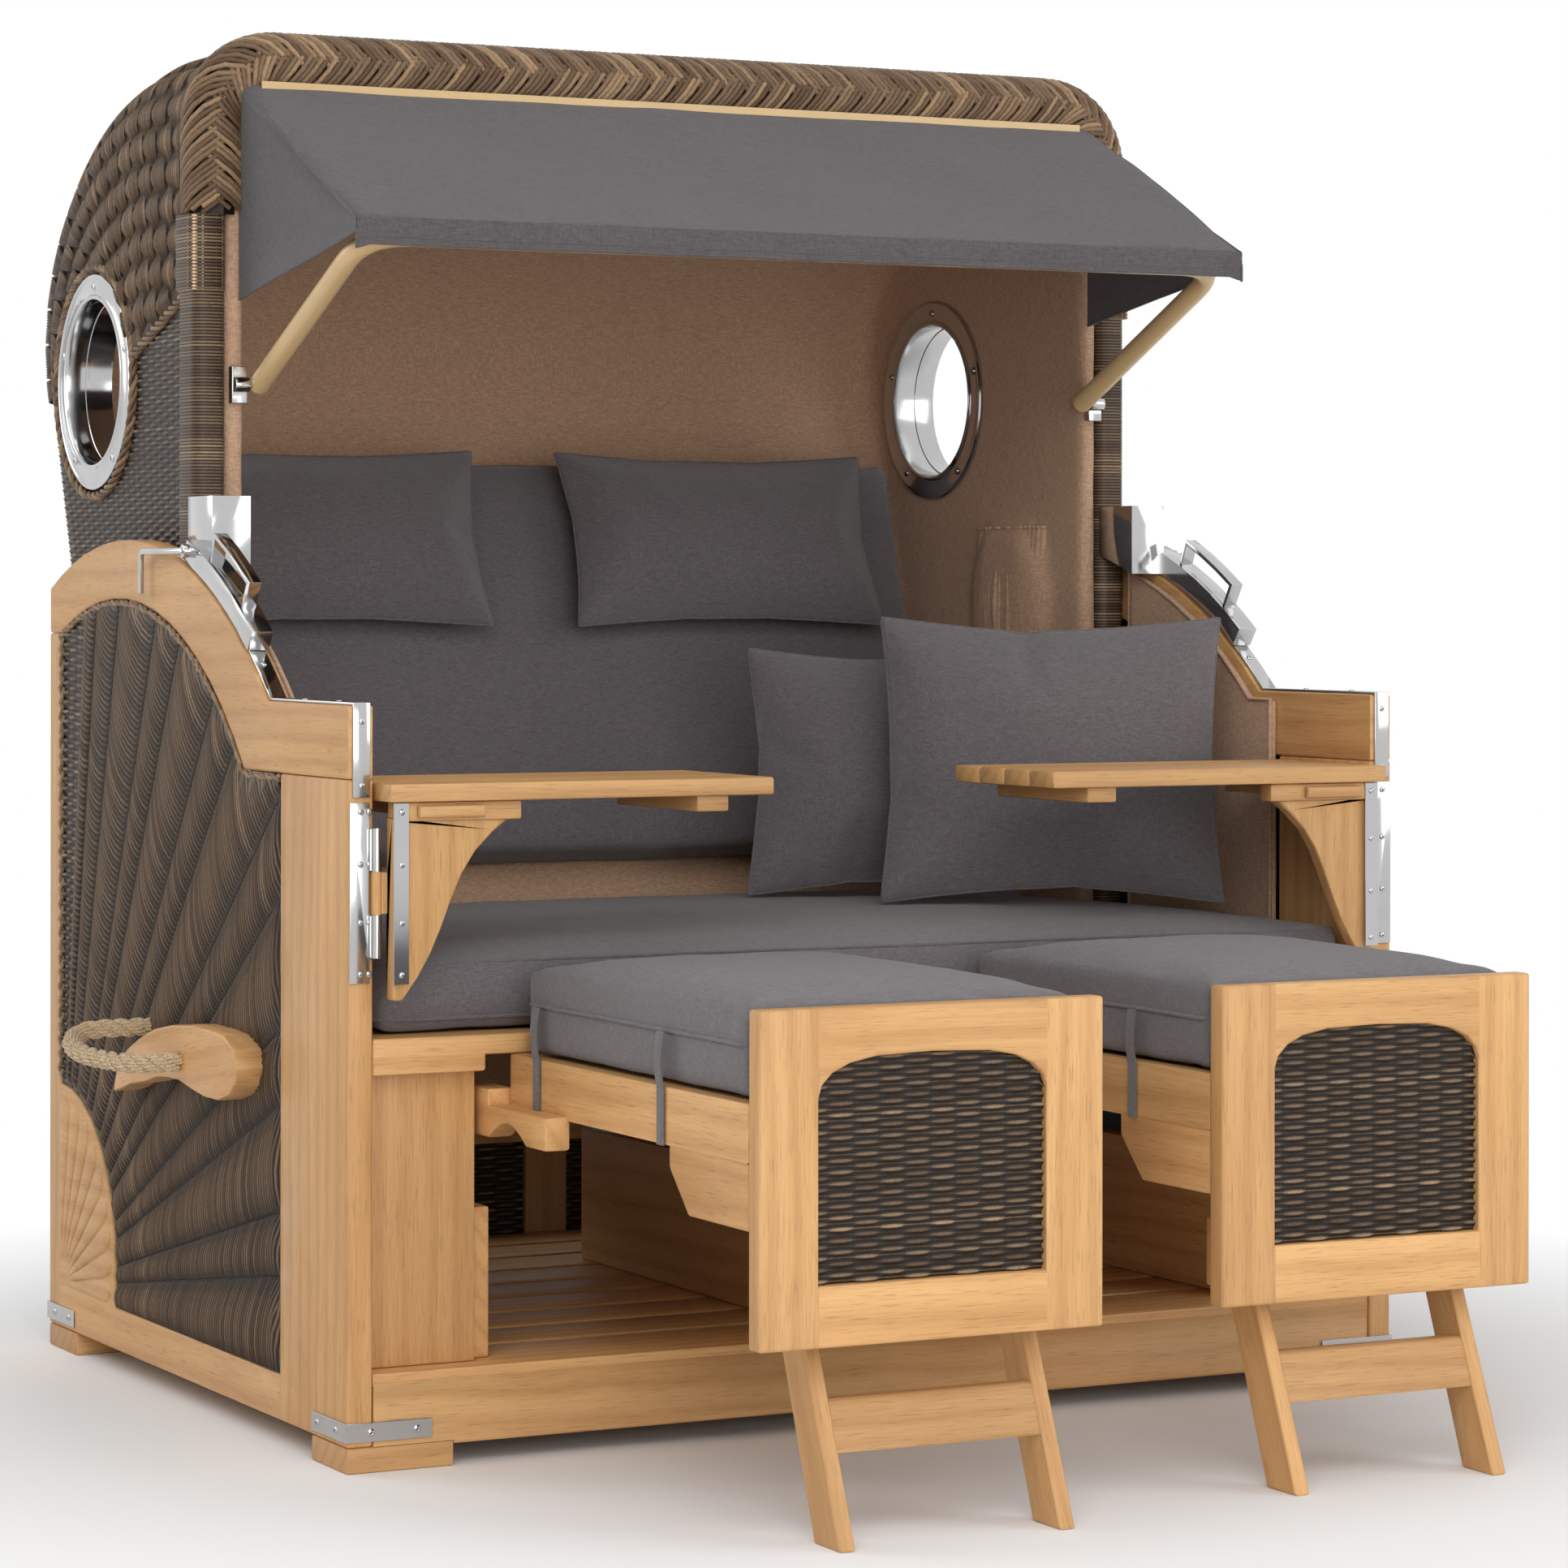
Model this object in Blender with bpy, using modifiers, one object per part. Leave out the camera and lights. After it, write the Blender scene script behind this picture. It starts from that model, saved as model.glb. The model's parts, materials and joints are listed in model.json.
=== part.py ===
"""Hooded beach chair: a two-seat wicker hood on a wooden box, with footrests and tables.

Metres, +Z up, X across the seat, -Y towards the sitter's feet. Sizes are given in the box's own
frame, where y = 0 is the front of the front posts. The root empty then shifts everything, so
that the origin is under the middle of the whole object.
"""
import math

import bmesh
import bpy
from mathutils import Matrix, Vector
from mathutils.bvhtree import BVHTree

# Driving sizes of the wooden box
GAP = 0.0003
LAP = 0.004
SHADOW = 0.001
HALF_WIDTH = 0.680
DEPTH = 1.000
BOARD = 0.030
FRONT_POST_WIDTH = 0.200
REAR_POST_WIDTH = 0.042
FOOT_HEIGHT = 0.028
FOOT_WIDTH = 0.126
FOOT_DEPTH = 0.104
RAIL_HEIGHT = 0.052
ARM_STEP = 0.186
ARM_DROP = 0.080
STEP_HEIGHT = 0.107
STEP_DEPTH = 0.130
STEP_THICKNESS = 0.015

# The hood turns about this axis, and the arm's upper edge is an arc round it
PIVOT_Y = 0.720
PIVOT_Z = 0.322
PIVOT_RADIUS = 0.008
ARM_RADIUS = 0.696
ARM_UNDER_Y = 0.741
ARM_UNDER_Z = 0.380
ARM_CROWN = 0.130

# Side panels
SIDE_WICKER = 0.014
SIDE_WICKER_RECESS = 0.003
BRACE_LOW = 0.285
BRACE_HIGH = 0.360
CORNER_RADIUS = 0.205
CORNER_STUB = 0.050
STRIP_WIDTH = 0.020
STRIP_THICKNESS = 0.003
STRIP_DROP = 0.100
STRIP_END_DEGREES = -14.5

# Rope handles on the outside of the side panels
HANDLE_Y = 0.246
HANDLE_Z = 0.418
HANDLE_LENGTH = 0.417
HANDLE_HEIGHT = 0.082
HANDLE_THICKNESS = 0.034
ROPE_RADIUS = 0.0108
ROPE_Y = 0.432
ROPE_Z = 0.410
ROPE_REACH = 0.074
ROPE_SPAN = 0.215
ROPE_RISE = 0.024

# Seat
SEAT_TOP = 0.4697
SEAT_BOARD = 0.022
SEAT_DEPTH = 0.840
SEAT_WIDE_DEPTH = 0.545
SEAT_CUSHION = 0.095
SEAT_CUSHION_FRONT = 0.020
SEAT_CUSHION_BACK = 0.835
SUPPORT_THICKNESS = 0.024
REAR_PROP_INSET = 0.140
REAR_PROP_WIDTH = 0.050
PARTITION_INSET = 0.160
PARTITION_THICKNESS = 0.020
GUIDE_THICKNESS = 0.028
GUIDE_HEIGHT = 0.275
SEAT_RAIL_DEPTH = 0.0482
SEAT_RAIL_DROP = 0.040
PASSAGE_GAP = 0.0045
PASSAGE_INNER = 0.045
SLAT_COUNT = 8
SLAT_SPACING = 0.014
REAR_PANEL_TOP = 0.262
REAR_RAIL_HEIGHT = 0.036
REAR_PANEL_THICKNESS = 0.028
REAR_WICKER = 0.014
ARM_LINING = 0.009
ARM_LINING_BACK = 0.540
ARM_LINING_SINK = 0.010

# Hood
HOOD_CLEARANCE = 0.020
HOOD_FRONT = 0.5625
HOOD_LOW = 0.300
HOOD_TOP = 1.606
HOOD_REAR = 1.212
HOOD_ARC_Y = 0.740
HOOD_ARC_Z = 1.270
HOOD_ARC_DEGREES = 104.0
HOOD_ARC_STEPS = 12
HOOD_FOOT_Y = 0.905
HOOD_FOOT_Z = 0.330
HOOD_LEAN_DEGREES = 18.7
HOOD_CORNER = 0.080
HOOD_CORNER_STEPS = 3
WICKER = 0.022
LINING = 0.025
POST_WIDTH = 0.040
POST_DEPTH = 0.060
POST_CORNER = 0.014
COLLAR_LOW = 1.315
COLLAR_HIGH = 1.405
COLLAR_PROUD = 0.006
BORDER_RADIUS = 0.034
BORDER_CORNER = 0.075
PORTHOLE_Y = 0.960
PORTHOLE_Z = 1.220
PORTHOLE_RADIUS = 0.103
PORTHOLE_FLANGE = 0.137
PORTHOLE_TUBE = 0.005
PORTHOLE_LIP = 0.008
POCKET_Y = 0.745
POCKET_WIDTH = 0.200
POCKET_LOW = 0.840
POCKET_TOP = 1.040
POCKET_DEPTH = 0.022

# Awning
BOW_PIVOT_Z = 1.202
BOW_PIVOT_INSET = 0.058
BOW_PIVOT_FORWARD = 0.014
BOW_RADIUS = 0.0125
BOW_REACH = 0.335
BOW_RISE = 0.158
BOW_CORNER = 0.060
AWNING_TOP = 1.565
CLOTH = 0.004
GUSSET_LOW = 1.305
SOCKET_SIZE = 0.044
SOCKET_THICKNESS = 0.012
SOCKET_PIN = 0.009

# Lock of the hood on each arm
SLIDER_START_DEGREES = -36.0
SLIDER_END_DEGREES = -17.0
SLIDER_HEIGHT = 0.026
SLIDER_WIDTH = 0.026
LOCK_PLATE_HEIGHT = 0.046
LEVER_RADIUS = 0.004
LEVER_LENGTH = 0.118
LEVER_DROP = 0.050
LEVER_OUT = 0.011
LOOP_START_DEGREES = -32.0
LOOP_END_DEGREES = -22.5
LOOP_RISE = 0.046
LOOP_WIDTH = 0.016
LOOP_STRAP = 0.005

# Side tables
TABLE_UNDER_ARM = 0.084
TABLE_THICKNESS = 0.020
TABLE_LENGTH = 0.468
TABLE_DEPTH = 0.232
TABLE_OVERHANG = 0.010
TABLE_SLATS = 4
TABLE_SLAT_SPACING = 0.003
TABLE_BATTEN = 0.018
TABLE_BATTEN_WIDTH = 0.040
WING_TOP_LENGTH = 0.142
WING_HEIGHT = 0.198
WING_THICKNESS = 0.020
WING_TIP = 0.012
CAP_LENGTH = 0.150
CAP_HEIGHT = 0.021
CAP_PROUD = 0.006
HINGE_INSET = 0.0305
HINGE_Y = -0.0075
HINGE_BARREL = 0.0055
HINGE_UNDER_TABLE = 0.021
HINGE_HEIGHT = 0.196
HINGE_LEAF = 0.0025
HINGE_FIXED_WIDTH = 0.023
KNUCKLE = 0.047
LATCH_LENGTH = 0.078
LATCH_HEIGHT = 0.013
LATCH_THICKNESS = 0.009
LATCH_ALONG = 0.064

# Footrests
FOOTREST_INNER = 0.0859
FOOTREST_SIDE_GAP = 0.0371
FOOTREST_LEFT_OUT = 0.593
FOOTREST_RIGHT_OUT = 0.550
PANEL_LOW = 0.202
PANEL_HIGH = 0.541
PANEL_THICKNESS = 0.025
STILE_WIDTH = 0.067
PANEL_RAIL = 0.062
PANEL_ARCH_RISE = 0.042
PANEL_ARCH_SIDE = 0.090
PANEL_WICKER = 0.010
FOOT_RAIL_TOP = 0.4470
FOOT_RAIL_HEIGHT = 0.060
FOOT_RAIL_THICKNESS = 0.020
FOOT_RAIL_END = 0.012
FOOT_BLOCK_LENGTH = 0.182
FOOT_BLOCK_HEIGHT = 0.068
FOOT_BLOCK_CHAMFER = 0.045
RUNNER_THICKNESS = 0.030
RUNNER_TAIL = 0.092
RUNNER_LENGTH = 0.243
RUNNER_HEIGHT = 0.036
RUNNER_TAIL_HEIGHT = 0.054
RUNNER_ARCH = 0.050
DECK_THICKNESS = 0.012
FOOT_CUSHION = 0.112
LEG_SPACING = 0.254
LEG_SHIFT = 0.020
LEG_THICKNESS = 0.018
LEG_HINGE_BACK = 0.109
LEG_HINGE_Z = 0.243
LEG_ROUND = 0.024
LEG_TOE = 0.017
LEG_HEEL = 0.041
LEG_CHEEK = 0.018
LEG_CHEEK_HEIGHT = 0.075
CROSSBAR_Z = 0.117
CROSSBAR_HEIGHT = 0.052
CROSSBAR_THICKNESS = 0.018

# Loose pillows and cushions
BACK_CUSHION_INSET = 0.070
BACK_CUSHION_LOW = 0.580
BACK_CUSHION_HIGH = 1.145
BACK_CUSHION_THICKNESS = 0.100
HEAD_PILLOW_WIDTH = 0.470
HEAD_PILLOW_THICKNESS = 0.100
HEAD_PILLOW_HEIGHT = 0.252
HEAD_PILLOW_INSET = 0.055
HEAD_PILLOW_INNER = 0.005
HEAD_PILLOW_Z = 1.025
THROW_LARGE_WIDTH = 0.435
THROW_LARGE_THICKNESS = 0.120
THROW_LARGE_HEIGHT = 0.365
THROW_LARGE_INSET = 0.255
THROW_LARGE_Y = 0.325
THROW_SMALL_WIDTH = 0.350
THROW_SMALL_THICKNESS = 0.110
THROW_SMALL_HEIGHT = 0.325
THROW_SMALL_INSET = 0.375
THROW_SMALL_Y = 0.545
THROW_TURN_DEGREES = -27.0
THROW_LEAN_DEGREES = 9.0
CUSHION_CUTS = 5

# Worked out from the sizes above
INNER = HALF_WIDTH - BOARD
HOOD_HALF = INNER - HOOD_CLEARANCE
HINGE_X = HALF_WIDTH - HINGE_INSET
BOW_PIVOT_X = HOOD_HALF - BOW_PIVOT_INSET
PARTITION_INNER = HALF_WIDTH - PARTITION_INSET
PASSAGE_OUTER = PARTITION_INNER - PASSAGE_GAP
FOOTREST_OUTER = PARTITION_INNER - FOOTREST_SIDE_GAP
FOOTREST_X = (FOOTREST_OUTER + FOOTREST_INNER) / 2
FOOTREST_WIDTH = FOOTREST_OUTER - FOOTREST_INNER
FOOTREST_OUT = {"left": FOOTREST_LEFT_OUT, "right": FOOTREST_RIGHT_OUT}
REAR_PROP_Y = SEAT_DEPTH - REAR_PROP_INSET
ARM_UNDER_RADIUS = ARM_RADIUS - ARM_CROWN
BACK_CUSHION_HALF = HOOD_HALF - BACK_CUSHION_INSET
HEAD_PILLOW = (HEAD_PILLOW_WIDTH, HEAD_PILLOW_THICKNESS, HEAD_PILLOW_HEIGHT)
HEAD_PILLOW_X = {"left": HEAD_PILLOW_INSET + HEAD_PILLOW_WIDTH / 2 - HOOD_HALF,
                 "right": HEAD_PILLOW_INNER + HEAD_PILLOW_WIDTH / 2}
THROW_LARGE = (THROW_LARGE_WIDTH, THROW_LARGE_THICKNESS, THROW_LARGE_HEIGHT)
THROW_LARGE_AT = (INNER - THROW_LARGE_INSET, THROW_LARGE_Y)
THROW_SMALL = (THROW_SMALL_WIDTH, THROW_SMALL_THICKNESS, THROW_SMALL_HEIGHT)
THROW_SMALL_AT = (INNER - THROW_SMALL_INSET, THROW_SMALL_Y)
ARM_TOP = PIVOT_Z + ARM_RADIUS - ARM_STEP
ARM_UNDER = ARM_TOP - ARM_DROP
TABLE_TOP = ARM_TOP - TABLE_UNDER_ARM
HINGE_HIGH = TABLE_TOP - HINGE_UNDER_TABLE
HINGE_LOW = HINGE_HIGH - HINGE_HEIGHT
REAR_POST_TOP = ARM_UNDER_Z + math.sqrt(ARM_UNDER_RADIUS ** 2 - (DEPTH - REAR_POST_WIDTH - ARM_UNDER_Y) ** 2)
ARM_STEP_Y = PIVOT_Y - math.sqrt(ARM_RADIUS ** 2 - (ARM_TOP - PIVOT_Z) ** 2)
LEAN = math.radians(HOOD_LEAN_DEGREES)
WICKER_FRONT = HOOD_FRONT + POST_DEPTH + GAP
WICKER_INNER = HOOD_HALF - WICKER
LINING_OUTER = WICKER_INNER - GAP
LINING_INNER = LINING_OUTER - LINING
BOW_PIVOT_Y = HOOD_FRONT - BOW_PIVOT_FORWARD
BOW_FRONT_Y = BOW_PIVOT_Y - BOW_REACH
BOW_FRONT_Z = BOW_PIVOT_Z + BOW_RISE
LEG_SLOPE = (LEG_HINGE_BACK - (LEG_HEEL - LEG_TOE) / 2) / LEG_HINGE_Z
MIDDLE_Y = (HOOD_REAR - FOOTREST_OUT["left"] - LEG_TOE) / 2

COLOURS = {
    "teak": ((0.72, 0.45, 0.20), 0.50, 0.0),
    "wicker": ((0.16, 0.13, 0.10), 0.45, 0.0),
    "steel": ((0.75, 0.75, 0.76), 0.15, 1.0),
    "grey_fabric": ((0.11, 0.095, 0.10), 0.90, 0.0),
    "sand_lining": ((0.26, 0.16, 0.10), 0.90, 0.0),
    "rope": ((0.55, 0.42, 0.26), 0.85, 0.0),
    "painted_tube": ((0.66, 0.47, 0.26), 0.35, 0.0),
}


NODES = {}


def clear_scene():
    for item in list(bpy.data.objects):
        bpy.data.objects.remove(item, do_unlink=True)


def collection(name):
    made = bpy.data.collections.new(name)
    bpy.context.scene.collection.children.link(made)
    return made


def material(name, finish):
    colour, roughness, metallic = COLOURS[finish]
    made = bpy.data.materials.new(name)
    made.use_nodes = True
    shader = made.node_tree.nodes["Principled BSDF"]
    shader.inputs["Base Color"].default_value = (*colour, 1.0)
    shader.inputs["Roughness"].default_value = roughness
    shader.inputs["Metallic"].default_value = metallic
    return made


def empty(name, place, parent=None):
    made = bpy.data.objects.new(name, None)
    made.location = place
    made.parent = parent
    PART.objects.link(made)
    return made


def finish_mesh(bm, name="solid"):
    bmesh.ops.recalc_face_normals(bm, faces=bm.faces)
    mesh = bpy.data.meshes.new(name)
    bm.to_mesh(mesh)
    bm.free()
    return mesh


def box(low, high):
    """A board from its lowest corner to its highest one."""
    bm = bmesh.new()
    size = [abs(b - a) for a, b in zip(low, high)]
    middle = [(a + b) / 2 for a, b in zip(low, high)]
    bmesh.ops.create_cube(bm, size=1.0, matrix=Matrix.Translation(middle) @ Matrix.Diagonal((*size, 1.0)))
    return finish_mesh(bm)


def cylinder(start, end, radius, sides=16):
    """A round bar between two points."""
    start, end = Vector(start), Vector(end)
    along = end - start
    turn = along.to_track_quat("Z", "Y").to_matrix().to_4x4()
    bm = bmesh.new()
    bmesh.ops.create_cone(bm, cap_ends=True, segments=sides, radius1=radius, radius2=radius,
                          depth=along.length, matrix=Matrix.Translation((start + end) / 2) @ turn)
    return finish_mesh(bm)


def from_curve(curve):
    holder = bpy.data.objects.new("curve", curve)
    bpy.context.scene.collection.objects.link(holder)
    graph = bpy.context.evaluated_depsgraph_get()
    mesh = bpy.data.meshes.new_from_object(holder.evaluated_get(graph))
    bpy.data.objects.remove(holder, do_unlink=True)
    bm = bmesh.new()
    bm.from_mesh(mesh)
    bmesh.ops.remove_doubles(bm, verts=bm.verts, dist=GAP / 10)
    return bm


PLANES = {
    "YZ": Matrix(((0, 0, 1, 0), (1, 0, 0, 0), (0, 1, 0, 0), (0, 0, 0, 1))),
    "XZ": Matrix(((1, 0, 0, 0), (0, 0, 1, 0), (0, 1, 0, 0), (0, 0, 0, 1))),
    "XY": Matrix.Identity(4),
}


def outline(loops, plane, low, high):
    """A flat outline, with holes for further loops, drawn out from low to high across its plane."""
    curve = bpy.data.curves.new("outline", "CURVE")
    curve.dimensions = "2D"
    curve.fill_mode = "BOTH"
    curve.extrude = abs(high - low) / 2
    for loop in loops:
        spline = curve.splines.new("POLY")
        spline.points.add(len(loop) - 1)
        for point, (u, v) in zip(spline.points, loop):
            point.co = (u, v, 0.0, 1.0)
        spline.use_cyclic_u = True
    bm = from_curve(curve)
    lift = Matrix.Translation((0, 0, (low + high) / 2))
    bmesh.ops.transform(bm, matrix=PLANES[plane] @ lift, verts=bm.verts)
    return finish_mesh(bm)


def tube(points, radius, sides=2, closed=False):
    """A round tube along a list of points."""
    curve = bpy.data.curves.new("tube", "CURVE")
    curve.dimensions = "3D"
    curve.bevel_depth = radius
    curve.bevel_resolution = sides
    curve.use_fill_caps = not closed
    spline = curve.splines.new("POLY")
    spline.points.add(len(points) - 1)
    for point, place in zip(spline.points, points):
        point.co = (*place, 1.0)
    spline.use_cyclic_u = closed
    return finish_mesh(from_curve(curve))


def arc(centre, radius, start, end, steps):
    """Points on an arc; degrees count from straight up, and are positive towards the first axis."""
    points = []
    for index in range(steps + 1):
        turn = math.radians(start + (end - start) * index / steps)
        points.append((centre[0] + radius * math.sin(turn), centre[1] + radius * math.cos(turn)))
    return points


def round_corners(points, radius, steps):
    """The path with each inner corner drawn as an arc that leaves the runs at the given distance."""
    places = [Vector(point) for point in points]
    path = [places[0]]
    for before, corner, after in zip(places, places[1:], places[2:]):
        enter = corner + (before - corner).normalized() * radius
        leave = corner + (after - corner).normalized() * radius
        for index in range(steps + 1):
            share = index / steps
            path.append(enter.lerp(corner, share).lerp(corner.lerp(leave, share), share))
    path.append(places[-1])
    return [tuple(point) for point in path]


def turned(profile, place, axis, steps=32):
    """A ring whose closed profile of (radius, along) pairs turns about an axis."""
    mesh = bpy.data.meshes.new("profile")
    edges = [(i, (i + 1) % len(profile)) for i in range(len(profile))]
    mesh.from_pydata([(radius, 0.0, along) for radius, along in profile], edges, [])
    holder = bpy.data.objects.new("profile", mesh)
    bpy.context.scene.collection.objects.link(holder)
    screw = holder.modifiers.new("turn", "SCREW")
    screw.steps = steps
    screw.render_steps = steps
    screw.use_merge_vertices = True
    screw.merge_threshold = GAP / 10
    graph = bpy.context.evaluated_depsgraph_get()
    solid = bpy.data.meshes.new_from_object(holder.evaluated_get(graph))
    bpy.data.objects.remove(holder, do_unlink=True)
    bm = bmesh.new()
    bm.from_mesh(solid)
    bmesh.ops.remove_doubles(bm, verts=bm.verts, dist=GAP / 10)
    turn = Vector(axis).to_track_quat("Z", "Y").to_matrix().to_4x4()
    bmesh.ops.transform(bm, matrix=Matrix.Translation(place) @ turn, verts=bm.verts)
    return finish_mesh(bm)


def cushion(size, edge_share, draw_share, sag_share=0.0):
    """A stuffed form: crowned faces, thin edges and sides drawn in between the corners."""
    bm = bmesh.new()
    bmesh.ops.create_cube(bm, size=2.0)
    bmesh.ops.subdivide_edges(bm, edges=bm.edges, cuts=CUSHION_CUTS, use_grid_fill=True)
    half = [value / 2 for value in size]
    for vertex in bm.verts:
        u, v, w = vertex.co
        crown = (1 - abs(u) ** 3) * (1 - abs(w) ** 3)
        thick = edge_share + (1 - edge_share) * crown
        side = 1 - draw_share * (1 - w * w) * abs(u) ** 3
        rise = 1 - draw_share * (1 - u * u) * abs(w) ** 3
        fall = sag_share * (1 - u * u) * max(w, 0.0)
        vertex.co = (half[0] * u * side, half[1] * v * thick, half[2] * (w * rise - fall))
    return finish_mesh(bm)


def fused(meshes):
    """One closed body from solids that lap into each other."""
    holders = []
    for mesh in meshes:
        holder = bpy.data.objects.new("lap", mesh)
        bpy.context.scene.collection.objects.link(holder)
        holders.append(holder)
    body = holders[0]
    for holder in holders[1:]:
        boolean = body.modifiers.new("join", "BOOLEAN")
        boolean.operation = "UNION"
        boolean.solver = "EXACT"
        boolean.object = holder
    graph = bpy.context.evaluated_depsgraph_get()
    solid = bpy.data.meshes.new_from_object(body.evaluated_get(graph))
    for holder in holders:
        bpy.data.objects.remove(holder, do_unlink=True)
    return solid


def node(name, meshes, finish, parent, smooth=False):
    """One sub-part: its solids joined into one body, with its own material."""
    mesh = fused(meshes) if len(meshes) > 1 else meshes[0]
    mesh.name = name
    if smooth:
        mesh.shade_smooth()
        mesh.set_sharp_from_angle(angle=math.radians(35))
    made = bpy.data.objects.new(name, mesh)
    mesh.materials.append(material(name, finish))
    PART.objects.link(made)
    made.parent = parent
    if parent is not ROOT:
        made.location = -(parent.location)
    return made


def world_tree(made):
    """A piece's points in world space, and a tree of its faces to cast rays at."""
    mesh = made.evaluated_get(bpy.context.evaluated_depsgraph_get()).to_mesh()
    points = [made.matrix_world @ vertex.co for vertex in mesh.vertices]
    return points, BVHTree.FromPolygons(points, [face.vertices[:] for face in mesh.polygons])


def settle(made, carrier, direction):
    """Slide a piece along a direction until it lies a gap away from what carries it."""
    bpy.context.view_layer.update()
    way = Vector(direction).normalized()
    points, tree = world_tree(made)
    under_points, under_tree = world_tree(carrier)
    hits = [under_tree.ray_cast(point, way)[3] for point in points]
    hits += [tree.ray_cast(point, -way)[3] for point in under_points]
    made.location = made.location + way * (min(hit for hit in hits if hit is not None) - GAP)


def cut(target, mesh, name, operation="DIFFERENCE"):
    """Take a shape out of an object, or join it on, and keep the shape with the cutters."""
    cutter = bpy.data.objects.new(name, mesh)
    CUTTERS.objects.link(cutter)
    cutter.hide_render = True
    cutter.display_type = "WIRE"
    cutter.parent = target.parent
    cutter.location = target.location
    boolean = target.modifiers.new(name, "BOOLEAN")
    boolean.operation = operation
    boolean.solver = "EXACT"
    boolean.object = cutter
    return cutter


SIDES = ((-1, "left"), (1, "right"))


def sides(make):
    """The solids of both sides: make(sign) is called with -1 for the left and 1 for the right."""
    return [mesh for sign, _ in SIDES for mesh in make(sign)]


def pair(name, make, finish, parent, smooth=False):
    """Two nodes, one on each side."""
    return [node(name + "_" + side, make(sign), finish, parent, smooth) for sign, side in SIDES]


def across(sign, near, far):
    """The two x values of a board that lies between two distances from the middle, low one first."""
    return sorted((sign * near, sign * far))


def side_box(sign, near, far, y_low, y_high, z_low, z_high):
    low, high = across(sign, near, far)
    return box((low, y_low, z_low), (high, y_high, z_high))


def side_outline(loops, sign, near, far):
    low, high = across(sign, near, far)
    return outline(loops, "YZ", low, high)


# Wooden box
def arm_outline():
    end_degrees = math.degrees(math.asin((DEPTH - PIVOT_Y) / ARM_RADIUS))
    start_degrees = -math.degrees(math.asin((PIVOT_Y - ARM_STEP_Y) / ARM_RADIUS))
    under_drop = ARM_UNDER - ARM_UNDER_Z
    under_start = -math.degrees(math.acos(under_drop / ARM_UNDER_RADIUS))
    under_end = math.degrees(math.asin((DEPTH - REAR_POST_WIDTH - ARM_UNDER_Y) / ARM_UNDER_RADIUS))
    top = arc((PIVOT_Y, PIVOT_Z), ARM_RADIUS, start_degrees, end_degrees, 18)
    under = arc((ARM_UNDER_Y, ARM_UNDER_Z), ARM_UNDER_RADIUS, under_end, under_start, 14)
    return [(0.0, ARM_UNDER), (0.0, ARM_TOP)] + top + [(DEPTH, REAR_POST_TOP)] + under


def arm_underside():
    """The arm's lower edge between the posts, from the rear post to the front one."""
    return arm_outline()[-15:]


def corner_arc(centre_y, centre_z):
    """The carved quarter round, from its point on the rail up to its point on the rear post."""
    return [(centre_y - CORNER_RADIUS, centre_z)] + arc((centre_y, centre_z + CORNER_STUB), CORNER_RADIUS, -90, 0, 8)


def make_side_frames():
    rail_top = FOOT_HEIGHT + RAIL_HEIGHT
    rear_inner = DEPTH - REAR_POST_WIDTH
    low, post_top, rear_top = FOOT_HEIGHT + GAP, ARM_UNDER - GAP, REAR_POST_TOP - GAP
    frame = [(0.0, low), (DEPTH, low), (DEPTH, rear_top), (rear_inner, rear_top)]
    frame += corner_arc(rear_inner, rail_top)[::-1]
    frame += [(FRONT_POST_WIDTH, rail_top), (FRONT_POST_WIDTH, post_top), (0.0, post_top)]
    back = HALF_WIDTH - SIDE_WICKER_RECESS - SIDE_WICKER
    frames = pair("side_frame", lambda s: [
        side_outline([frame], s, INNER, HALF_WIDTH),
        side_box(s, INNER + SHADOW, back - GAP, FRONT_POST_WIDTH - LAP, rear_inner + LAP, BRACE_LOW, BRACE_HIGH)],
        "teak", ROOT)
    for made in frames:
        cut(made, pivot_bore(PIVOT_RADIUS + GAP * 2), "pivot_bore")
    pair("arm", lambda s: [side_outline([arm_outline()], s, INNER, HALF_WIDTH)], "teak", ROOT)


def pivot_bore(radius):
    return cylinder((-HALF_WIDTH, PIVOT_Y, PIVOT_Z), (HALF_WIDTH, PIVOT_Y, PIVOT_Z), radius)


def make_side_panels():
    face = HALF_WIDTH - SIDE_WICKER_RECESS
    back = face - SIDE_WICKER
    front = FRONT_POST_WIDTH + GAP
    rear = DEPTH - REAR_POST_WIDTH - GAP
    low = FOOT_HEIGHT + RAIL_HEIGHT + GAP
    under = [(min(y, rear), z - GAP * 2) for y, z in arm_underside() if y > front]
    corner = corner_arc(rear, low)
    panel = [(corner[0][0] - GAP, low), (front, low), (front, ARM_UNDER - GAP * 3)] + under[::-1]
    panel += [(y - GAP, z + GAP) for y, z in corner[:0:-1]]
    pair("side_wicker", lambda s: [side_outline([panel], s, back, face)], "wicker", ROOT)


def strip_outline():
    """Steel strip up the front of the arm, along its flat and up its arc."""
    start = -math.degrees(math.asin((PIVOT_Y - ARM_STEP_Y) / ARM_RADIUS))
    crest = arc((PIVOT_Y, PIVOT_Z), ARM_RADIUS + GAP, start, STRIP_END_DEGREES, 8)
    raised = arc((PIVOT_Y, PIVOT_Z), ARM_RADIUS + GAP + STRIP_THICKNESS, start, STRIP_END_DEGREES, 8)
    top = ARM_TOP + GAP
    out = -GAP - STRIP_THICKNESS
    inner = [(-GAP, top - STRIP_DROP), (-GAP, top), (ARM_STEP_Y - GAP, top)] + crest[1:]
    outer = [(out, top - STRIP_DROP), (out, top + STRIP_THICKNESS),
             (ARM_STEP_Y - STRIP_THICKNESS, top + STRIP_THICKNESS)] + raised[1:]
    return inner + outer[::-1]


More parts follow.
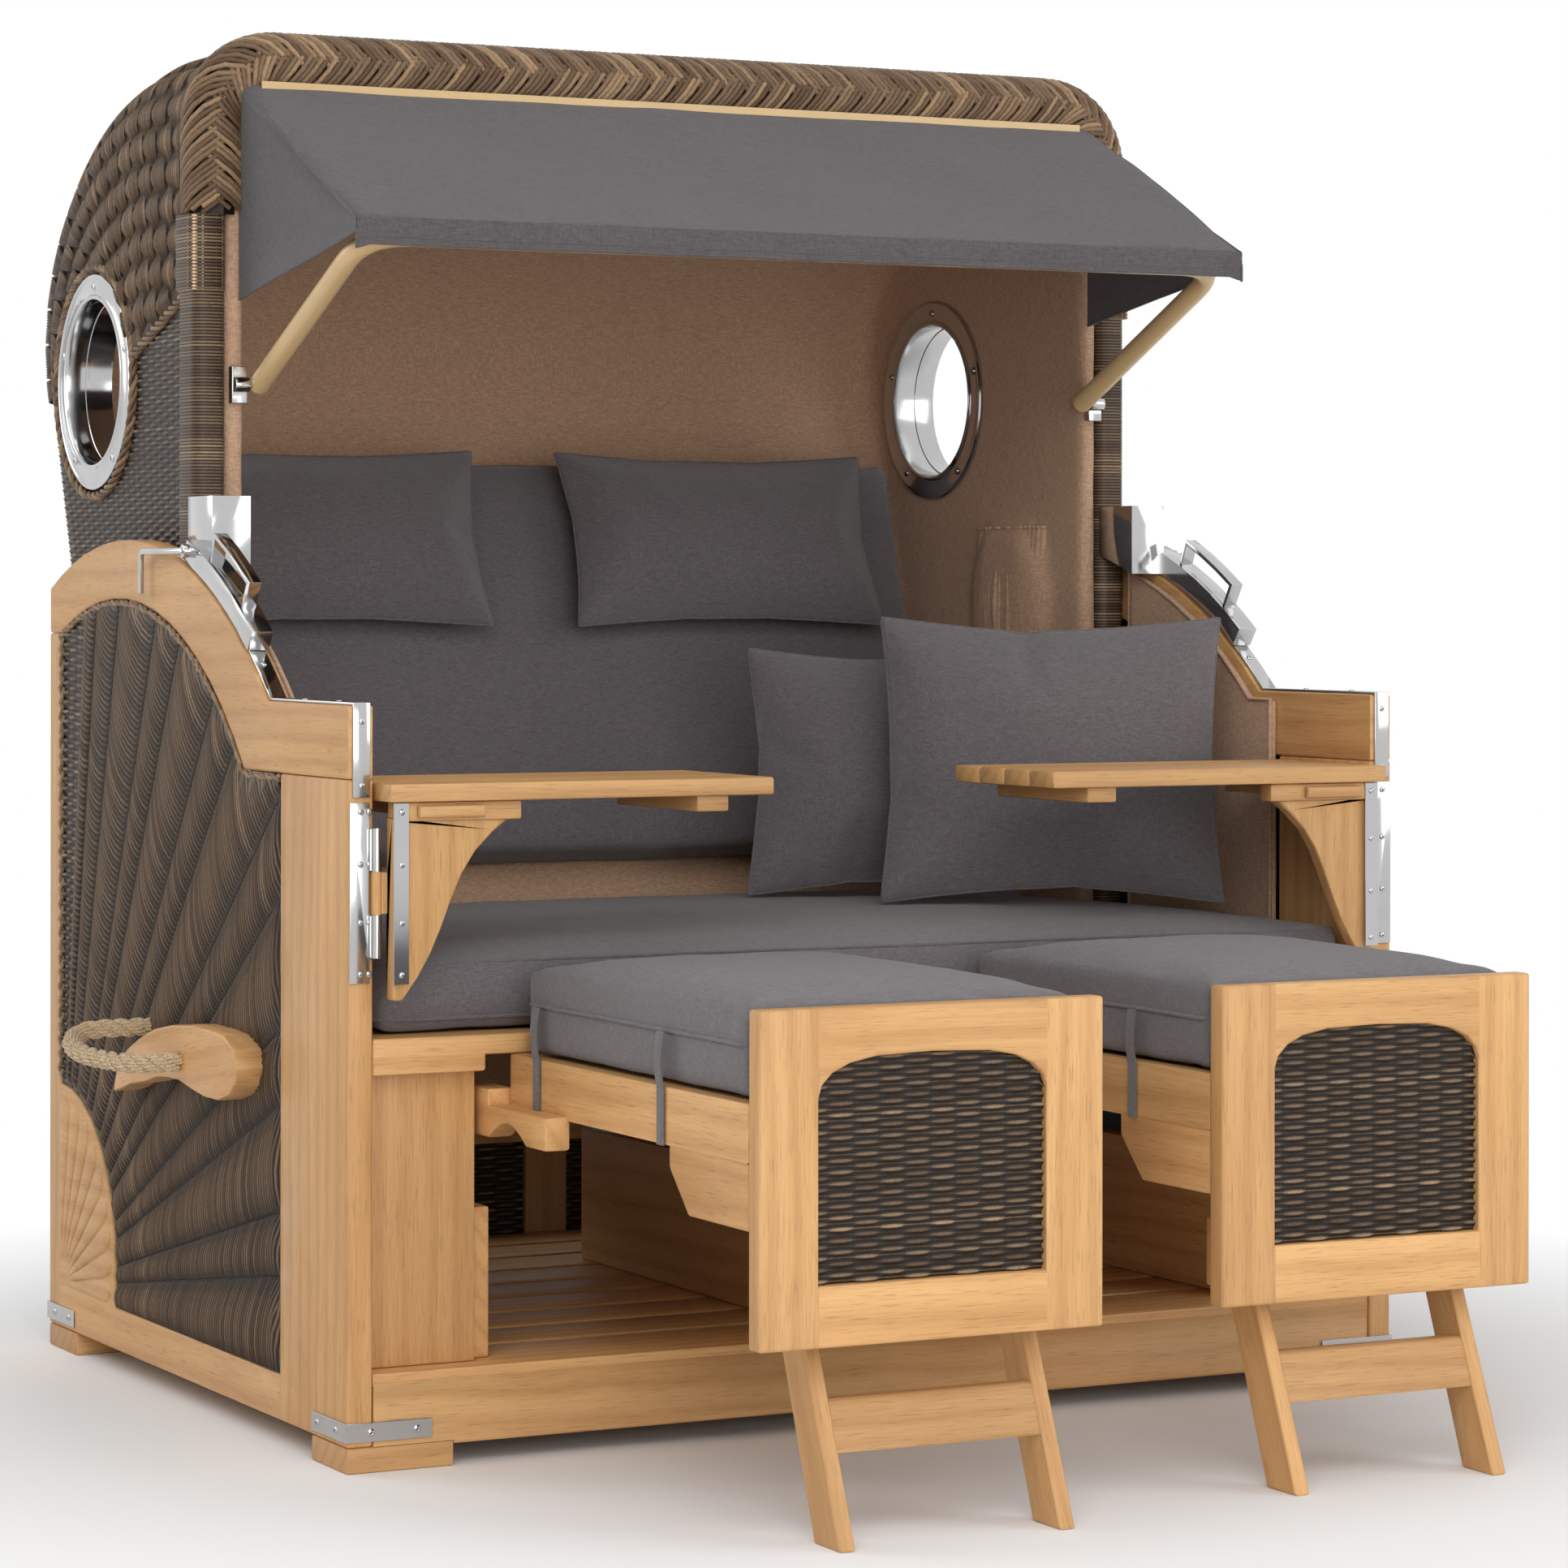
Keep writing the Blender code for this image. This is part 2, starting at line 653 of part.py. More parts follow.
def make_fittings():
    middle = HALF_WIDTH - BOARD / 2
    pair("arm_strip", lambda s: [side_outline([strip_outline()], s, middle - STRIP_WIDTH / 2,
                                              middle + STRIP_WIDTH / 2)], "steel", ROOT)


def handle_outline():
    """Carved block: a round head towards the front and a long tail with a forked tip."""
    shares = ((0.00, 0.00), (0.03, 0.26), (0.10, 0.42), (0.21, 0.46), (0.36, 0.46), (0.51, 0.40), (0.66, 0.28),
              (0.79, 0.08), (0.88, -0.10), (0.963, -0.35), (0.981, -0.56), (1.00, -0.78), (0.93, -0.70),
              (0.856, -0.60), (0.731, -0.51), (0.64, -0.40), (0.568, -0.37), (0.46, -0.36), (0.357, -0.44),
              (0.257, -0.50), (0.15, -0.50), (0.067, -0.39), (0.02, -0.22))
    return [(HANDLE_Y + HANDLE_LENGTH * along, HANDLE_Z + HANDLE_HEIGHT * up) for along, up in shares]


def rope_path(sign):
    """The rope leaves the block's head, swings out and comes back to the panel above the tail."""
    start = HALF_WIDTH + HANDLE_THICKNESS + GAP * 2
    end = HALF_WIDTH - SIDE_WICKER_RECESS + GAP * 2
    shares = ((0.00, 0.00, 0.00), (0.16, 0.00, 0.00), (0.62, 0.16, -0.10), (0.96, 0.46, 0.00), (1.00, 0.72, 0.25),
              (0.78, 0.93, 0.60), (0.40, 0.97, 0.90))
    path = [(sign * (start + ROPE_REACH * out), ROPE_Y + ROPE_SPAN * along, ROPE_Z + ROPE_RISE * up)
            for out, along, up in shares]
    finish = (ROPE_Y + ROPE_SPAN * 0.88, ROPE_Z + ROPE_RISE)
    return path + [(sign * (end + ROPE_RADIUS), *finish), (sign * end, *finish)]


def smooth_path(points, steps):
    """A Catmull-Rom curve through the points."""
    places = [Vector(point) for point in points]
    padded = [places[0] * 2 - places[1]] + places + [places[-1] * 2 - places[-2]]
    path = []
    for a, b, c, d in zip(padded, padded[1:], padded[2:], padded[3:]):
        for index in range(steps):
            t = index / steps
            path.append(0.5 * (2 * b + (c - a) * t + (2 * a - 5 * b + 4 * c - d) * t ** 2
                               + (3 * b - a - 3 * c + d) * t ** 3))
    return [tuple(point) for point in path] + [tuple(places[-1])]


def make_handles():
    face = HALF_WIDTH - SIDE_WICKER_RECESS + GAP
    pair("handle_block", lambda s: [side_outline([handle_outline()], s, face, HALF_WIDTH + HANDLE_THICKNESS)],
         "teak", ROOT)

    def rope(sign):
        start, *middle, end = rope_path(sign)
        return [tube([start] + smooth_path(middle, 3) + [end], ROPE_RADIUS, 2)]

    pair("rope_handle", rope, "rope", ROOT, smooth=True)


def make_floor():
    inner = INNER - GAP
    drawn = inner - SHADOW
    step_low = STEP_HEIGHT - STEP_THICKNESS
    rail_top = FOOT_HEIGHT + RAIL_HEIGHT

    def foot(sign, y):
        return side_box(sign, HALF_WIDTH - FOOT_WIDTH, HALF_WIDTH, y, y + FOOT_DEPTH, 0.0, FOOT_HEIGHT)

    node("front_rail", [
        box((-drawn, SHADOW, FOOT_HEIGHT - LAP), (drawn, BOARD, step_low + LAP)),
        box((-inner, SHADOW * 2, step_low), (inner, STEP_DEPTH, STEP_HEIGHT)),
        foot(-1, 0.0), foot(1, 0.0)], "teak", ROOT)
    start = STEP_DEPTH + SLAT_SPACING
    panel_face = DEPTH - REAR_PANEL_THICKNESS
    end = panel_face - SLAT_SPACING
    pitch = (end - start + SLAT_SPACING) / SLAT_COUNT
    slats = [box((-inner, start + i * pitch, step_low), (inner, start + (i + 1) * pitch - SLAT_SPACING, STEP_HEIGHT))
             for i in range(SLAT_COUNT)]
    bearers = sides(lambda s: [side_box(s, drawn - BOARD, drawn, start + SHADOW, end - SHADOW, FOOT_HEIGHT + GAP,
                                        step_low + LAP)])
    node("floor_slats", slats + bearers, "teak", ROOT)
    opening_top = REAR_PANEL_TOP - REAR_RAIL_HEIGHT
    wicker_face = DEPTH - REAR_WICKER
    node("rear_frame", [
        box((-drawn, panel_face, FOOT_HEIGHT - LAP), (drawn, DEPTH - SHADOW, rail_top)),
        box((-inner, panel_face, opening_top), (inner, DEPTH - SHADOW, REAR_PANEL_TOP)),
        box((-BOARD, panel_face + SHADOW, rail_top - LAP), (BOARD, wicker_face - GAP, opening_top + LAP)),
        *sides(lambda s: [side_box(s, inner - BOARD, inner - SHADOW, panel_face + SHADOW, wicker_face - GAP,
                                   rail_top - LAP, opening_top + LAP)]),
        foot(-1, DEPTH - FOOT_DEPTH), foot(1, DEPTH - FOOT_DEPTH)], "teak", ROOT)
    node("rear_wicker", [box((-inner, wicker_face, rail_top + GAP), (inner, DEPTH - SHADOW, opening_top - GAP))],
         "wicker", ROOT)


def seat_rail_outline():
    """The rail under the seat's front, cut away from below where the footrests slide through."""
    inner = INNER - GAP
    under = SEAT_TOP - SEAT_BOARD
    low = SEAT_TOP - SEAT_RAIL_DROP
    return [(-inner, low), (-PASSAGE_OUTER, low), (-PASSAGE_OUTER, under), (-PASSAGE_INNER, under),
            (-PASSAGE_INNER, low), (PASSAGE_INNER, low), (PASSAGE_INNER, under), (PASSAGE_OUTER, under),
            (PASSAGE_OUTER, low), (inner, low), (inner, SEAT_TOP), (-inner, SEAT_TOP)]


def make_seat():
    inner = INNER - GAP
    step = STEP_HEIGHT + GAP
    under = SEAT_TOP - SEAT_BOARD
    front = BOARD + GAP
    back = front + PARTITION_THICKNESS
    guide = PARTITION_INNER - GUIDE_THICKNESS
    near = 2 * FOOTREST_X - PARTITION_INNER
    far = near + GUIDE_THICKNESS
    rear = REAR_PROP_Y + REAR_PROP_WIDTH
    support = SUPPORT_THICKNESS / 2
    solids = [outline([seat_rail_outline()], "XZ", SHADOW * 2, front + SEAT_RAIL_DEPTH / 2)]
    solids += sides(lambda s: [
        side_box(s, PARTITION_INNER - LAP, inner - SHADOW, front, back, step, under + LAP),
        side_box(s, guide, PARTITION_INNER - GAP, back - LAP, REAR_PROP_Y + LAP, step, GUIDE_HEIGHT),
        side_box(s, guide - LAP, PARTITION_INNER + LAP, REAR_PROP_Y, rear, step, under + LAP),
        side_box(s, near, far, back - LAP, REAR_PROP_Y, step, GUIDE_HEIGHT)])
    solids += [box((-PASSAGE_INNER, front, step), (PASSAGE_INNER, back, under + LAP)),
               box((SHADOW - far, front + SHADOW, step + SHADOW), (far - SHADOW, back - SHADOW, GUIDE_HEIGHT - SHADOW)),
               box((-support, back - LAP, step), (support, rear, under + LAP))]
    shape = half_plan(inner - SHADOW, LINING_INNER - LINING, SEAT_WIDE_DEPTH, back - LAP, SEAT_DEPTH)
    solids.append(outline([shape], "XY", under, SEAT_TOP - SHADOW))
    node("seat_frame", solids, "teak", ROOT)
    NODES["seat_cushion"] = node("seat_cushion", [seat_cushion_mesh()], "grey_fabric", ROOT, smooth=True)
    pair("arm_lining", lambda s: [side_outline([arm_lining_outline()], s, inner - ARM_LINING, inner)],
         "sand_lining", ROOT)


def half_plan(wide, narrow, wide_depth, front, back):
    """Plan of a seat: full width between the arms, narrower where the hood's walls stand."""
    return [(-wide, front), (wide, front), (wide, wide_depth), (narrow, wide_depth), (narrow, back),
            (-narrow, back), (-narrow, wide_depth), (-wide, wide_depth)]


def seat_cushion_mesh():
    """A box cushion with a crowned top whose rear part is narrower, between the hood's walls."""
    wide = INNER - ARM_LINING - GAP * 10
    narrow = LINING_INNER - GAP * 10
    low = SEAT_TOP + GAP
    length = SEAT_CUSHION_BACK - SEAT_CUSHION_FRONT
    bm = bmesh.new()
    bmesh.ops.create_cube(bm, size=2.0)
    bmesh.ops.subdivide_edges(bm, edges=bm.edges, cuts=CUSHION_CUTS + 2, use_grid_fill=True)
    for vertex in bm.verts:
        u, v, w = vertex.co
        y = SEAT_CUSHION_FRONT + length * (v + 1) / 2
        taper = min(max((y - SEAT_WIDE_DEPTH * 0.72) / (SEAT_WIDE_DEPTH * 0.25), 0.0), 1.0)
        half = wide + (narrow - wide) * taper
        edge = (1 - abs(u) ** 6) * (1 - abs(v) ** 6)
        height = SEAT_CUSHION * (w + 1) / 2 * (0.86 + 0.14 * edge)
        inset = SEAT_CUSHION * 0.10 * (w * w) * (1 if abs(v) == 1 else 0)
        vertex.co = (half * u, y - math.copysign(inset, v), low + height)
    return finish_mesh(bm)


def arm_lining_outline():
    """Padded lining on the inside of the arm, under its ogee edge."""
    sink = ARM_LINING_SINK
    end = math.degrees(math.asin((ARM_LINING_BACK - PIVOT_Y) / (ARM_RADIUS - sink)))
    low_arc = -math.degrees(math.acos((ARM_TOP - sink - PIVOT_Z) / (ARM_RADIUS - sink)))
    crest = arc((PIVOT_Y, PIVOT_Z), ARM_RADIUS - sink, low_arc, end, 8)
    bottom = SEAT_TOP + GAP
    front = FRONT_POST_WIDTH + SHADOW * 2
    return [(front, bottom), (front, ARM_TOP - sink)] + crest + [(ARM_LINING_BACK, bottom)]


# Hood
def hood_profile(inset, front, low):
    """The hood's side view, set in from the outside, with its front and lower ends as given."""
    wide = HOOD_REAR - HOOD_ARC_Y - inset
    tall = HOOD_TOP - HOOD_ARC_Z - inset
    slide = inset / math.cos(LEAN)
    points = [(front, low), (front, HOOD_ARC_Z + tall)]
    for index in range(HOOD_ARC_STEPS + 1):
        turn = math.radians(90 - HOOD_ARC_DEGREES * index / HOOD_ARC_STEPS)
        points.append((HOOD_ARC_Y + wide * math.cos(turn), HOOD_ARC_Z + tall * math.sin(turn)))
    points.append((HOOD_FOOT_Y - slide + (low - HOOD_FOOT_Z) * math.tan(LEAN), low))
    return points


def hood_block(inset, half, front, low):
    """A solid of the hood's form, lofted over side views that draw in to round its long edges."""
    radius = HOOD_CORNER - inset
    stations = []
    for index in range(HOOD_CORNER_STEPS + 1):
        turn = math.radians(90 * index / HOOD_CORNER_STEPS)
        stations.append((half - radius * (1 - math.sin(turn)), inset + radius * (1 - math.cos(turn))))
    stations = [(-x, drawn) for x, drawn in stations[::-1]] + stations
    bm = bmesh.new()
    rings = []
    for x, drawn in stations:
        rings.append([bm.verts.new((x, y, z)) for y, z in hood_profile(drawn, front, low)])
    for near, far in zip(rings, rings[1:]):
        for index in range(len(near)):
            follow = (index + 1) % len(near)
            bm.faces.new((near[index], near[follow], far[follow], far[index]))
    bm.faces.new(rings[0][::-1])
    bm.faces.new(rings[-1])
    return finish_mesh(bm)


def make_hood():
    wicker = node("hood_wicker", [hood_block(0.0, HOOD_HALF, WICKER_FRONT, HOOD_LOW)], "wicker", HOOD)
    beyond = POST_DEPTH
    cut(wicker, hood_block(WICKER, WICKER_INNER, WICKER_FRONT - beyond, HOOD_LOW - beyond), "hood_hollow")
    lining_inset = WICKER + GAP
    lining = node("hood_lining", [hood_block(lining_inset, LINING_OUTER, HOOD_FRONT + GAP * 4, HOOD_LOW)],
                  "sand_lining", HOOD)
    cut(lining, hood_block(lining_inset + LINING, LINING_INNER, HOOD_FRONT - beyond, HOOD_LOW - beyond),
        "lining_hollow")
    bore = PORTHOLE_RADIUS + PORTHOLE_TUBE + GAP
    for target in (wicker, lining):
        hole = cylinder((-HALF_WIDTH, PORTHOLE_Y, PORTHOLE_Z), (HALF_WIDTH, PORTHOLE_Y, PORTHOLE_Z), bore, 32)
        cut(target, hole, "porthole_bore")
        cut(target, pivot_bore(PIVOT_RADIUS + GAP), "bolt_bore")
    bag = cushion((POCKET_DEPTH * 2, POCKET_WIDTH, POCKET_TOP - POCKET_LOW), 0.5, 0.0)
    bag.transform(Matrix.Translation((LINING_INNER, POCKET_Y, (POCKET_TOP + POCKET_LOW) / 2)))
    cut(lining, bag, "pocket", "UNION")
    NODES["hood_lining"] = lining


def rounded_bar(low_x, high_x, low_y, high_y, radius):
    corners = ((high_x - radius, high_y - radius, 0), (high_x - radius, low_y + radius, 90),
               (low_x + radius, low_y + radius, 180), (low_x + radius, high_y - radius, 270))
    points = []
    for x, y, start in corners:
        points += arc((x, y), radius, start, start + 90, 2)
    return points


def border_path():
    """Middle line of the plaited border: up from one collar, over the hood and down to the other."""
    x = LINING_OUTER + GAP + POST_WIDTH - BORDER_RADIUS
    y = HOOD_FRONT + BORDER_RADIUS - COLLAR_PROUD
    z = HOOD_TOP - BORDER_RADIUS * 0.5
    low = COLLAR_HIGH + GAP
    return round_corners([(-x, y, low), (-x, y, z), (x, y, z), (x, y, low)], BORDER_CORNER, 4)


def make_hood_front():
    """Wound posts with their collars, and the plaited border round the hood's mouth."""
    inner = LINING_OUTER + GAP
    outer = inner + POST_WIDTH
    front = HOOD_FRONT
    back = HOOD_FRONT + POST_DEPTH

    def post(sign):
        low, high = across(sign, inner, outer)
        wide_low, wide_high = across(sign, inner + SHADOW, outer + COLLAR_PROUD)
        collar = rounded_bar(wide_low, wide_high, front - COLLAR_PROUD, back - SHADOW, POST_CORNER)
        return [outline([rounded_bar(low, high, front, back, POST_CORNER)], "XY", HOOD_LOW, COLLAR_HIGH - LAP),
                outline([collar], "XY", COLLAR_LOW, COLLAR_HIGH)]

    pair("hood_post", post, "wicker", HOOD, smooth=True)
    border = node("hood_border", [tube(border_path(), BORDER_RADIUS, 2)], "wicker", HOOD, smooth=True)
    cut(border, hood_block(-GAP, HOOD_HALF + GAP, WICKER_FRONT - GAP, HOOD_LOW), "border_rebate")
    cut(border, hood_block(WICKER, WICKER_INNER, HOOD_FRONT + GAP * 3, HOOD_LOW), "border_seat")
    side_face = HALF_WIDTH - SIDE_WICKER - SIDE_WICKER_RECESS - GAP * 2
    pair("hood_pivot", lambda s: [
        cylinder((s * (LINING_INNER - LINING / 2), PIVOT_Y, PIVOT_Z), (s * (LINING_INNER - GAP), PIVOT_Y, PIVOT_Z),
                 PIVOT_RADIUS * 2),
        cylinder((s * (LINING_INNER - LAP), PIVOT_Y, PIVOT_Z), (s * side_face, PIVOT_Y, PIVOT_Z), PIVOT_RADIUS)],
        "steel", HOOD)


def make_portholes():
    bore = PORTHOLE_RADIUS
    tube_outer = bore + PORTHOLE_TUBE
    inside = LINING_INNER - GAP
    outside = HOOD_HALF + GAP
    profile = [(bore, inside - PORTHOLE_LIP), (PORTHOLE_FLANGE, inside - PORTHOLE_LIP), (PORTHOLE_FLANGE, inside),
               (tube_outer, inside), (tube_outer, outside), (PORTHOLE_FLANGE, outside),
               (PORTHOLE_FLANGE, outside + PORTHOLE_LIP), (bore, outside + PORTHOLE_LIP)]
    pair("porthole", lambda s: [turned(profile, (0.0, PORTHOLE_Y, PORTHOLE_Z), (s, 0, 0))], "steel", HOOD,
         smooth=True)


def lock_arc(radius, start, end, steps):
    return arc((PIVOT_Y, PIVOT_Z), radius, start, end, steps)


def lever_points(sign):
    """The lock's bent rod: a run beside the slider and a short grip that hangs outside the arm."""
    radius = ARM_RADIUS + STRIP_THICKNESS + SLIDER_HEIGHT / 2
    end = math.radians(SLIDER_END_DEGREES)
    x = sign * (HALF_WIDTH + LEVER_OUT)
    y = PIVOT_Y + radius * math.sin(end)
    z = PIVOT_Z + radius * math.cos(end)
    return [(x, y - LEVER_RADIUS * 6, z), (x, y + LEVER_LENGTH, z), (x, y + LEVER_LENGTH, z - LEVER_DROP)]


def make_locks():
    middle = HALF_WIDTH - BOARD / 2
    post_inner = LINING_OUTER + GAP
    near = middle - SLIDER_WIDTH / 2
    far = middle + SLIDER_WIDTH / 2
    low = ARM_RADIUS + STRIP_THICKNESS + GAP * 3
    high = low + SLIDER_HEIGHT
    plate_high = low + LOCK_PLATE_HEIGHT
    post_face = -math.degrees(math.asin((PIVOT_Y - HOOD_FRONT + GAP) / (low + SLIDER_HEIGHT / 2)))

    def lock(sign):
        start = lever_points(sign)[0]
        slider = lock_arc(low, SLIDER_START_DEGREES, SLIDER_END_DEGREES, 6) + \
            lock_arc(high, SLIDER_END_DEGREES, SLIDER_START_DEGREES, 6)
        plate = lock_arc(low, SLIDER_END_DEGREES - 3.0, post_face, 3)
        plate = [(min(y, HOOD_FRONT - GAP), z) for y, z in plate] + [(HOOD_FRONT - GAP, PIVOT_Z + plate_high)]
        plate += [(plate[0][0], PIVOT_Z + plate_high)]
        ring = lock_arc(low + SLIDER_HEIGHT * 0.5, LOOP_START_DEGREES, LOOP_END_DEGREES, 3) + \
            lock_arc(low + SLIDER_HEIGHT * 0.5 + LOOP_RISE, LOOP_END_DEGREES, LOOP_START_DEGREES, 3)
        inset = math.degrees(LOOP_STRAP / low)
        hole = lock_arc(high + GAP, LOOP_START_DEGREES + inset, LOOP_END_DEGREES - inset, 3) + \
            lock_arc(low + SLIDER_HEIGHT * 0.5 + LOOP_RISE - LOOP_STRAP, LOOP_END_DEGREES - inset,
                     LOOP_START_DEGREES + inset, 3)
        return [side_outline([slider], sign, near, far),
                side_outline([plate], sign, post_inner, near + LAP),
                side_outline([ring, hole], sign, middle - LOOP_WIDTH / 2, middle + LOOP_WIDTH / 2),
                cylinder((sign * (far - LAP), start[1] + LEVER_RADIUS * 3, start[2]),
                         (sign * (HALF_WIDTH + LEVER_OUT - LEVER_RADIUS - GAP * 2), start[1] + LEVER_RADIUS * 3,
                          start[2]), LEVER_RADIUS * 2, 12)]

    pair("hood_lock", lock, "steel", HOOD)
    for sign, side in SIDES:
        path = round_corners(lever_points(sign), LEVER_RADIUS * 2.5, 3)
        node("lock_lever_" + side, [tube(path, LEVER_RADIUS, 1)], "steel", LEVERS[side], smooth=True)


def make_sockets():
    half = SOCKET_SIZE / 2
    face = HOOD_FRONT + GAP * 3
    inner = BOW_PIVOT_X + BOW_RADIUS + GAP
    outer = LINING_OUTER - SHADOW * 3
    pair("awning_socket", lambda s: [
        side_box(s, inner + SHADOW, outer, face - SOCKET_THICKNESS, face, BOW_PIVOT_Z - half, BOW_PIVOT_Z + half),
        cylinder((s * inner, BOW_PIVOT_Y, BOW_PIVOT_Z), (s * (outer - SHADOW), BOW_PIVOT_Y, BOW_PIVOT_Z),
                 SOCKET_PIN, 12)], "steel", HOOD)


# Awning
def bow_points():
    x = BOW_PIVOT_X
    return [(-x, BOW_PIVOT_Y, BOW_PIVOT_Z), (-x, BOW_FRONT_Y, BOW_FRONT_Z), (x, BOW_FRONT_Y, BOW_FRONT_Z),
            (x, BOW_PIVOT_Y, BOW_PIVOT_Z)]


def make_awning():
    path = round_corners(bow_points(), BOW_CORNER, 4)
    node("awning_bow", [tube(path, BOW_RADIUS, 2)], "painted_tube", BOW, smooth=True)
    clear = BOW_RADIUS + CLOTH + GAP
    top_y = HOOD_FRONT + GAP * 3
    front_y = BOW_FRONT_Y - clear
    hem = BOW_FRONT_Z - clear * 1.6
    half = BOW_PIVOT_X + clear
    side = [(top_y, AWNING_TOP), (front_y, BOW_FRONT_Z + clear), (front_y, hem), (top_y, GUSSET_LOW)]
    cloth = node("awning_cloth", [outline([side], "YZ", -half, half)], "grey_fabric", BOW)
    beyond = BOW_REACH
    drop = (AWNING_TOP - BOW_FRONT_Z - clear) / (top_y - front_y)
    inner = [(top_y + beyond, AWNING_TOP - CLOTH + drop * beyond), (front_y + CLOTH, BOW_FRONT_Z + clear - CLOTH),
             (front_y + CLOTH, hem - beyond), (top_y + beyond, hem - beyond)]
    cut(cloth, outline([inner], "YZ", CLOTH - half, half - CLOTH), "awning_hollow")
    cut(cloth, tube(border_path(), BORDER_RADIUS + GAP * 2, 2), "border_room")


# Tables
def wing_outline(start, top):
    """The bracket's wing: straight at the hinge, hollowed towards its tip."""
    low = top - WING_HEIGHT
    shape = [(start, top), (start, low), (start + WING_TIP, low)]
    for index in range(1, 8):
        share = index / 8
        bend = math.sin(share * math.pi) * WING_HEIGHT * 0.07 - math.sin(share * math.pi * 2) * WING_HEIGHT * 0.05
        shape.append((start + WING_TIP + (WING_TOP_LENGTH - WING_TIP) * share - bend * 0.6, low + WING_HEIGHT * share
                      + bend * 0.6))
    shape.append((start + WING_TOP_LENGTH, top))
    return shape


def make_table(side, sign, parent):
    start = HINGE_BARREL * 2 + GAP * 4
    under = TABLE_TOP - TABLE_THICKNESS
    cap_low = under - GAP - CAP_HEIGHT
    wing_back = HINGE_Y + HINGE_LEAF + GAP
    wing_front = wing_back - WING_THICKNESS

    def block(near, far, y_low, y_high, z_low, z_high):
        low, high = sorted((sign * (HINGE_X - near), sign * (HINGE_X - far)))
        return box((low, y_low, z_low), (high, y_high, z_high))

    shape = [(sign * (HINGE_X - u), v) for u, v in wing_outline(start, cap_low + LAP)]
    wing = outline([shape], "XZ", wing_front, wing_back)
    cap = block(start + SHADOW, start + CAP_LENGTH, wing_front - CAP_PROUD, wing_back - SHADOW, cap_low, under - GAP)
    low, high = knuckle_span(1)
    tab = block(HINGE_BARREL / 3, start + HINGE_BARREL, HINGE_Y - HINGE_LEAF / 2, HINGE_Y + HINGE_LEAF / 2,
                low + SHADOW, high - SHADOW)
    node("table_bracket_" + side, [wing, cap, tab, knuckle(sign, 1)], "teak", parent)
    front = wing_front - CAP_PROUD - LATCH_THICKNESS - GAP * 2
    back = front + TABLE_DEPTH
    pitch = (TABLE_DEPTH + TABLE_SLAT_SPACING) / TABLE_SLATS
    boards = [block(GAP * 10, TABLE_LENGTH, front + i * pitch, front + (i + 1) * pitch - TABLE_SLAT_SPACING,
                    under, TABLE_TOP) for i in range(TABLE_SLATS)]
    far = TABLE_LENGTH - TABLE_BATTEN_WIDTH * 1.3
    near = start + TABLE_BATTEN_WIDTH
    low, high = under - TABLE_BATTEN, under + LAP
    battens = [block(far - TABLE_BATTEN_WIDTH, far, front + TABLE_OVERHANG, back - TABLE_OVERHANG, low, high),
               block(near, near + TABLE_BATTEN_WIDTH, wing_back + GAP, back - TABLE_OVERHANG, low, high)]
    node("table_top_" + side, boards + battens, "teak", parent)


def knuckle_span(index):
    """Low and high end of one of the hinge's three knuckles; the middle one belongs to the table."""
    space = (HINGE_HIGH - HINGE_LOW - KNUCKLE * 3) / 2
    low = HINGE_LOW + space + index * KNUCKLE
    return low, low + KNUCKLE - GAP


def knuckle(sign, index):
    low, high = knuckle_span(index)
    return cylinder((sign * HINGE_X, HINGE_Y, low), (sign * HINGE_X, HINGE_Y, high), HINGE_BARREL, 12)


def hinge_leaf(sign):
    """The hinge leaf on the front post, with its two round knuckles."""
    near = HINGE_X + HINGE_BARREL + GAP
    solids = [side_box(sign, near, near + HINGE_FIXED_WIDTH, -GAP - HINGE_LEAF, -GAP, HINGE_LOW, HINGE_HIGH)]
    for index in (0, 2):
        low, high = knuckle_span(index)
        solids.append(side_box(sign, HINGE_X + HINGE_BARREL / 3, near + HINGE_BARREL / 3, HINGE_Y + GAP,
                               -GAP * 2, low + SHADOW, high - SHADOW))
        solids.append(knuckle(sign, index))
    return solids


def make_tables():
    pair("hinge_leaf", hinge_leaf, "steel", ROOT)
    for sign, side in SIDES:
        make_table(side, sign, TABLES[side])
        along = HINGE_X - HINGE_BARREL * 2 - GAP * 4 - LATCH_ALONG
        face = HINGE_Y + HINGE_LEAF + GAP - WING_THICKNESS - CAP_PROUD - GAP
        z = TABLE_TOP - TABLE_THICKNESS - GAP - CAP_HEIGHT / 2
        low, high = sorted((sign * (along - LATCH_LENGTH / 2), sign * (along + LATCH_LENGTH / 2)))
        latch = box((low, face - LATCH_THICKNESS, z - LATCH_HEIGHT / 2), (high, face, z + LATCH_HEIGHT / 2))
        node("table_latch_" + side, [latch], "teak", LATCHES[side])


# Footrests
def panel_arch(centre, clear=0.0):
    """The arched opening of a footrest's front panel, drawn in by a clearance."""
    half = FOOTREST_WIDTH / 2 - STILE_WIDTH - clear
    low = PANEL_LOW + PANEL_RAIL + clear
    spring = PANEL_HIGH - PANEL_ARCH_SIDE
    points = [(centre - half, low), (centre + half, low)]
    for index in range(11):
        turn = math.pi * index / 10
        bend = abs(math.cos(turn)) ** 0.6
        points.append((centre + half * math.copysign(bend, math.cos(turn)),
                       spring + (PANEL_ARCH_RISE - clear) * math.sin(turn)))
    return points


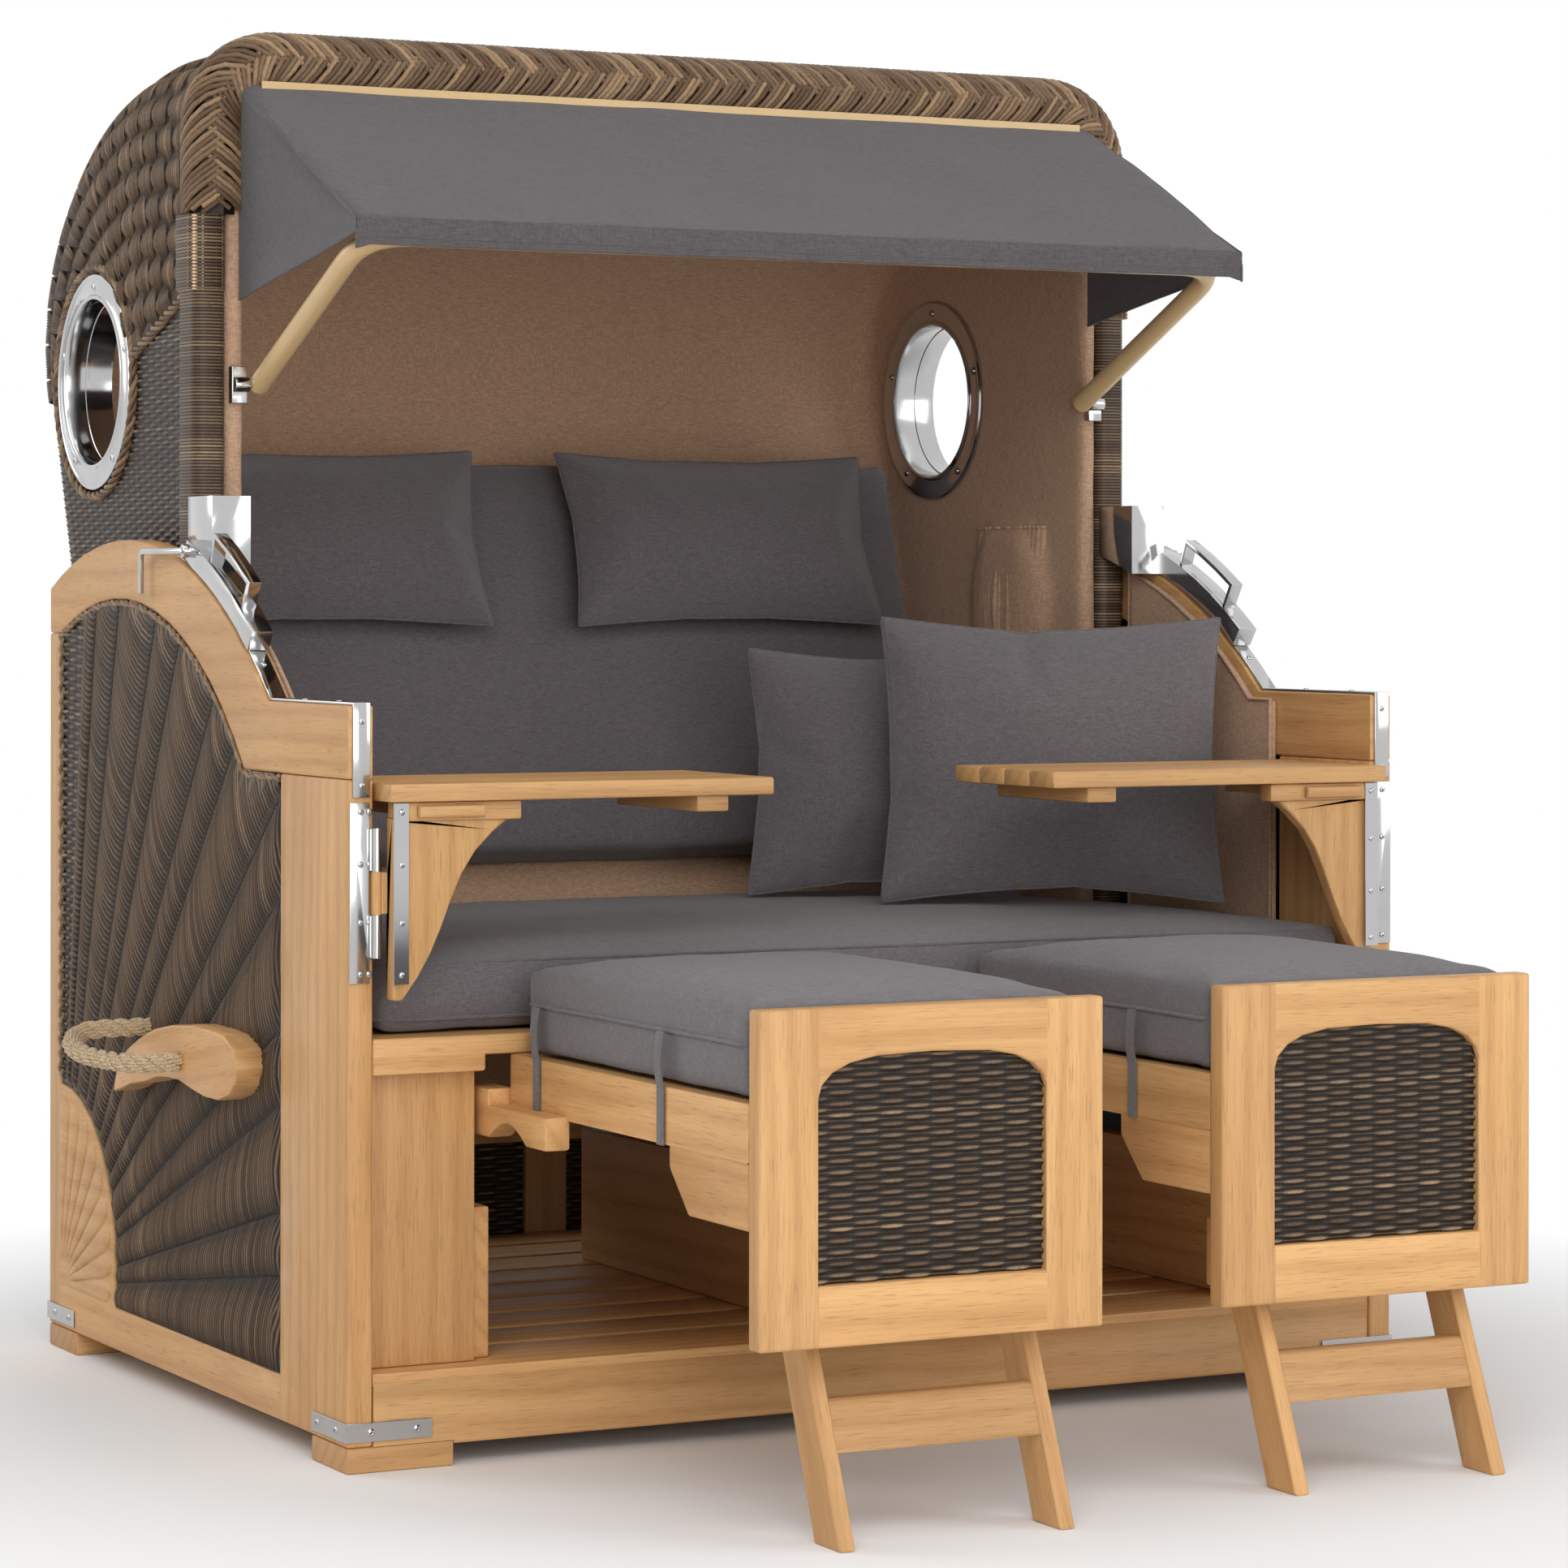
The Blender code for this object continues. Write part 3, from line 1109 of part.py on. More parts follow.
def runner_outline():
    """The runner: a taller tail behind the rail's end and a shallow arch in its lower edge."""
    high = FOOT_RAIL_TOP - FOOT_RAIL_HEIGHT + LAP
    low = high - RUNNER_HEIGHT
    tail = FOOT_RAIL_END + RUNNER_TAIL
    start = tail - RUNNER_LENGTH
    arch_start = FOOT_RAIL_END - RUNNER_ARCH * 2
    shape = [(start, high), (start, low), (arch_start, low)]
    for index in range(1, 6):
        share = index / 6
        shape.append((arch_start + 2 * RUNNER_ARCH * share, low + RUNNER_ARCH * 0.4 * math.sin(share * math.pi)))
    shape += [(arch_start + 2 * RUNNER_ARCH, low), (tail, low), (tail, low + RUNNER_TAIL_HEIGHT),
              (FOOT_RAIL_END + SHADOW, low + RUNNER_TAIL_HEIGHT), (FOOT_RAIL_END + SHADOW, high)]
    return shape


def leg_outline(front):
    """A leg that leans forwards from its hinge behind the panel to its flat foot."""
    hinge = (front + LEG_HINGE_BACK, LEG_HINGE_Z)
    lean = math.degrees(math.atan(LEG_SLOPE))
    cap = arc(hinge, LEG_ROUND, 90 + lean * 0.9, lean * 1.1 - 90, 8)
    return [(front + LEG_HEEL, 0.0)] + cap + [(front - LEG_TOE, 0.0)]


def make_footrest(side, sign):
    front = -FOOTREST_OUT[side]
    body = FOOTRESTS[side]
    centre = sign * FOOTREST_X
    half = FOOTREST_WIDTH / 2
    back = front + PANEL_THICKNESS
    frame = [(centre - half, PANEL_LOW), (centre + half, PANEL_LOW), (centre + half, PANEL_HIGH),
             (centre - half, PANEL_HIGH)]
    solids = [outline([frame, panel_arch(centre)], "XZ", front, back)]
    for edge in (-1, 1):
        leg_face = centre + LEG_SHIFT + edge * (LEG_SPACING / 2 + LEG_THICKNESS / 2 + GAP)
        low, high = sorted((leg_face, leg_face + edge * LEG_CHEEK))
        solids.append(box((low, back - LAP, LEG_HINGE_Z - LEG_CHEEK_HEIGHT / 2),
                          (high, front + LEG_HINGE_BACK + LEG_ROUND, LEG_HINGE_Z + LEG_CHEEK_HEIGHT / 2)))
    node("footrest_panel_" + side, solids, "teak", body)
    node("footrest_wicker_" + side, [outline([panel_arch(centre, GAP)], "XZ", back - LAP - PANEL_WICKER, back - LAP)],
         "wicker", body)
    make_footrest_frame(side, centre, back)
    start = back + GAP * 2
    end = -GAP * 20
    node("footrest_cushion_" + side, [footrest_pad(centre, start, end)], "grey_fabric", body, smooth=True)
    legs = []
    for edge in (-1, 1):
        leg_x = centre + LEG_SHIFT + edge * LEG_SPACING / 2
        legs.append(outline([leg_outline(front)], "YZ", leg_x - LEG_THICKNESS / 2, leg_x + LEG_THICKNESS / 2))
    reach = LEG_SPACING / 2 - LEG_THICKNESS / 2 + LAP
    low, high = CROSSBAR_Z - CROSSBAR_HEIGHT / 2, CROSSBAR_Z + CROSSBAR_HEIGHT / 2
    face = front - LEG_TOE + LAP
    bar = [(face + low * LEG_SLOPE, low), (face + high * LEG_SLOPE, high),
           (face + high * LEG_SLOPE + CROSSBAR_THICKNESS, high), (face + low * LEG_SLOPE + CROSSBAR_THICKNESS, low)]
    legs.append(outline([bar], "YZ", centre + LEG_SHIFT - reach, centre + LEG_SHIFT + reach))
    node("footrest_legs_" + side, legs, "teak", LEGS[side])


def footrest_pad(centre, start, end):
    """The footrest's box cushion: flat below, crowned above."""
    bm = bmesh.new()
    bmesh.ops.create_cube(bm, size=2.0)
    bmesh.ops.subdivide_edges(bm, edges=bm.edges, cuts=CUSHION_CUTS, use_grid_fill=True)
    low = FOOT_RAIL_TOP + GAP
    for vertex in bm.verts:
        u, v, w = vertex.co
        height = (w + 1) / 2 * (0.85 + 0.15 * (1 - abs(u) ** 4) * (1 - abs(v) ** 4))
        vertex.co = (centre + FOOTREST_WIDTH / 2 * u, start + (end - start) * (v + 1) / 2, low + FOOT_CUSHION * height)
    return finish_mesh(bm)


def make_footrest_frame(side, centre, back):
    """Two rails with blocks and runners under them, tied by a thin deck and a cross rail."""
    half = FOOTREST_WIDTH / 2
    rail_low = FOOT_RAIL_TOP - FOOT_RAIL_HEIGHT
    block_low = rail_low - FOOT_BLOCK_HEIGHT
    rear = back + FOOT_BLOCK_LENGTH
    block = [(back + SHADOW, rail_low + LAP), (back + SHADOW, block_low), (rear - FOOT_BLOCK_CHAMFER, block_low),
             (rear, block_low + FOOT_BLOCK_CHAMFER), (rear, rail_low + LAP)]
    solids = []
    for edge in (-1, 1):
        outer = centre + edge * half
        low, high = sorted((outer, outer - edge * FOOT_RAIL_THICKNESS))
        solids.append(box((low, back + GAP, rail_low), (high, FOOT_RAIL_END, FOOT_RAIL_TOP)))
        solids.append(outline([block], "YZ", low + SHADOW, high - SHADOW))
        low, high = sorted((outer - edge * LAP, outer - edge * LAP + edge * RUNNER_THICKNESS))
        solids.append(outline([runner_outline()], "YZ", low, high))
    inner = half - FOOT_RAIL_THICKNESS + LAP
    clear = back + GAP * 4
    solids += [box((centre - inner, clear, FOOT_RAIL_TOP - DECK_THICKNESS),
                   (centre + inner, FOOT_RAIL_END - SHADOW, FOOT_RAIL_TOP - SHADOW)),
               box((centre - inner, FOOT_RAIL_END - FOOT_RAIL_THICKNESS, rail_low + SHADOW),
                   (centre + inner, FOOT_RAIL_END - SHADOW * 2, FOOT_RAIL_TOP - DECK_THICKNESS + LAP))]
    node("footrest_frame_" + side, solids, "teak", FOOTRESTS[side])


# Cushions
def back_face(z):
    """Where the lining's inner face stands at a height."""
    inset = (WICKER + GAP + LINING) / math.cos(LEAN)
    return HOOD_FOOT_Y + (z - HOOD_FOOT_Z) * math.tan(LEAN) - inset


def place(made, middle, turn_x, turn_z=0.0):
    shift = made.location.copy()
    made.matrix_basis = Matrix.Translation(shift) @ Matrix.Translation(middle) @ \
        Matrix.Rotation(turn_z, 4, "Z") @ Matrix.Rotation(turn_x, 4, "X")


def make_cushions():
    height = (BACK_CUSHION_HIGH - BACK_CUSHION_LOW) / math.cos(LEAN)
    middle_z = (BACK_CUSHION_HIGH + BACK_CUSHION_LOW) / 2
    thick = BACK_CUSHION_THICKNESS
    back = node("back_cushion", [cushion((2 * BACK_CUSHION_HALF, thick, height - thick * math.tan(LEAN)), 0.84, 0.006)],
                "grey_fabric", HOOD, smooth=True)
    offset = thick / 2 / math.cos(LEAN) + GAP * 2
    place(back, (0.0, back_face(middle_z) - offset * 1.5, middle_z), -LEAN)
    settle(back, NODES["hood_lining"], (0.0, 1.0, 0.0))
    for side, x in HEAD_PILLOW_X.items():
        solid = cushion(HEAD_PILLOW, 0.16, 0.05)
        y = back_face(HEAD_PILLOW_Z) - 3 * offset - HEAD_PILLOW[1] / 2 / math.cos(LEAN)
        solid.transform(Matrix.Translation((x, y, HEAD_PILLOW_Z)) @ Matrix.Rotation(-LEAN, 4, "X"))
        pillow = node("head_pillow_" + side, [solid], "grey_fabric", HOOD, smooth=True)
        settle(pillow, back, (0.0, 1.0, 0.0))
    turn = math.radians(THROW_TURN_DEGREES)
    lean = math.radians(-THROW_LEAN_DEGREES)
    floor = SEAT_TOP + SEAT_CUSHION * 1.2
    for name, size, (x, y) in (("throw_pillow_large", THROW_LARGE, THROW_LARGE_AT),
                               ("throw_pillow_small", THROW_SMALL, THROW_SMALL_AT)):
        solid = cushion(size, 0.16, 0.05)
        solid.transform(Matrix.Translation((x, y, floor + size[2] / 2)) @ Matrix.Rotation(turn, 4, "Z")
                        @ Matrix.Rotation(lean, 4, "X"))
        pillow = node(name, [solid], "grey_fabric", ROOT, smooth=True)
        settle(pillow, NODES["seat_cushion"], (0.0, 0.0, -1.0))


clear_scene()
PART = collection("hooded_beach_chair")
CUTTERS = collection("cutters")
ROOT = empty("chair_root", (0.0, -MIDDLE_Y, 0.0))
HOOD = empty("hood_axis", (0.0, PIVOT_Y, PIVOT_Z), ROOT)
BOW = empty("bow_axis", (0.0, BOW_PIVOT_Y, BOW_PIVOT_Z), ROOT)
LEVERS, TABLES, LATCHES, FOOTRESTS, LEGS = {}, {}, {}, {}, {}
for direction, label in SIDES:
    lever = lever_points(direction)[0]
    LEVERS[label] = empty("lever_axis_" + label, lever, ROOT)
    TABLES[label] = empty("table_axis_" + label, (direction * HINGE_X, HINGE_Y, HINGE_LOW), ROOT)
    latch_x = direction * (HINGE_X - HINGE_BARREL * 2 - GAP * 4 - LATCH_ALONG + LATCH_LENGTH / 2 - LATCH_HEIGHT / 2)
    latch_z = TABLE_TOP - TABLE_THICKNESS - GAP - CAP_HEIGHT / 2
    LATCHES[label] = empty("latch_axis_" + label, (latch_x, HINGE_Y, latch_z), ROOT)
    rest_front = -FOOTREST_OUT[label]
    FOOTRESTS[label] = empty("footrest_slide_" + label, (direction * FOOTREST_X, rest_front, FOOT_RAIL_TOP), ROOT)
    LEGS[label] = empty("leg_axis_" + label, (direction * FOOTREST_X, rest_front + LEG_HINGE_BACK, LEG_HINGE_Z), ROOT)

make_side_frames()
make_side_panels()
make_fittings()
make_handles()
make_floor()
make_seat()
make_hood()
make_hood_front()
make_portholes()
make_locks()
make_sockets()
make_awning()
make_tables()
for direction, label in SIDES:
    make_footrest(label, direction)
make_cushions()
bpy.context.view_layer.update()
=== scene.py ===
"""Looks of the hooded beach chair: oiled wood, plaited wicker, woven cloth, rope and polished steel.

Metres, +Z up, X across the seat, -Y towards the sitters' feet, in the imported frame's own axes.
"""

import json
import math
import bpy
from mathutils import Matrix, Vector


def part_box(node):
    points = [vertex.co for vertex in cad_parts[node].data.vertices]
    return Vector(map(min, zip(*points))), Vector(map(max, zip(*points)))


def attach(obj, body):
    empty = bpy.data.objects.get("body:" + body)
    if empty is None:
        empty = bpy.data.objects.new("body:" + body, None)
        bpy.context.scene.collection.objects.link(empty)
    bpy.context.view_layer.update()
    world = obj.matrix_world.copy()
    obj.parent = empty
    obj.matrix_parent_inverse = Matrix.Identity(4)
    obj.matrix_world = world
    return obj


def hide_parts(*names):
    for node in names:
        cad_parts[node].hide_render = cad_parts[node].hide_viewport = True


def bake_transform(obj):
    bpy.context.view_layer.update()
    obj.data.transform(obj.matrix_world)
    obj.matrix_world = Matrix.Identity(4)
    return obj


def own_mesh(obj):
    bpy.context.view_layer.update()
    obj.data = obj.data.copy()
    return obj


bl_info = {
    "name": "Hooded Beach Chair",
    "version": (1, 0, 0),
    "blender": (4, 5, 0),
    "location": "View3D > Sidebar > Beach Chair",
    "description": "Dresses a two-seat hooded beach chair in wood, wicker, cloth, rope and steel",
    "category": "Object",
}

import bmesh
import bpy
import numpy as np
from bpy.props import FloatProperty, FloatVectorProperty, PointerProperty
from mathutils import Matrix, Vector, noise
from mathutils.bvhtree import BVHTree

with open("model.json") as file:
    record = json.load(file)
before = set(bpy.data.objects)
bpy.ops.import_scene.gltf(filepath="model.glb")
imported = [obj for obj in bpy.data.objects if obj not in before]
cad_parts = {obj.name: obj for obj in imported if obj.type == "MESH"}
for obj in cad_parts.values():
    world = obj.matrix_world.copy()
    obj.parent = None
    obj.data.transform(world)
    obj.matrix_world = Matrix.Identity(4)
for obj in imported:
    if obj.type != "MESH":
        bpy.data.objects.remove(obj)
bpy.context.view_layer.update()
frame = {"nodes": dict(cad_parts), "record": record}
CAD = frame["nodes"]
BODY_OF = {name: body for body, names in frame["record"]["behaviour"]["bodies"].items() for name in names}
SLOT_OF = {row["node"]: row["material_slot"] for row in frame["record"]["subparts"]}
SIDES = (("left", -1), ("right", 1))
OBJECTS = {}
MATERIALS = {}

# The photograph's camera, fitted to the box's corners and the portholes
CAMERA_PLACE = (-2.6052, -5.0417, 0.9552)
CAMERA_YAW = -0.478
CAMERA_ROLL = 0.0012
CAMERA_LENS = 108.23
CAMERA_SHIFT_Y = -0.1223

# Sizes of the hood that its woven faces follow
HOOD_HALF = 0.630
HOOD_WEAVE_FRONT = 0.3218
HOOD_LOW = 0.300
HOOD_ARC_Y = 0.439
HOOD_ARC_Z = 1.270
HOOD_ARC_WIDE = 0.472
HOOD_ARC_TALL = 0.336
HOOD_FOOT_Y = 0.604
HOOD_FOOT_Z = 0.330
HOOD_LEAN = math.radians(18.7)
HOOD_CORNER = 0.080
PORTHOLE_Y = 0.659
PORTHOLE_Z = 1.220
HOOD_ARC_END = 14.0
SCALE_LOW_FRONT = 1.315
SCALE_PORTHOLE_TURN = 170.0
SCALE_END_TURN = -20.0
SCALE_MEET_TURN = 70.0
PORTHOLE_RIM = 0.131
SCALE_STAKE = 0.040
SCALE_STRANDS = 12.0
SCALE_PROUD = 0.0028
PLAIN_STAKES = (22, 6, 27)
POST_X = (0.608, 0.648)
POST_Y = (0.2615, 0.3213)
POST_ROUND = 0.014
WINDINGS = (("post", HOOD_LOW + 0.002, 1.3148, 0.0), ("collar", 1.3152, 1.4048, 0.006))
BORDER_PLACE = (0.614, 0.2895)
BORDER_HEIGHTS = (1.4053, 1.589)
BORDER_CORNER = 0.075
UNBUNDLED = 100000.0


class WickerSizes(bpy.types.PropertyGroup):
    """Sizes and colours of the plastic strands."""
    pitch: FloatProperty(name="Strand pitch", description="Width of one strand", default=0.0042,
                         unit="LENGTH")
    plain_pitch: FloatProperty(name="Plain pitch", description="Strand width in the plain weave",
                               default=0.0056, unit="LENGTH")
    light: FloatVectorProperty(name="Sand strand", description="Lightest strand", subtype="COLOR",
                               default=(0.380, 0.246, 0.136))
    middle: FloatVectorProperty(name="Grey strand", description="Middle strand", subtype="COLOR",
                                default=(0.208, 0.134, 0.079))
    dark: FloatVectorProperty(name="Brown strand", description="Darkest strand", subtype="COLOR",
                              default=(0.098, 0.054, 0.028))


class WoodSizes(bpy.types.PropertyGroup):
    """Sizes and colours of the wooden boards."""
    edge: FloatProperty(name="Edge round", description="Radius of the boards' edges", default=0.0030,
                        unit="LENGTH")
    light: FloatVectorProperty(name="Pale wood", description="Wood between the growth lines", subtype="COLOR",
                               default=(0.680, 0.392, 0.160))
    dark: FloatVectorProperty(name="Brown wood", description="Wood in the growth lines", subtype="COLOR",
                              default=(0.420, 0.190, 0.062))


class ClothSizes(bpy.types.PropertyGroup):
    """Colours of the cloths."""
    grey: FloatVectorProperty(name="Cushion cloth", description="Colour of the cushions", subtype="COLOR",
                              default=(0.128, 0.112, 0.118))
    # The awning's colour is the cushions' grey, darkened in part by painted shade for the shade that the
    # awning lies in.
    awning: FloatVectorProperty(name="Awning cloth", description="Colour of the awning", subtype="COLOR",
                                default=(0.092, 0.082, 0.086))
    # The lining's own sand colour, made lighter as painted light for the shaded inside of the hood.
    lining: FloatVectorProperty(name="Lining cloth", description="Colour of the lining", subtype="COLOR",
                                default=(0.520, 0.325, 0.205))
    thread: FloatProperty(name="Thread pitch", description="Distance between two threads", default=0.0011,
                          unit="LENGTH")


class ChairSizes(bpy.types.PropertyGroup):
    """Everything that a user of the dressed chair may change."""
    wicker: PointerProperty(type=WickerSizes)
    wood: PointerProperty(type=WoodSizes)
    cloth: PointerProperty(type=ClothSizes)


def sizes():
    return bpy.context.scene.beach_chair


# Node trees
class Tree:
    """A node tree being built."""

    def __init__(self, tree):
        self.tree = tree

    def add(self, kind, inputs=None, **settings):
        """Adds a node; an input's value is a plain value, a socket, or a node whose first output is used."""
        node = self.tree.nodes.new(kind)
        for key, value in settings.items():
            setattr(node, key, value)
        for key, value in (inputs or {}).items():
            self.put(node.inputs[key], value)
        return node

    def put(self, socket, value):
        if isinstance(value, bpy.types.Node):
            value = value.outputs[0]
        if isinstance(value, bpy.types.NodeSocket):
            self.tree.links.new(value, socket)
        else:
            socket.default_value = value

    def math(self, operation, *values):
        node = self.tree.nodes.new("ShaderNodeMath")
        node.operation = operation
        for socket, value in zip(node.inputs, values):
            self.put(socket, value)
        return node.outputs[0]

    def vector(self, operation, *values, scale=None):
        node = self.tree.nodes.new("ShaderNodeVectorMath")
        node.operation = operation
        for socket, value in zip(node.inputs, values):
            self.put(socket, value)
        if scale is not None:
            self.put(node.inputs["Scale"], scale)
        return node.outputs["Value"] if operation in ("DOT_PRODUCT", "LENGTH") else node.outputs[0]

    def mix(self, share, first, second, blend="MIX"):
        node = self.add("ShaderNodeMix", data_type="RGBA", blend_type=blend)
        self.put(node.inputs[0], share)
        self.put(node.inputs[6], first)
        self.put(node.inputs[7], second)
        return node.outputs[2]

    def scaled(self, colour, factor):
        """A colour times a plain factor."""
        grey = self.add("ShaderNodeCombineColor", {0: factor, 1: factor, 2: factor})
        return self.mix(1.0, colour, grey, "MULTIPLY")

    def noise(self, vector, scale, detail=2.0, distortion=0.0):
        return self.add("ShaderNodeTexNoise", {"Vector": vector, "Scale": scale, "Detail": detail,
                                               "Distortion": distortion}).outputs[0]

    def remap(self, value, low, high, start=0.0, end=1.0):
        return self.add("ShaderNodeMapRange", {0: value, 1: low, 2: high, 3: start, 4: end}).outputs[0]

    def attribute(self, name, output="Fac"):
        return self.add("ShaderNodeAttribute", attribute_name=name).outputs[output]


def socket(group, name, kind, output=False, default=None):
    made = group.interface.new_socket(name=name, in_out="OUTPUT" if output else "INPUT",
                                      socket_type="NodeSocket" + kind)
    if default is not None:
        made.default_value = default
    return made


def shader_group(name, inputs, outputs):
    """An empty shader group with its sockets; returns the tree and its two end nodes."""
    group = bpy.data.node_groups.new(name, "ShaderNodeTree")
    for label, kind, default in inputs:
        socket(group, label, kind, default=default)
    for label, kind in outputs:
        socket(group, label, kind, output=True)
    tree = Tree(group)
    return tree, tree.add("NodeGroupInput"), tree.add("NodeGroupOutput")


def weave_group():
    """Two crossing sets of threads, each over and under the other in turn."""
    tree, given, out = shader_group("thread_weave", (("Vector", "Vector", None), ("Pitch", "Float", 0.001)),
                                    (("Height", "Float"), ("Shade", "Float")))
    turns = tree.math("DIVIDE", math.pi, given.outputs["Pitch"])
    uneven = tree.add("ShaderNodeTexNoise", {"Vector": given.outputs["Vector"], "Scale": 60.0, "Detail": 2.0})
    slubs = tree.vector("SCALE", uneven.outputs["Color"], scale=0.0009)
    place = tree.add("ShaderNodeSeparateXYZ", {0: tree.vector("ADD", given.outputs["Vector"], slubs)})
    across = tree.math("ADD", place.outputs[0], tree.math("MULTIPLY", place.outputs[1], 0.73))
    up = tree.math("ADD", place.outputs[2], tree.math("MULTIPLY", place.outputs[1], 0.68))
    warp = tree.math("SINE", tree.math("MULTIPLY", across, turns))
    weft = tree.math("SINE", tree.math("MULTIPLY", up, turns))
    height = tree.math("ABSOLUTE", tree.math("MULTIPLY", warp, weft))
    fine = tree.noise(tree.vector("MULTIPLY", given.outputs["Vector"], (1.0, 1.0, 0.12)), 900.0, 1.0)
    other = tree.noise(tree.vector("MULTIPLY", given.outputs["Vector"], (0.12, 0.12, 1.0)), 900.0, 1.0)
    shade = tree.math("ADD", tree.math("MULTIPLY", fine, 0.5), tree.math("MULTIPLY", other, 0.5))
    tree.put(out.inputs["Height"], height)
    tree.put(out.inputs["Shade"], shade)
    return tree.tree


def grain_group():
    """Growth lines, fibres and pores that run along each board's own grain."""
    tree, given, out = shader_group(
        "board_grain", (("Vector", "Vector", None), ("Axis", "Vector", None), ("Board", "Float", 0.0)),
        (("Figure", "Float"), ("Fibre", "Float"), ("Pore", "Float"), ("Cloud", "Float")))
    axis = given.outputs["Axis"]
    jump = tree.vector("SCALE", (3.1, 5.7, 4.3), scale=given.outputs["Board"])
    place = tree.vector("ADD", given.outputs["Vector"], jump)
    along = tree.vector("DOT_PRODUCT", place, axis)

    def drawn(share):
        part = tree.math("MULTIPLY", along, share)
        return tree.vector("SUBTRACT", place, tree.vector("SCALE", axis, scale=part))

    cloud = tree.noise(drawn(0.80), 9.0, 3.0, 0.6)
    across = tree.vector("DOT_PRODUCT", drawn(0.985), (0.62, 0.71, 0.58))
    phase = tree.math("ADD", tree.math("MULTIPLY", across, 330.0), tree.math("MULTIPLY", cloud, 9.0))
    lines = tree.math("SINE", phase)
    figure = tree.math("POWER", tree.remap(lines, -1.0, 1.0), 2.2)
    fibre = tree.noise(drawn(0.975), 420.0, 3.0)
    pore = tree.remap(tree.noise(drawn(0.955), 700.0, 1.0), 0.60, 0.72)
    for label, value in (("Figure", figure), ("Fibre", fibre), ("Pore", pore), ("Cloud", cloud)):
        tree.put(out.inputs[label], value)
    return tree.tree


def wear_group():
    """Soft marks and dust: low where the surface is clean, high where it is worn."""
    tree, given, out = shader_group("handled_marks", (("Vector", "Vector", None), ("Scale", "Float", 8.0)),
                                    (("Mark", "Float"), ("Fine", "Float")))
    broad = tree.noise(given.outputs["Vector"], given.outputs["Scale"], 4.0, 0.4)
    fine = tree.noise(given.outputs["Vector"], tree.math("MULTIPLY", given.outputs["Scale"], 22.0), 2.0)
    tree.put(out.inputs["Mark"], tree.remap(broad, 0.35, 0.75))
    tree.put(out.inputs["Fine"], fine)
    return tree.tree


def group_node(tree, name, inputs):
    build = {"thread_weave": weave_group, "board_grain": grain_group, "handled_marks": wear_group}
    group = bpy.data.node_groups.get(name) or build[name]()
    node = tree.tree.nodes.new("ShaderNodeGroup")
    node.node_tree = group
    for key, value in inputs.items():
        tree.put(node.inputs[key], value)
    return node


def finish_material(name, slot, build, **constants):
    """A material whose Principled sockets are set from constants, then from the finish's own nodes."""
    made = bpy.data.materials.new(name)
    made.use_nodes = True
    shader = made.node_tree.nodes["Principled BSDF"]
    for key, value in constants.items():
        shader.inputs[key.replace("_", " ")].default_value = value
    tree = Tree(made.node_tree)
    place = tree.add("ShaderNodeTexCoord").outputs["Object"]
    build(tree, shader, place)
    MATERIALS[name] = (made, slot)
    return made


def bump(tree, shader, height, depth, strength=1.0):
    tree.put(shader.inputs["Normal"], tree.add("ShaderNodeBump", {"Height": height, "Distance": depth,
                                                                 "Strength": strength}))


def wood_finish(tree, shader, place):
    wood = sizes().wood
    grain = group_node(tree, "board_grain", {"Vector": place, "Axis": tree.attribute("grain_axis", "Vector"),
                                             "Board": tree.attribute("board")})
    marks = group_node(tree, "handled_marks", {"Vector": place, "Scale": 6.0})
    base = tree.mix(tree.math("MULTIPLY", grain.outputs["Figure"], 0.34), (*wood.light, 1), (*wood.dark, 1))
    tone = tree.mix(tree.remap(grain.outputs["Cloud"], 0.35, 0.70, 0.0, 0.40), base, (*wood.dark, 1))
    board = tree.remap(tree.attribute("board"), 0.0, 1.0, 0.80, 1.12)
    tone = tree.scaled(tone, board)
    fibre = tree.remap(grain.outputs["Fibre"], 0.2, 0.8, 0.88, 1.10)
    tone = tree.scaled(tone, fibre)
    tone = tree.mix(tree.math("MULTIPLY", grain.outputs["Pore"], 0.30), tone, (0.17, 0.075, 0.028, 1))
    tree.put(shader.inputs["Base Color"], tone)
    rough = tree.math("ADD", tree.remap(grain.outputs["Fibre"], 0.2, 0.8, 0.40, 0.52),
                      tree.math("MULTIPLY", marks.outputs["Mark"], 0.08))
    tree.put(shader.inputs["Roughness"], rough)
    bump(tree, shader, tree.math("SUBTRACT", grain.outputs["Fibre"], grain.outputs["Pore"]), 0.00025, 0.6)


def wicker_finish(tree, shader, place):
    wicker = sizes().wicker
    strand = tree.attribute("strand")
    tone = tree.add("ShaderNodeValToRGB", {0: strand})
    ramp = tone.color_ramp
    ramp.elements[0].color = (*wicker.dark, 1)
    ramp.elements[1].color = (*wicker.light, 1)
    for position, colour in ((0.30, wicker.middle), (0.55, wicker.dark), (0.72, wicker.middle)):
        ramp.elements.new(position).color = (*colour, 1)
    streak = tree.noise(place, 260.0, 3.0)
    shade = tree.remap(streak, 0.3, 0.7, 0.78, 1.18)
    tinted = tree.scaled(tone.outputs[0], shade)
    # Painted shade: the stored crest value darkens the gaps between strands, and the crossings that dip
    # under, towards near black.
    painted_gap_shade = tree.remap(tree.attribute("crest_and_gap_shade"), 0.24, 0.72)
    tree.put(shader.inputs["Base Color"], tree.mix(painted_gap_shade, (0.012, 0.009, 0.007, 1), tinted))
    tree.put(shader.inputs["Roughness"], tree.remap(streak, 0.3, 0.7, 0.38, 0.55))
    bump(tree, shader, streak, 0.0003, 0.5)


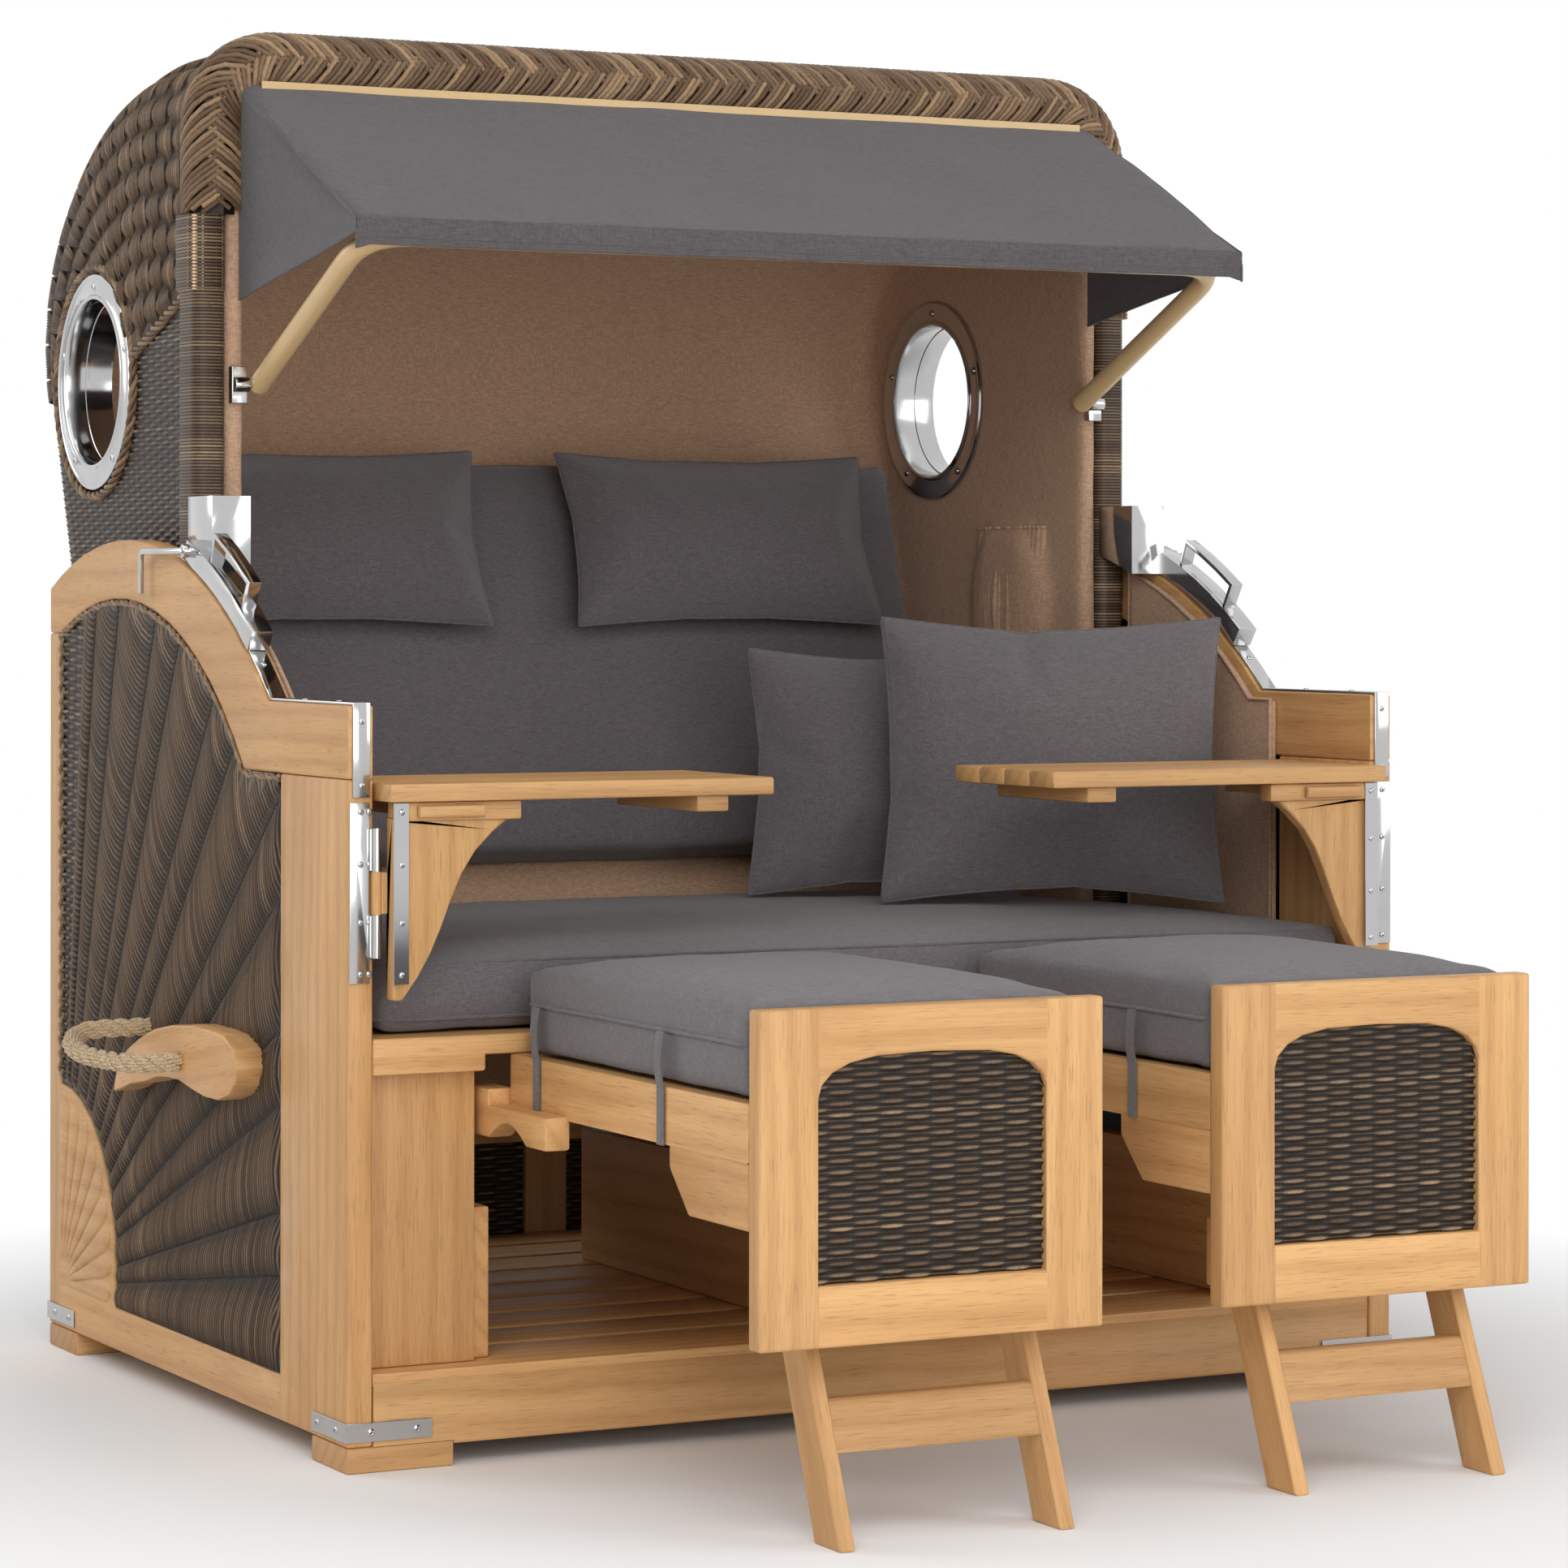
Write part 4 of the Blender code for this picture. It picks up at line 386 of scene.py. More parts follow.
def cloth_finish(colour, wave):
    def build(tree, shader, place):
        weave = group_node(tree, "thread_weave", {"Vector": place, "Pitch": sizes().cloth.thread})
        marks = group_node(tree, "handled_marks", {"Vector": place, "Scale": 5.0})
        light = tuple(min(1.0, part * 1.22 + 0.004) for part in colour)
        dark = tuple(part * 0.80 for part in colour)
        threads = tree.remap(weave.outputs["Shade"], 0.38, 0.62)
        tone = tree.mix(threads, (*dark, 1), (*light, 1))
        soft = tree.mix(tree.math("MULTIPLY", marks.outputs["Mark"], 0.10), tone, (*dark, 1))
        tree.put(shader.inputs["Base Color"], soft)
        tree.put(shader.inputs["Roughness"], tree.remap(weave.outputs["Height"], 0.0, 1.0, 0.95, 0.82))
        fold = tree.math("MULTIPLY", tree.noise(place, wave, 3.0, 0.5), 4.0)
        bump(tree, shader, tree.math("ADD", weave.outputs["Height"], fold), 0.0006, 0.55)
    return build


def steel_finish(rough_low, rough_high, brushed):
    def build(tree, shader, place):
        marks = group_node(tree, "handled_marks", {"Vector": place, "Scale": 14.0})
        line = tree.noise(tree.vector("MULTIPLY", place, (1.0, 1.0, 14.0)), 160.0, 2.0)
        rough = tree.remap(marks.outputs["Mark"], 0.0, 1.0, rough_low, rough_high)
        tree.put(shader.inputs["Roughness"], rough)
        tree.put(shader.inputs["Base Color"], tree.mix(tree.math("MULTIPLY", marks.outputs["Mark"], 0.25),
                                                       (0.52, 0.52, 0.52, 1), (0.30, 0.30, 0.31, 1)))
        bump(tree, shader, line, 0.00006, brushed)
    return build


def rope_finish(tree, shader, place):
    fibre = tree.noise(tree.vector("MULTIPLY", place, (1.0, 0.35, 1.0)), 520.0, 3.0, 0.5)
    tree.put(shader.inputs["Base Color"], tree.mix(tree.remap(fibre, 0.3, 0.7), (0.34, 0.22, 0.11, 1),
                                                   (0.74, 0.59, 0.38, 1)))
    bump(tree, shader, fibre, 0.0008, 0.8)


def tube_finish(tree, shader, place):
    marks = group_node(tree, "handled_marks", {"Vector": place, "Scale": 10.0})
    tree.put(shader.inputs["Base Color"], tree.mix(tree.math("MULTIPLY", marks.outputs["Mark"], 0.35),
                                                   (0.66, 0.46, 0.23, 1), (0.52, 0.34, 0.16, 1)))
    tree.put(shader.inputs["Roughness"], tree.remap(marks.outputs["Fine"], 0.3, 0.7, 0.28, 0.42))
    bump(tree, shader, marks.outputs["Fine"], 0.0002, 0.3)


def make_materials():
    cloth = sizes().cloth
    finish_material("oiled_wood", "teak", wood_finish, Coat_Weight=0.06, Coat_Roughness=0.35,
                    Specular_IOR_Level=0.4)
    finish_material("plaited_wicker", "wicker", wicker_finish, Coat_Weight=0.04, Coat_Roughness=0.35,
                    Specular_IOR_Level=0.22)
    finish_material("cushion_cloth", "grey_fabric", cloth_finish(tuple(cloth.grey), 26.0), Sheen_Weight=0.25,
                    Sheen_Roughness=0.5)
    # awning_cloth uses the darker awning grey, which holds painted shade.
    finish_material("awning_cloth", "grey_fabric", cloth_finish(tuple(cloth.awning), 18.0), Sheen_Weight=0.15,
                    Sheen_Roughness=0.5)
    # lining_cloth uses the raised lining colour, which holds painted light.
    finish_material("lining_cloth", "sand_lining", cloth_finish(tuple(cloth.lining), 12.0), Sheen_Weight=0.15,
                    Sheen_Roughness=0.5)
    finish_material("polished_steel", "steel", steel_finish(0.08, 0.20, 0.15), Metallic=1.0)
    finish_material("brushed_steel", "steel", steel_finish(0.22, 0.34, 0.6), Metallic=1.0)
    finish_material("laid_rope", "rope", rope_finish, Roughness=0.9, Sheen_Weight=0.3)
    finish_material("painted_tube", "painted_tube", tube_finish)


# Pieces
def piece(name, mesh, finish, body, stands_for=(), smooth=None):
    """A finished piece at the origin, riding on its body, with its material."""
    made = bpy.data.objects.new(name, mesh)
    bpy.context.scene.collection.objects.link(made)
    material, slot = MATERIALS[finish]
    made.data.materials.clear()
    made.data.materials.append(material)
    if smooth is not None:
        made.data.shade_smooth()
        made.data.set_sharp_from_angle(angle=math.radians(smooth))
    OBJECTS[name] = made
    if body:
        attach(made, body)
    if stands_for:
        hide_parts(*stands_for)
    return made


def mesh_from(bm, name):
    mesh = bpy.data.meshes.new(name)
    bm.to_mesh(mesh)
    bm.free()
    return mesh


def evaluated(made):
    """The object's mesh with its modifiers applied, as a plain mesh; the object is removed."""
    bpy.context.view_layer.update()
    graph = bpy.context.evaluated_depsgraph_get()
    mesh = bpy.data.meshes.new_from_object(made.evaluated_get(graph), preserve_all_data_layers=True,
                                           depsgraph=graph)
    bpy.data.objects.remove(made, do_unlink=True)
    return mesh


def welded(node):
    """A merged copy of a frame node's loose triangles, with its flat faces joined."""
    bm = bmesh.new()
    bm.from_mesh(CAD[node].data)
    bmesh.ops.remove_doubles(bm, verts=bm.verts, dist=0.00002)
    bmesh.ops.dissolve_limit(bm, angle_limit=math.radians(1.0), verts=bm.verts, edges=bm.edges)
    return bm


def loft(bm, rings):
    """Faces from each ring of points to the next."""
    for here, there in zip(rings, rings[1:]):
        for corner in range(len(here)):
            follow = (corner + 1) % len(here)
            bm.faces.new((here[corner], here[follow], there[follow], there[corner]))


def quads(grid):
    """The corners of each square of a grid, across and then up."""
    for here, there in zip(grid, grid[1:]):
        for column in range(len(here) - 1):
            yield here[column], here[column + 1], there[column + 1], there[column]


def thickened(bm, name, thickness):
    """A cloth's middle sheet, as a mesh with two sides and an edge."""
    made = linked(name + "_form", mesh_from(bm, name))
    wall = made.modifiers.new("cloth", "SOLIDIFY")
    wall.thickness = thickness
    wall.offset = 0.0
    return evaluated(made)


def points_of(mesh):
    """A mesh's points as rows of x, y and z."""
    points = np.empty(len(mesh.vertices) * 3, dtype=np.float32)
    mesh.vertices.foreach_get("co", points)
    return points.reshape(-1, 3)


# Wood
def grain_layers(bm):
    """The face layers that hold each board's grain and number."""
    return bm.faces.layers.float_vector.new("grain_axis"), bm.faces.layers.float.new("board")


def grain_axes(bm):
    """For each face, the direction of its longest edge, or that of the larger face it adjoins most."""
    axes, boards = {}, {}
    for face in bm.faces:
        longest = max(face.edges, key=lambda edge: edge.calc_length())
        axes[face] = (longest.verts[1].co - longest.verts[0].co).normalized()
    chosen = {}
    for face in bm.faces:
        longest = max(face.edges, key=lambda edge: edge.calc_length())
        others = [other for other in longest.link_faces if other is not face]
        source = face
        if others and others[0].calc_area() > face.calc_area() * 1.3:
            source = others[0]
        axis = axes[source]
        chosen[face] = axis if axis.dot(Vector((0.31, 0.52, 0.79))) > 0 else -axis
        flat = face.calc_center_median() - axis * face.calc_center_median().dot(axis)
        boards[face] = (abs(flat.x) * 7.3 + flat.y * 3.1 + flat.z * 5.9) % 1.0
    return chosen, boards


def round_edges(bm, radius):
    """Rounds the outer edges that have room for it, and leaves shadow gaps sharp."""
    edges = []
    for edge in bm.edges:
        if len(edge.link_faces) != 2 or not edge.is_convex or edge.calc_length() < radius * 4:
            continue
        if edge.calc_face_angle(0.0) < math.radians(30):
            continue
        if min(face.calc_area() for face in edge.link_faces) / edge.calc_length() > radius * 1.8:
            edges.append(edge)
    if edges:
        bmesh.ops.bevel(bm, geom=edges, offset=radius, segments=2, profile=0.5, affect="EDGES",
                        clamp_overlap=False)


FRAME_POST_FRONT = -0.101
FRAME_POST_REAR = 0.657
FRAME_RAIL_TOP = 0.0803
PANEL_MIDDLE = 0.2844
PANEL_STILE = 0.1315
PANEL_WAIST = 0.370


def board_rule(node):
    """Where a node's boards meet, and the grain of the board that a place lies in."""
    upright, level, lengthways = Vector((0, 0, 1)), Vector((1, 0, 0)), Vector((0, 1, 0))
    if node.startswith("side_frame"):
        joints = [((0, FRAME_POST_FRONT, 0), lengthways), ((0, FRAME_POST_REAR, 0), lengthways),
                  ((0, 0, FRAME_RAIL_TOP), upright)]

        def side_board(place):
            if place.y < FRAME_POST_FRONT:
                return upright, 0.55
            if place.y > FRAME_POST_REAR:
                return upright, 0.35
            return lengthways, 0.75 if place.z < FRAME_RAIL_TOP else 0.45

        return joints, side_board
    if node.startswith("footrest_panel"):
        middle = PANEL_MIDDLE if node.endswith("right") else -PANEL_MIDDLE
        joints = [((middle + edge * PANEL_STILE, 0, 0), level) for edge in (-1, 1)]

        def panel_board(place):
            if abs(place.x - middle) > PANEL_STILE:
                return upright, 0.40 if place.x < middle else 0.65
            return level, 0.80 if place.z < PANEL_WAIST else 0.52

        return joints, panel_board
    return [], None


def split_boards(bm, joints, rule, axis_layer, board_layer):
    """Cuts the finished faces where boards meet, so that each board has its own grain."""
    bmesh.ops.triangulate(bm, faces=bm.faces)
    for place, way in joints:
        bmesh.ops.bisect_plane(bm, geom=bm.verts[:] + bm.edges[:] + bm.faces[:], plane_co=place, plane_no=way)
    for face in bm.faces:
        face[axis_layer], face[board_layer] = rule(face.calc_center_median())


def dress_wooden_node(node):
    bm = welded(node)
    axis_layer, board_layer = grain_layers(bm)
    axes, boards = grain_axes(bm)
    for face in bm.faces:
        face[axis_layer] = axes[face]
        face[board_layer] = boards[face]
    round_edges(bm, sizes().wood.edge)
    joints, rule = board_rule(node)
    if joints:
        split_boards(bm, joints, rule, axis_layer, board_layer)
    piece("wood_" + node, mesh_from(bm, node), "oiled_wood", BODY_OF[node], (node,), smooth=28)


CARVED_PETALS = 9
CARVED_TURNS = (4.0, 86.0)
CARVED_START = 0.034
CARVED_MARGIN = 0.012
CARVED_HEIGHT = 0.0034
CARVED_FACE = 0.6799
CARVED_BOARD = 0.45


def block_reach(turn):
    """How far a ray from the fan's lower rear corner runs before it leaves the carved block."""
    return FAN_STUB * math.sin(turn) + math.sqrt(FAN_BLOCK ** 2 - (FAN_STUB * math.cos(turn)) ** 2)


def petal_rings(sign, turn, half_angle):
    """Half-round sections of one petal, from its root near the corner to its rounded end."""
    way = Vector((0.0, -math.cos(turn), math.sin(turn)))
    across = Vector((0.0, math.sin(turn), math.cos(turn)))
    root = Vector((sign * CARVED_FACE, FAN_Y, FAN_Z + 0.004))
    end = block_reach(turn) - CARVED_MARGIN
    rings = []
    for share in np.linspace(0.0, 1.0, 15):
        reach = CARVED_START + (end - CARVED_START) * share
        tip = math.sqrt(max(0.0, 1 - max(0.0, (share - 0.82) / 0.18) ** 2)) + 0.02
        width = reach * math.tan(half_angle) * 0.92 * tip
        rise = CARVED_HEIGHT * min(1.0, share * 4 + 0.1) * tip
        middle, proud = root + way * reach, Vector((sign * rise, 0, 0))
        rings.append([middle + across * width * math.cos(angle) + proud * math.sin(angle)
                      for angle in np.linspace(0.0, math.pi, 9)])
    return rings


def carved_fan(side, sign):
    """Petals carved on the quarter block, spreading from its lower rear corner."""
    bm = bmesh.new()
    axis_layer, board_layer = grain_layers(bm)
    first, last = (math.radians(turn) for turn in CARVED_TURNS)
    step = (last - first) / (CARVED_PETALS - 1)
    for index in range(CARVED_PETALS):
        petal = petal_rings(sign, first + step * index, step / 2)
        rings = [[bm.verts.new(place) for place in ring] for ring in petal]
        loft(bm, rings)
        bm.faces.new(rings[0][::-1])
        bm.faces.new(rings[-1])
    bmesh.ops.recalc_face_normals(bm, faces=bm.faces)
    for face in bm.faces:
        face[axis_layer] = Vector((0, 1, 0))
        face[board_layer] = CARVED_BOARD
    piece("carved_fan_" + side, mesh_from(bm, "carved_fan"), "oiled_wood", "base", smooth=50)


class DressWood(bpy.types.Operator):
    """Rounds the boards' edges and gives each board its own grain"""
    bl_idname = "beach_chair.dress_wood"
    bl_label = "Wooden boards"

    def execute(self, context):
        for node, slot in SLOT_OF.items():
            if slot == "teak" and not node.startswith("hood_post"):
                dress_wooden_node(node)
        for side, sign in SIDES:
            carved_fan(side, sign)
        return {"FINISHED"}


# Woven sheets
def named(tree, name, kind="FLOAT"):
    node = tree.add("GeometryNodeInputNamedAttribute", {"Name": name}, data_type=kind)
    return node.outputs[0]


def store(tree, geometry, name, value, domain="POINT"):
    return tree.add("GeometryNodeStoreNamedAttribute", {"Geometry": geometry, "Name": name, "Value": value},
                    data_type="FLOAT", domain=domain)


def random_value(tree, number, seed):
    return tree.add("FunctionNodeRandomValue", {"ID": number, "Seed": seed}, data_type="FLOAT").outputs[1]


def geometry_group(name, inputs):
    group = bpy.data.node_groups.new(name, "GeometryNodeTree")
    socket(group, "Geometry", "Geometry")
    for label, kind, default in inputs:
        socket(group, label, kind, default=default)
    socket(group, "Geometry", "Geometry", output=True)
    tree = Tree(group)
    return tree, tree.add("NodeGroupInput").outputs, tree.add("NodeGroupOutput")


def close_geometry(tree, geometry, given, out):
    real = tree.add("GeometryNodeRealizeInstances", {0: geometry})
    coloured = tree.add("GeometryNodeSetMaterial", {"Geometry": real, "Material": given["Material"]})
    tree.put(out.inputs[0], coloured)
    return tree.tree


def woven_group():
    """Raises a fine sheet into round strands that pass over and under its stakes in bundles, and stores
    painted shade for the gaps between strands and for the crossings.
    """
    tree, given, out = geometry_group("woven_strands", (
        ("Bundle", "Float", 1.0), ("Over", "Float", 0.004), ("Under", "Float", 0.002),
        ("Round", "Float", 0.0014), ("Spread", "Float", 0.0), ("Shade", "Float", 0.0), ("Seed", "Int", 1),
        ("Material", "Material", None)))
    lay = named(tree, "lay")
    strand = tree.math("FLOOR", tree.math("ADD", lay, 0.001))
    bundle = tree.math("FLOOR", tree.math("DIVIDE", tree.math("ADD", strand, 0.01), given["Bundle"]))
    step = tree.math("ADD", named(tree, "stake"), bundle)
    wave = tree.math("COSINE", tree.math("MULTIPLY", step, math.pi))
    crest_and_gap_shade = tree.math("PINGPONG", tree.math("MULTIPLY", lay, 2.0), 1.0)
    over = tree.math("MULTIPLY", tree.math("POWER", tree.math("MAXIMUM", wave, 0.0), 0.7), given["Over"])
    dip = tree.math("MAXIMUM", tree.math("MULTIPLY", wave, -1.0), 0.0)
    under = tree.math("MULTIPLY", tree.math("POWER", dip, 0.7), given["Under"])
    relief = tree.math("SUBTRACT", over, under)
    relief = tree.math("ADD", relief, tree.math("MULTIPLY", crest_and_gap_shade, given["Round"]))
    height = tree.math("MULTIPLY", relief, named(tree, "lift"))
    turns = tree.math("DIVIDE", tree.math("ADD", lay, 0.01), given["Bundle"])
    share = tree.math("SUBTRACT", tree.math("FRACT", turns), 0.5)
    slide = tree.math("MULTIPLY", tree.math("MULTIPLY", share, wave), given["Spread"])
    rise = tree.vector("SCALE", tree.add("GeometryNodeInputNormal"), scale=height)
    move = tree.vector("ADD", rise, tree.vector("SCALE", named(tree, "down", "FLOAT_VECTOR"), scale=slide))
    moved = tree.add("GeometryNodeSetPosition", {"Geometry": given["Geometry"], "Offset": move})
    # Painted shade on the crossings: a strand is dimmed where it meets a stake sideways, and dimmed further
    # by the Shade input where it dips under.
    painted_crossing_light = tree.math("ADD", 0.45, tree.math("MULTIPLY", tree.math("ABSOLUTE", wave), 0.55))
    painted_crossing_light = tree.math("SUBTRACT", painted_crossing_light, tree.math("MULTIPLY", dip, given["Shade"]))
    # The stored crest value is painted shade: near zero in the valleys between strands, and lower still at
    # dimmed crossings.
    lit = store(tree, moved, "crest_and_gap_shade", tree.math("MULTIPLY", tree.math("POWER", crest_and_gap_shade, 0.6), painted_crossing_light))
    four = tree.math("FLOOR", tree.math("DIVIDE", strand, 4.0))
    shared = tree.math("MULTIPLY", random_value(tree, four, given["Seed"]), 0.55)
    colour = tree.math("ADD", shared, tree.math("MULTIPLY", random_value(tree, strand, 7), 0.45))
    toned = store(tree, lit, "strand", colour, "FACE")
    smooth = tree.add("GeometryNodeSetShadeSmooth", {"Geometry": toned})
    return close_geometry(tree, smooth, given, out)


def round_group():
    """Sweeps a round section along every curve, each curve with a shade of its own."""
    tree, given, out = geometry_group("round_strands", (
        ("Radius", "Float", 0.002), ("Sides", "Int", 6), ("Seed", "Int", 1), ("Material", "Material", None)))
    shade = store(tree, given["Geometry"], "strand", random_value(tree, tree.add("GeometryNodeInputIndex"),
                                                                  given["Seed"]), "CURVE")
    section = tree.add("GeometryNodeCurvePrimitiveCircle",
                       {"Resolution": given["Sides"], "Radius": given["Radius"]})
    swept = tree.add("GeometryNodeCurveToMesh", {"Curve": shade, "Profile Curve": section, "Fill Caps": True})
    # Round strands get no painted gap shade: their crest value is fixed high.
    lit = store(tree, swept, "crest_and_gap_shade", 0.8)
    smooth = tree.add("GeometryNodeSetShadeSmooth", {"Geometry": lit})
    return close_geometry(tree, smooth, given, out)


def grown(made, group_name, build, finish, **inputs):
    """Applies a Geometry Nodes group to an object and returns the plain mesh that it makes."""
    group = bpy.data.node_groups.get(group_name) or build()
    modifier = made.modifiers.new("grown", "NODES")
    modifier.node_group = group
    inputs["Material"] = MATERIALS[finish][0]
    for item in group.interface.items_tree:
        if item.in_out == "INPUT" and item.name in inputs:
            modifier[item.identifier] = inputs[item.name]
    bpy.context.scene.collection.objects.link(made)
    return evaluated(made)


# shade sets how much painted shade dims the crossings where strands dip under.
def woven(name, places, stake, body, lift=None, keep=None, flip=False, bundle=1.0, over=0.004, under=0.002,
          height=0.0014, spread=0.0, shade=0.0, seed=1):
    """A woven sheet over a grid of places: two rows make a strand, and stakes stand at whole numbers."""
    rows, columns = stake.shape
    number = np.arange(rows * columns).reshape(rows, columns)
    corners = np.stack((number[:-1, :-1], number[:-1, 1:], number[1:, 1:], number[1:, :-1]), axis=-1)
    if flip:
        corners = corners[..., ::-1]
    if keep is not None:
        inside = keep[:-1, :-1] | keep[:-1, 1:] | keep[1:, 1:] | keep[1:, :-1]
        corners = corners[inside]
    corners = corners.reshape(-1, 4)
    used, back = np.unique(corners, return_inverse=True)
    flat = places.reshape(-1, 3)[used]
    mesh = bpy.data.meshes.new(name)
    mesh.from_pydata(flat, [], back.reshape(-1, 4))
    down = np.gradient(places, axis=0)
    down /= np.linalg.norm(down, axis=2, keepdims=True) + 1e-9
    lifted = np.ones_like(stake) if lift is None else lift
    lay = np.repeat((np.arange(rows) / 2.0)[:, None], columns, 1)
    for label, values in (("lay", lay), ("stake", stake), ("lift", lifted)):
        layer = mesh.attributes.new(label, "FLOAT", "POINT")
        layer.data.foreach_set("value", values.ravel()[used].astype(np.float32))
    layer = mesh.attributes.new("down", "FLOAT_VECTOR", "POINT")
    layer.data.foreach_set("vector", down.reshape(-1, 3)[used].astype(np.float32).ravel())
    made = bpy.data.objects.new(name, mesh)
    mesh = grown(made, "woven_strands", woven_group, "plaited_wicker", Bundle=float(bundle), Over=over,
                 Under=under, Round=height, Spread=spread, Shade=shade, Seed=seed)
    return piece(name, mesh, "plaited_wicker", body)


def round_strands(name, paths, radius, finish, body, sides=6, seed=1, stands_for=(), closed=False):
    """Round strands, cords or seams, one along each path."""
    curve = bpy.data.curves.new(name, "CURVE")
    curve.dimensions = "3D"
    for path in paths:
        spline = curve.splines.new("POLY")
        spline.points.add(len(path) - 1)
        for point, place in zip(spline.points, path):
            point.co = (*place, 1.0)
        spline.use_cyclic_u = closed
    made = bpy.data.objects.new(name, curve)
    mesh = grown(made, "round_strands", round_group, finish, Radius=radius, Sides=sides, Seed=seed)
    return piece(name, mesh, finish, body, stands_for)


def smooth_path(points, steps):
    """A Catmull-Rom curve through the points."""
    places = [Vector(point) for point in points]
    padded = [places[0] * 2 - places[1]] + places + [places[-1] * 2 - places[-2]]
    path = []
    for a, b, c, d in zip(padded, padded[1:], padded[2:], padded[3:]):
        for index in range(steps):
            t = index / steps
            path.append(0.5 * (2 * b + (c - a) * t + (2 * a - 5 * b + 4 * c - d) * t ** 2
                               + (3 * b - a - 3 * c + d) * t ** 3))
    return path + [places[-1]]


def frames_along(path, up=Vector((0, 0, 1))):
    """Each point of a path with its direction and two square axes that turn as little as they can."""
    places = [Vector(point) for point in path]
    side = None
    found = []
    for index, place in enumerate(places):
        ahead = places[min(index + 1, len(places) - 1)] - places[max(index - 1, 0)]
        ahead.normalize()
        side = up.cross(ahead) if side is None else side - ahead * side.dot(ahead)
        if side.length < 1e-4:
            side = ahead.orthogonal()
        side = side.normalized()
        found.append((place, ahead, side, ahead.cross(side)))
    return found


def lengths_along(frames):
    """How far along its path each frame lies."""
    travelled = [0.0]
    for before, after in zip(frames, frames[1:]):
        travelled.append(travelled[-1] + (after[0] - before[0]).length)
    return travelled


def laid(path, strands, offset, lay_length):
    """Paths of strands that twist round a middle line."""
    frames = frames_along(path)
    travelled = lengths_along(frames)
    paths = []
    for index in range(strands):
        turn = 2 * math.pi * index / strands
        line = []
        for (place, _, side, other), way in zip(frames, travelled):
            angle = turn + 2 * math.pi * way / lay_length
            line.append(place + (side * math.cos(angle) + other * math.sin(angle)) * offset)
        paths.append(line)
    return paths


# Hood
def hood_line(turns, inset):
    """Points of the hood's side view at given angles round its arc, drawn in by an inset."""
    y = HOOD_ARC_Y + (HOOD_ARC_WIDE - inset) * np.cos(turns)
    z = HOOD_ARC_Z + (HOOD_ARC_TALL - inset) * np.sin(turns)
    return y, z


def hood_back(z, inset):
    """How far back the hood reaches at a height, drawn in by an inset."""
    slide = inset / math.cos(HOOD_LEAN)
    straight = HOOD_FOOT_Y - slide + (z - HOOD_FOOT_Z) * math.tan(HOOD_LEAN)
    tall = HOOD_ARC_TALL - inset
    share = np.sqrt(np.maximum(1 - ((z - HOOD_ARC_Z) / tall) ** 2, 0.0))
    round_part = HOOD_ARC_Y + (HOOD_ARC_WIDE - inset) * share
    low = HOOD_ARC_Z - tall * math.sin(math.radians(HOOD_ARC_END))
    return np.where(z < low, straight, round_part)


def scale_edge():
    """The lower edge of the scales on a cheek: slanting down to the porthole and round its top."""
    turn = math.radians(SCALE_PORTHOLE_TURN)
    return (PORTHOLE_Y + PORTHOLE_RIM * math.cos(turn), PORTHOLE_Z + PORTHOLE_RIM * math.sin(turn))


def in_scales(y, z, margin):
    """Where a cheek is covered by the scales, past a margin inside their edge."""
    meet_y, meet_z = scale_edge()
    share = (y - HOOD_WEAVE_FRONT) / (meet_y - HOOD_WEAVE_FRONT)
    line = SCALE_LOW_FRONT + (meet_z - SCALE_LOW_FRONT) * share
    front = (y < meet_y) & (z > line + margin)
    turn = np.degrees(np.arctan2(z - PORTHOLE_Z, y - PORTHOLE_Y))
    slack = np.degrees(margin / 0.2)
    behind = (y >= meet_y) & (turn > SCALE_END_TURN + slack) & (turn <= 175.0)
    return front | behind


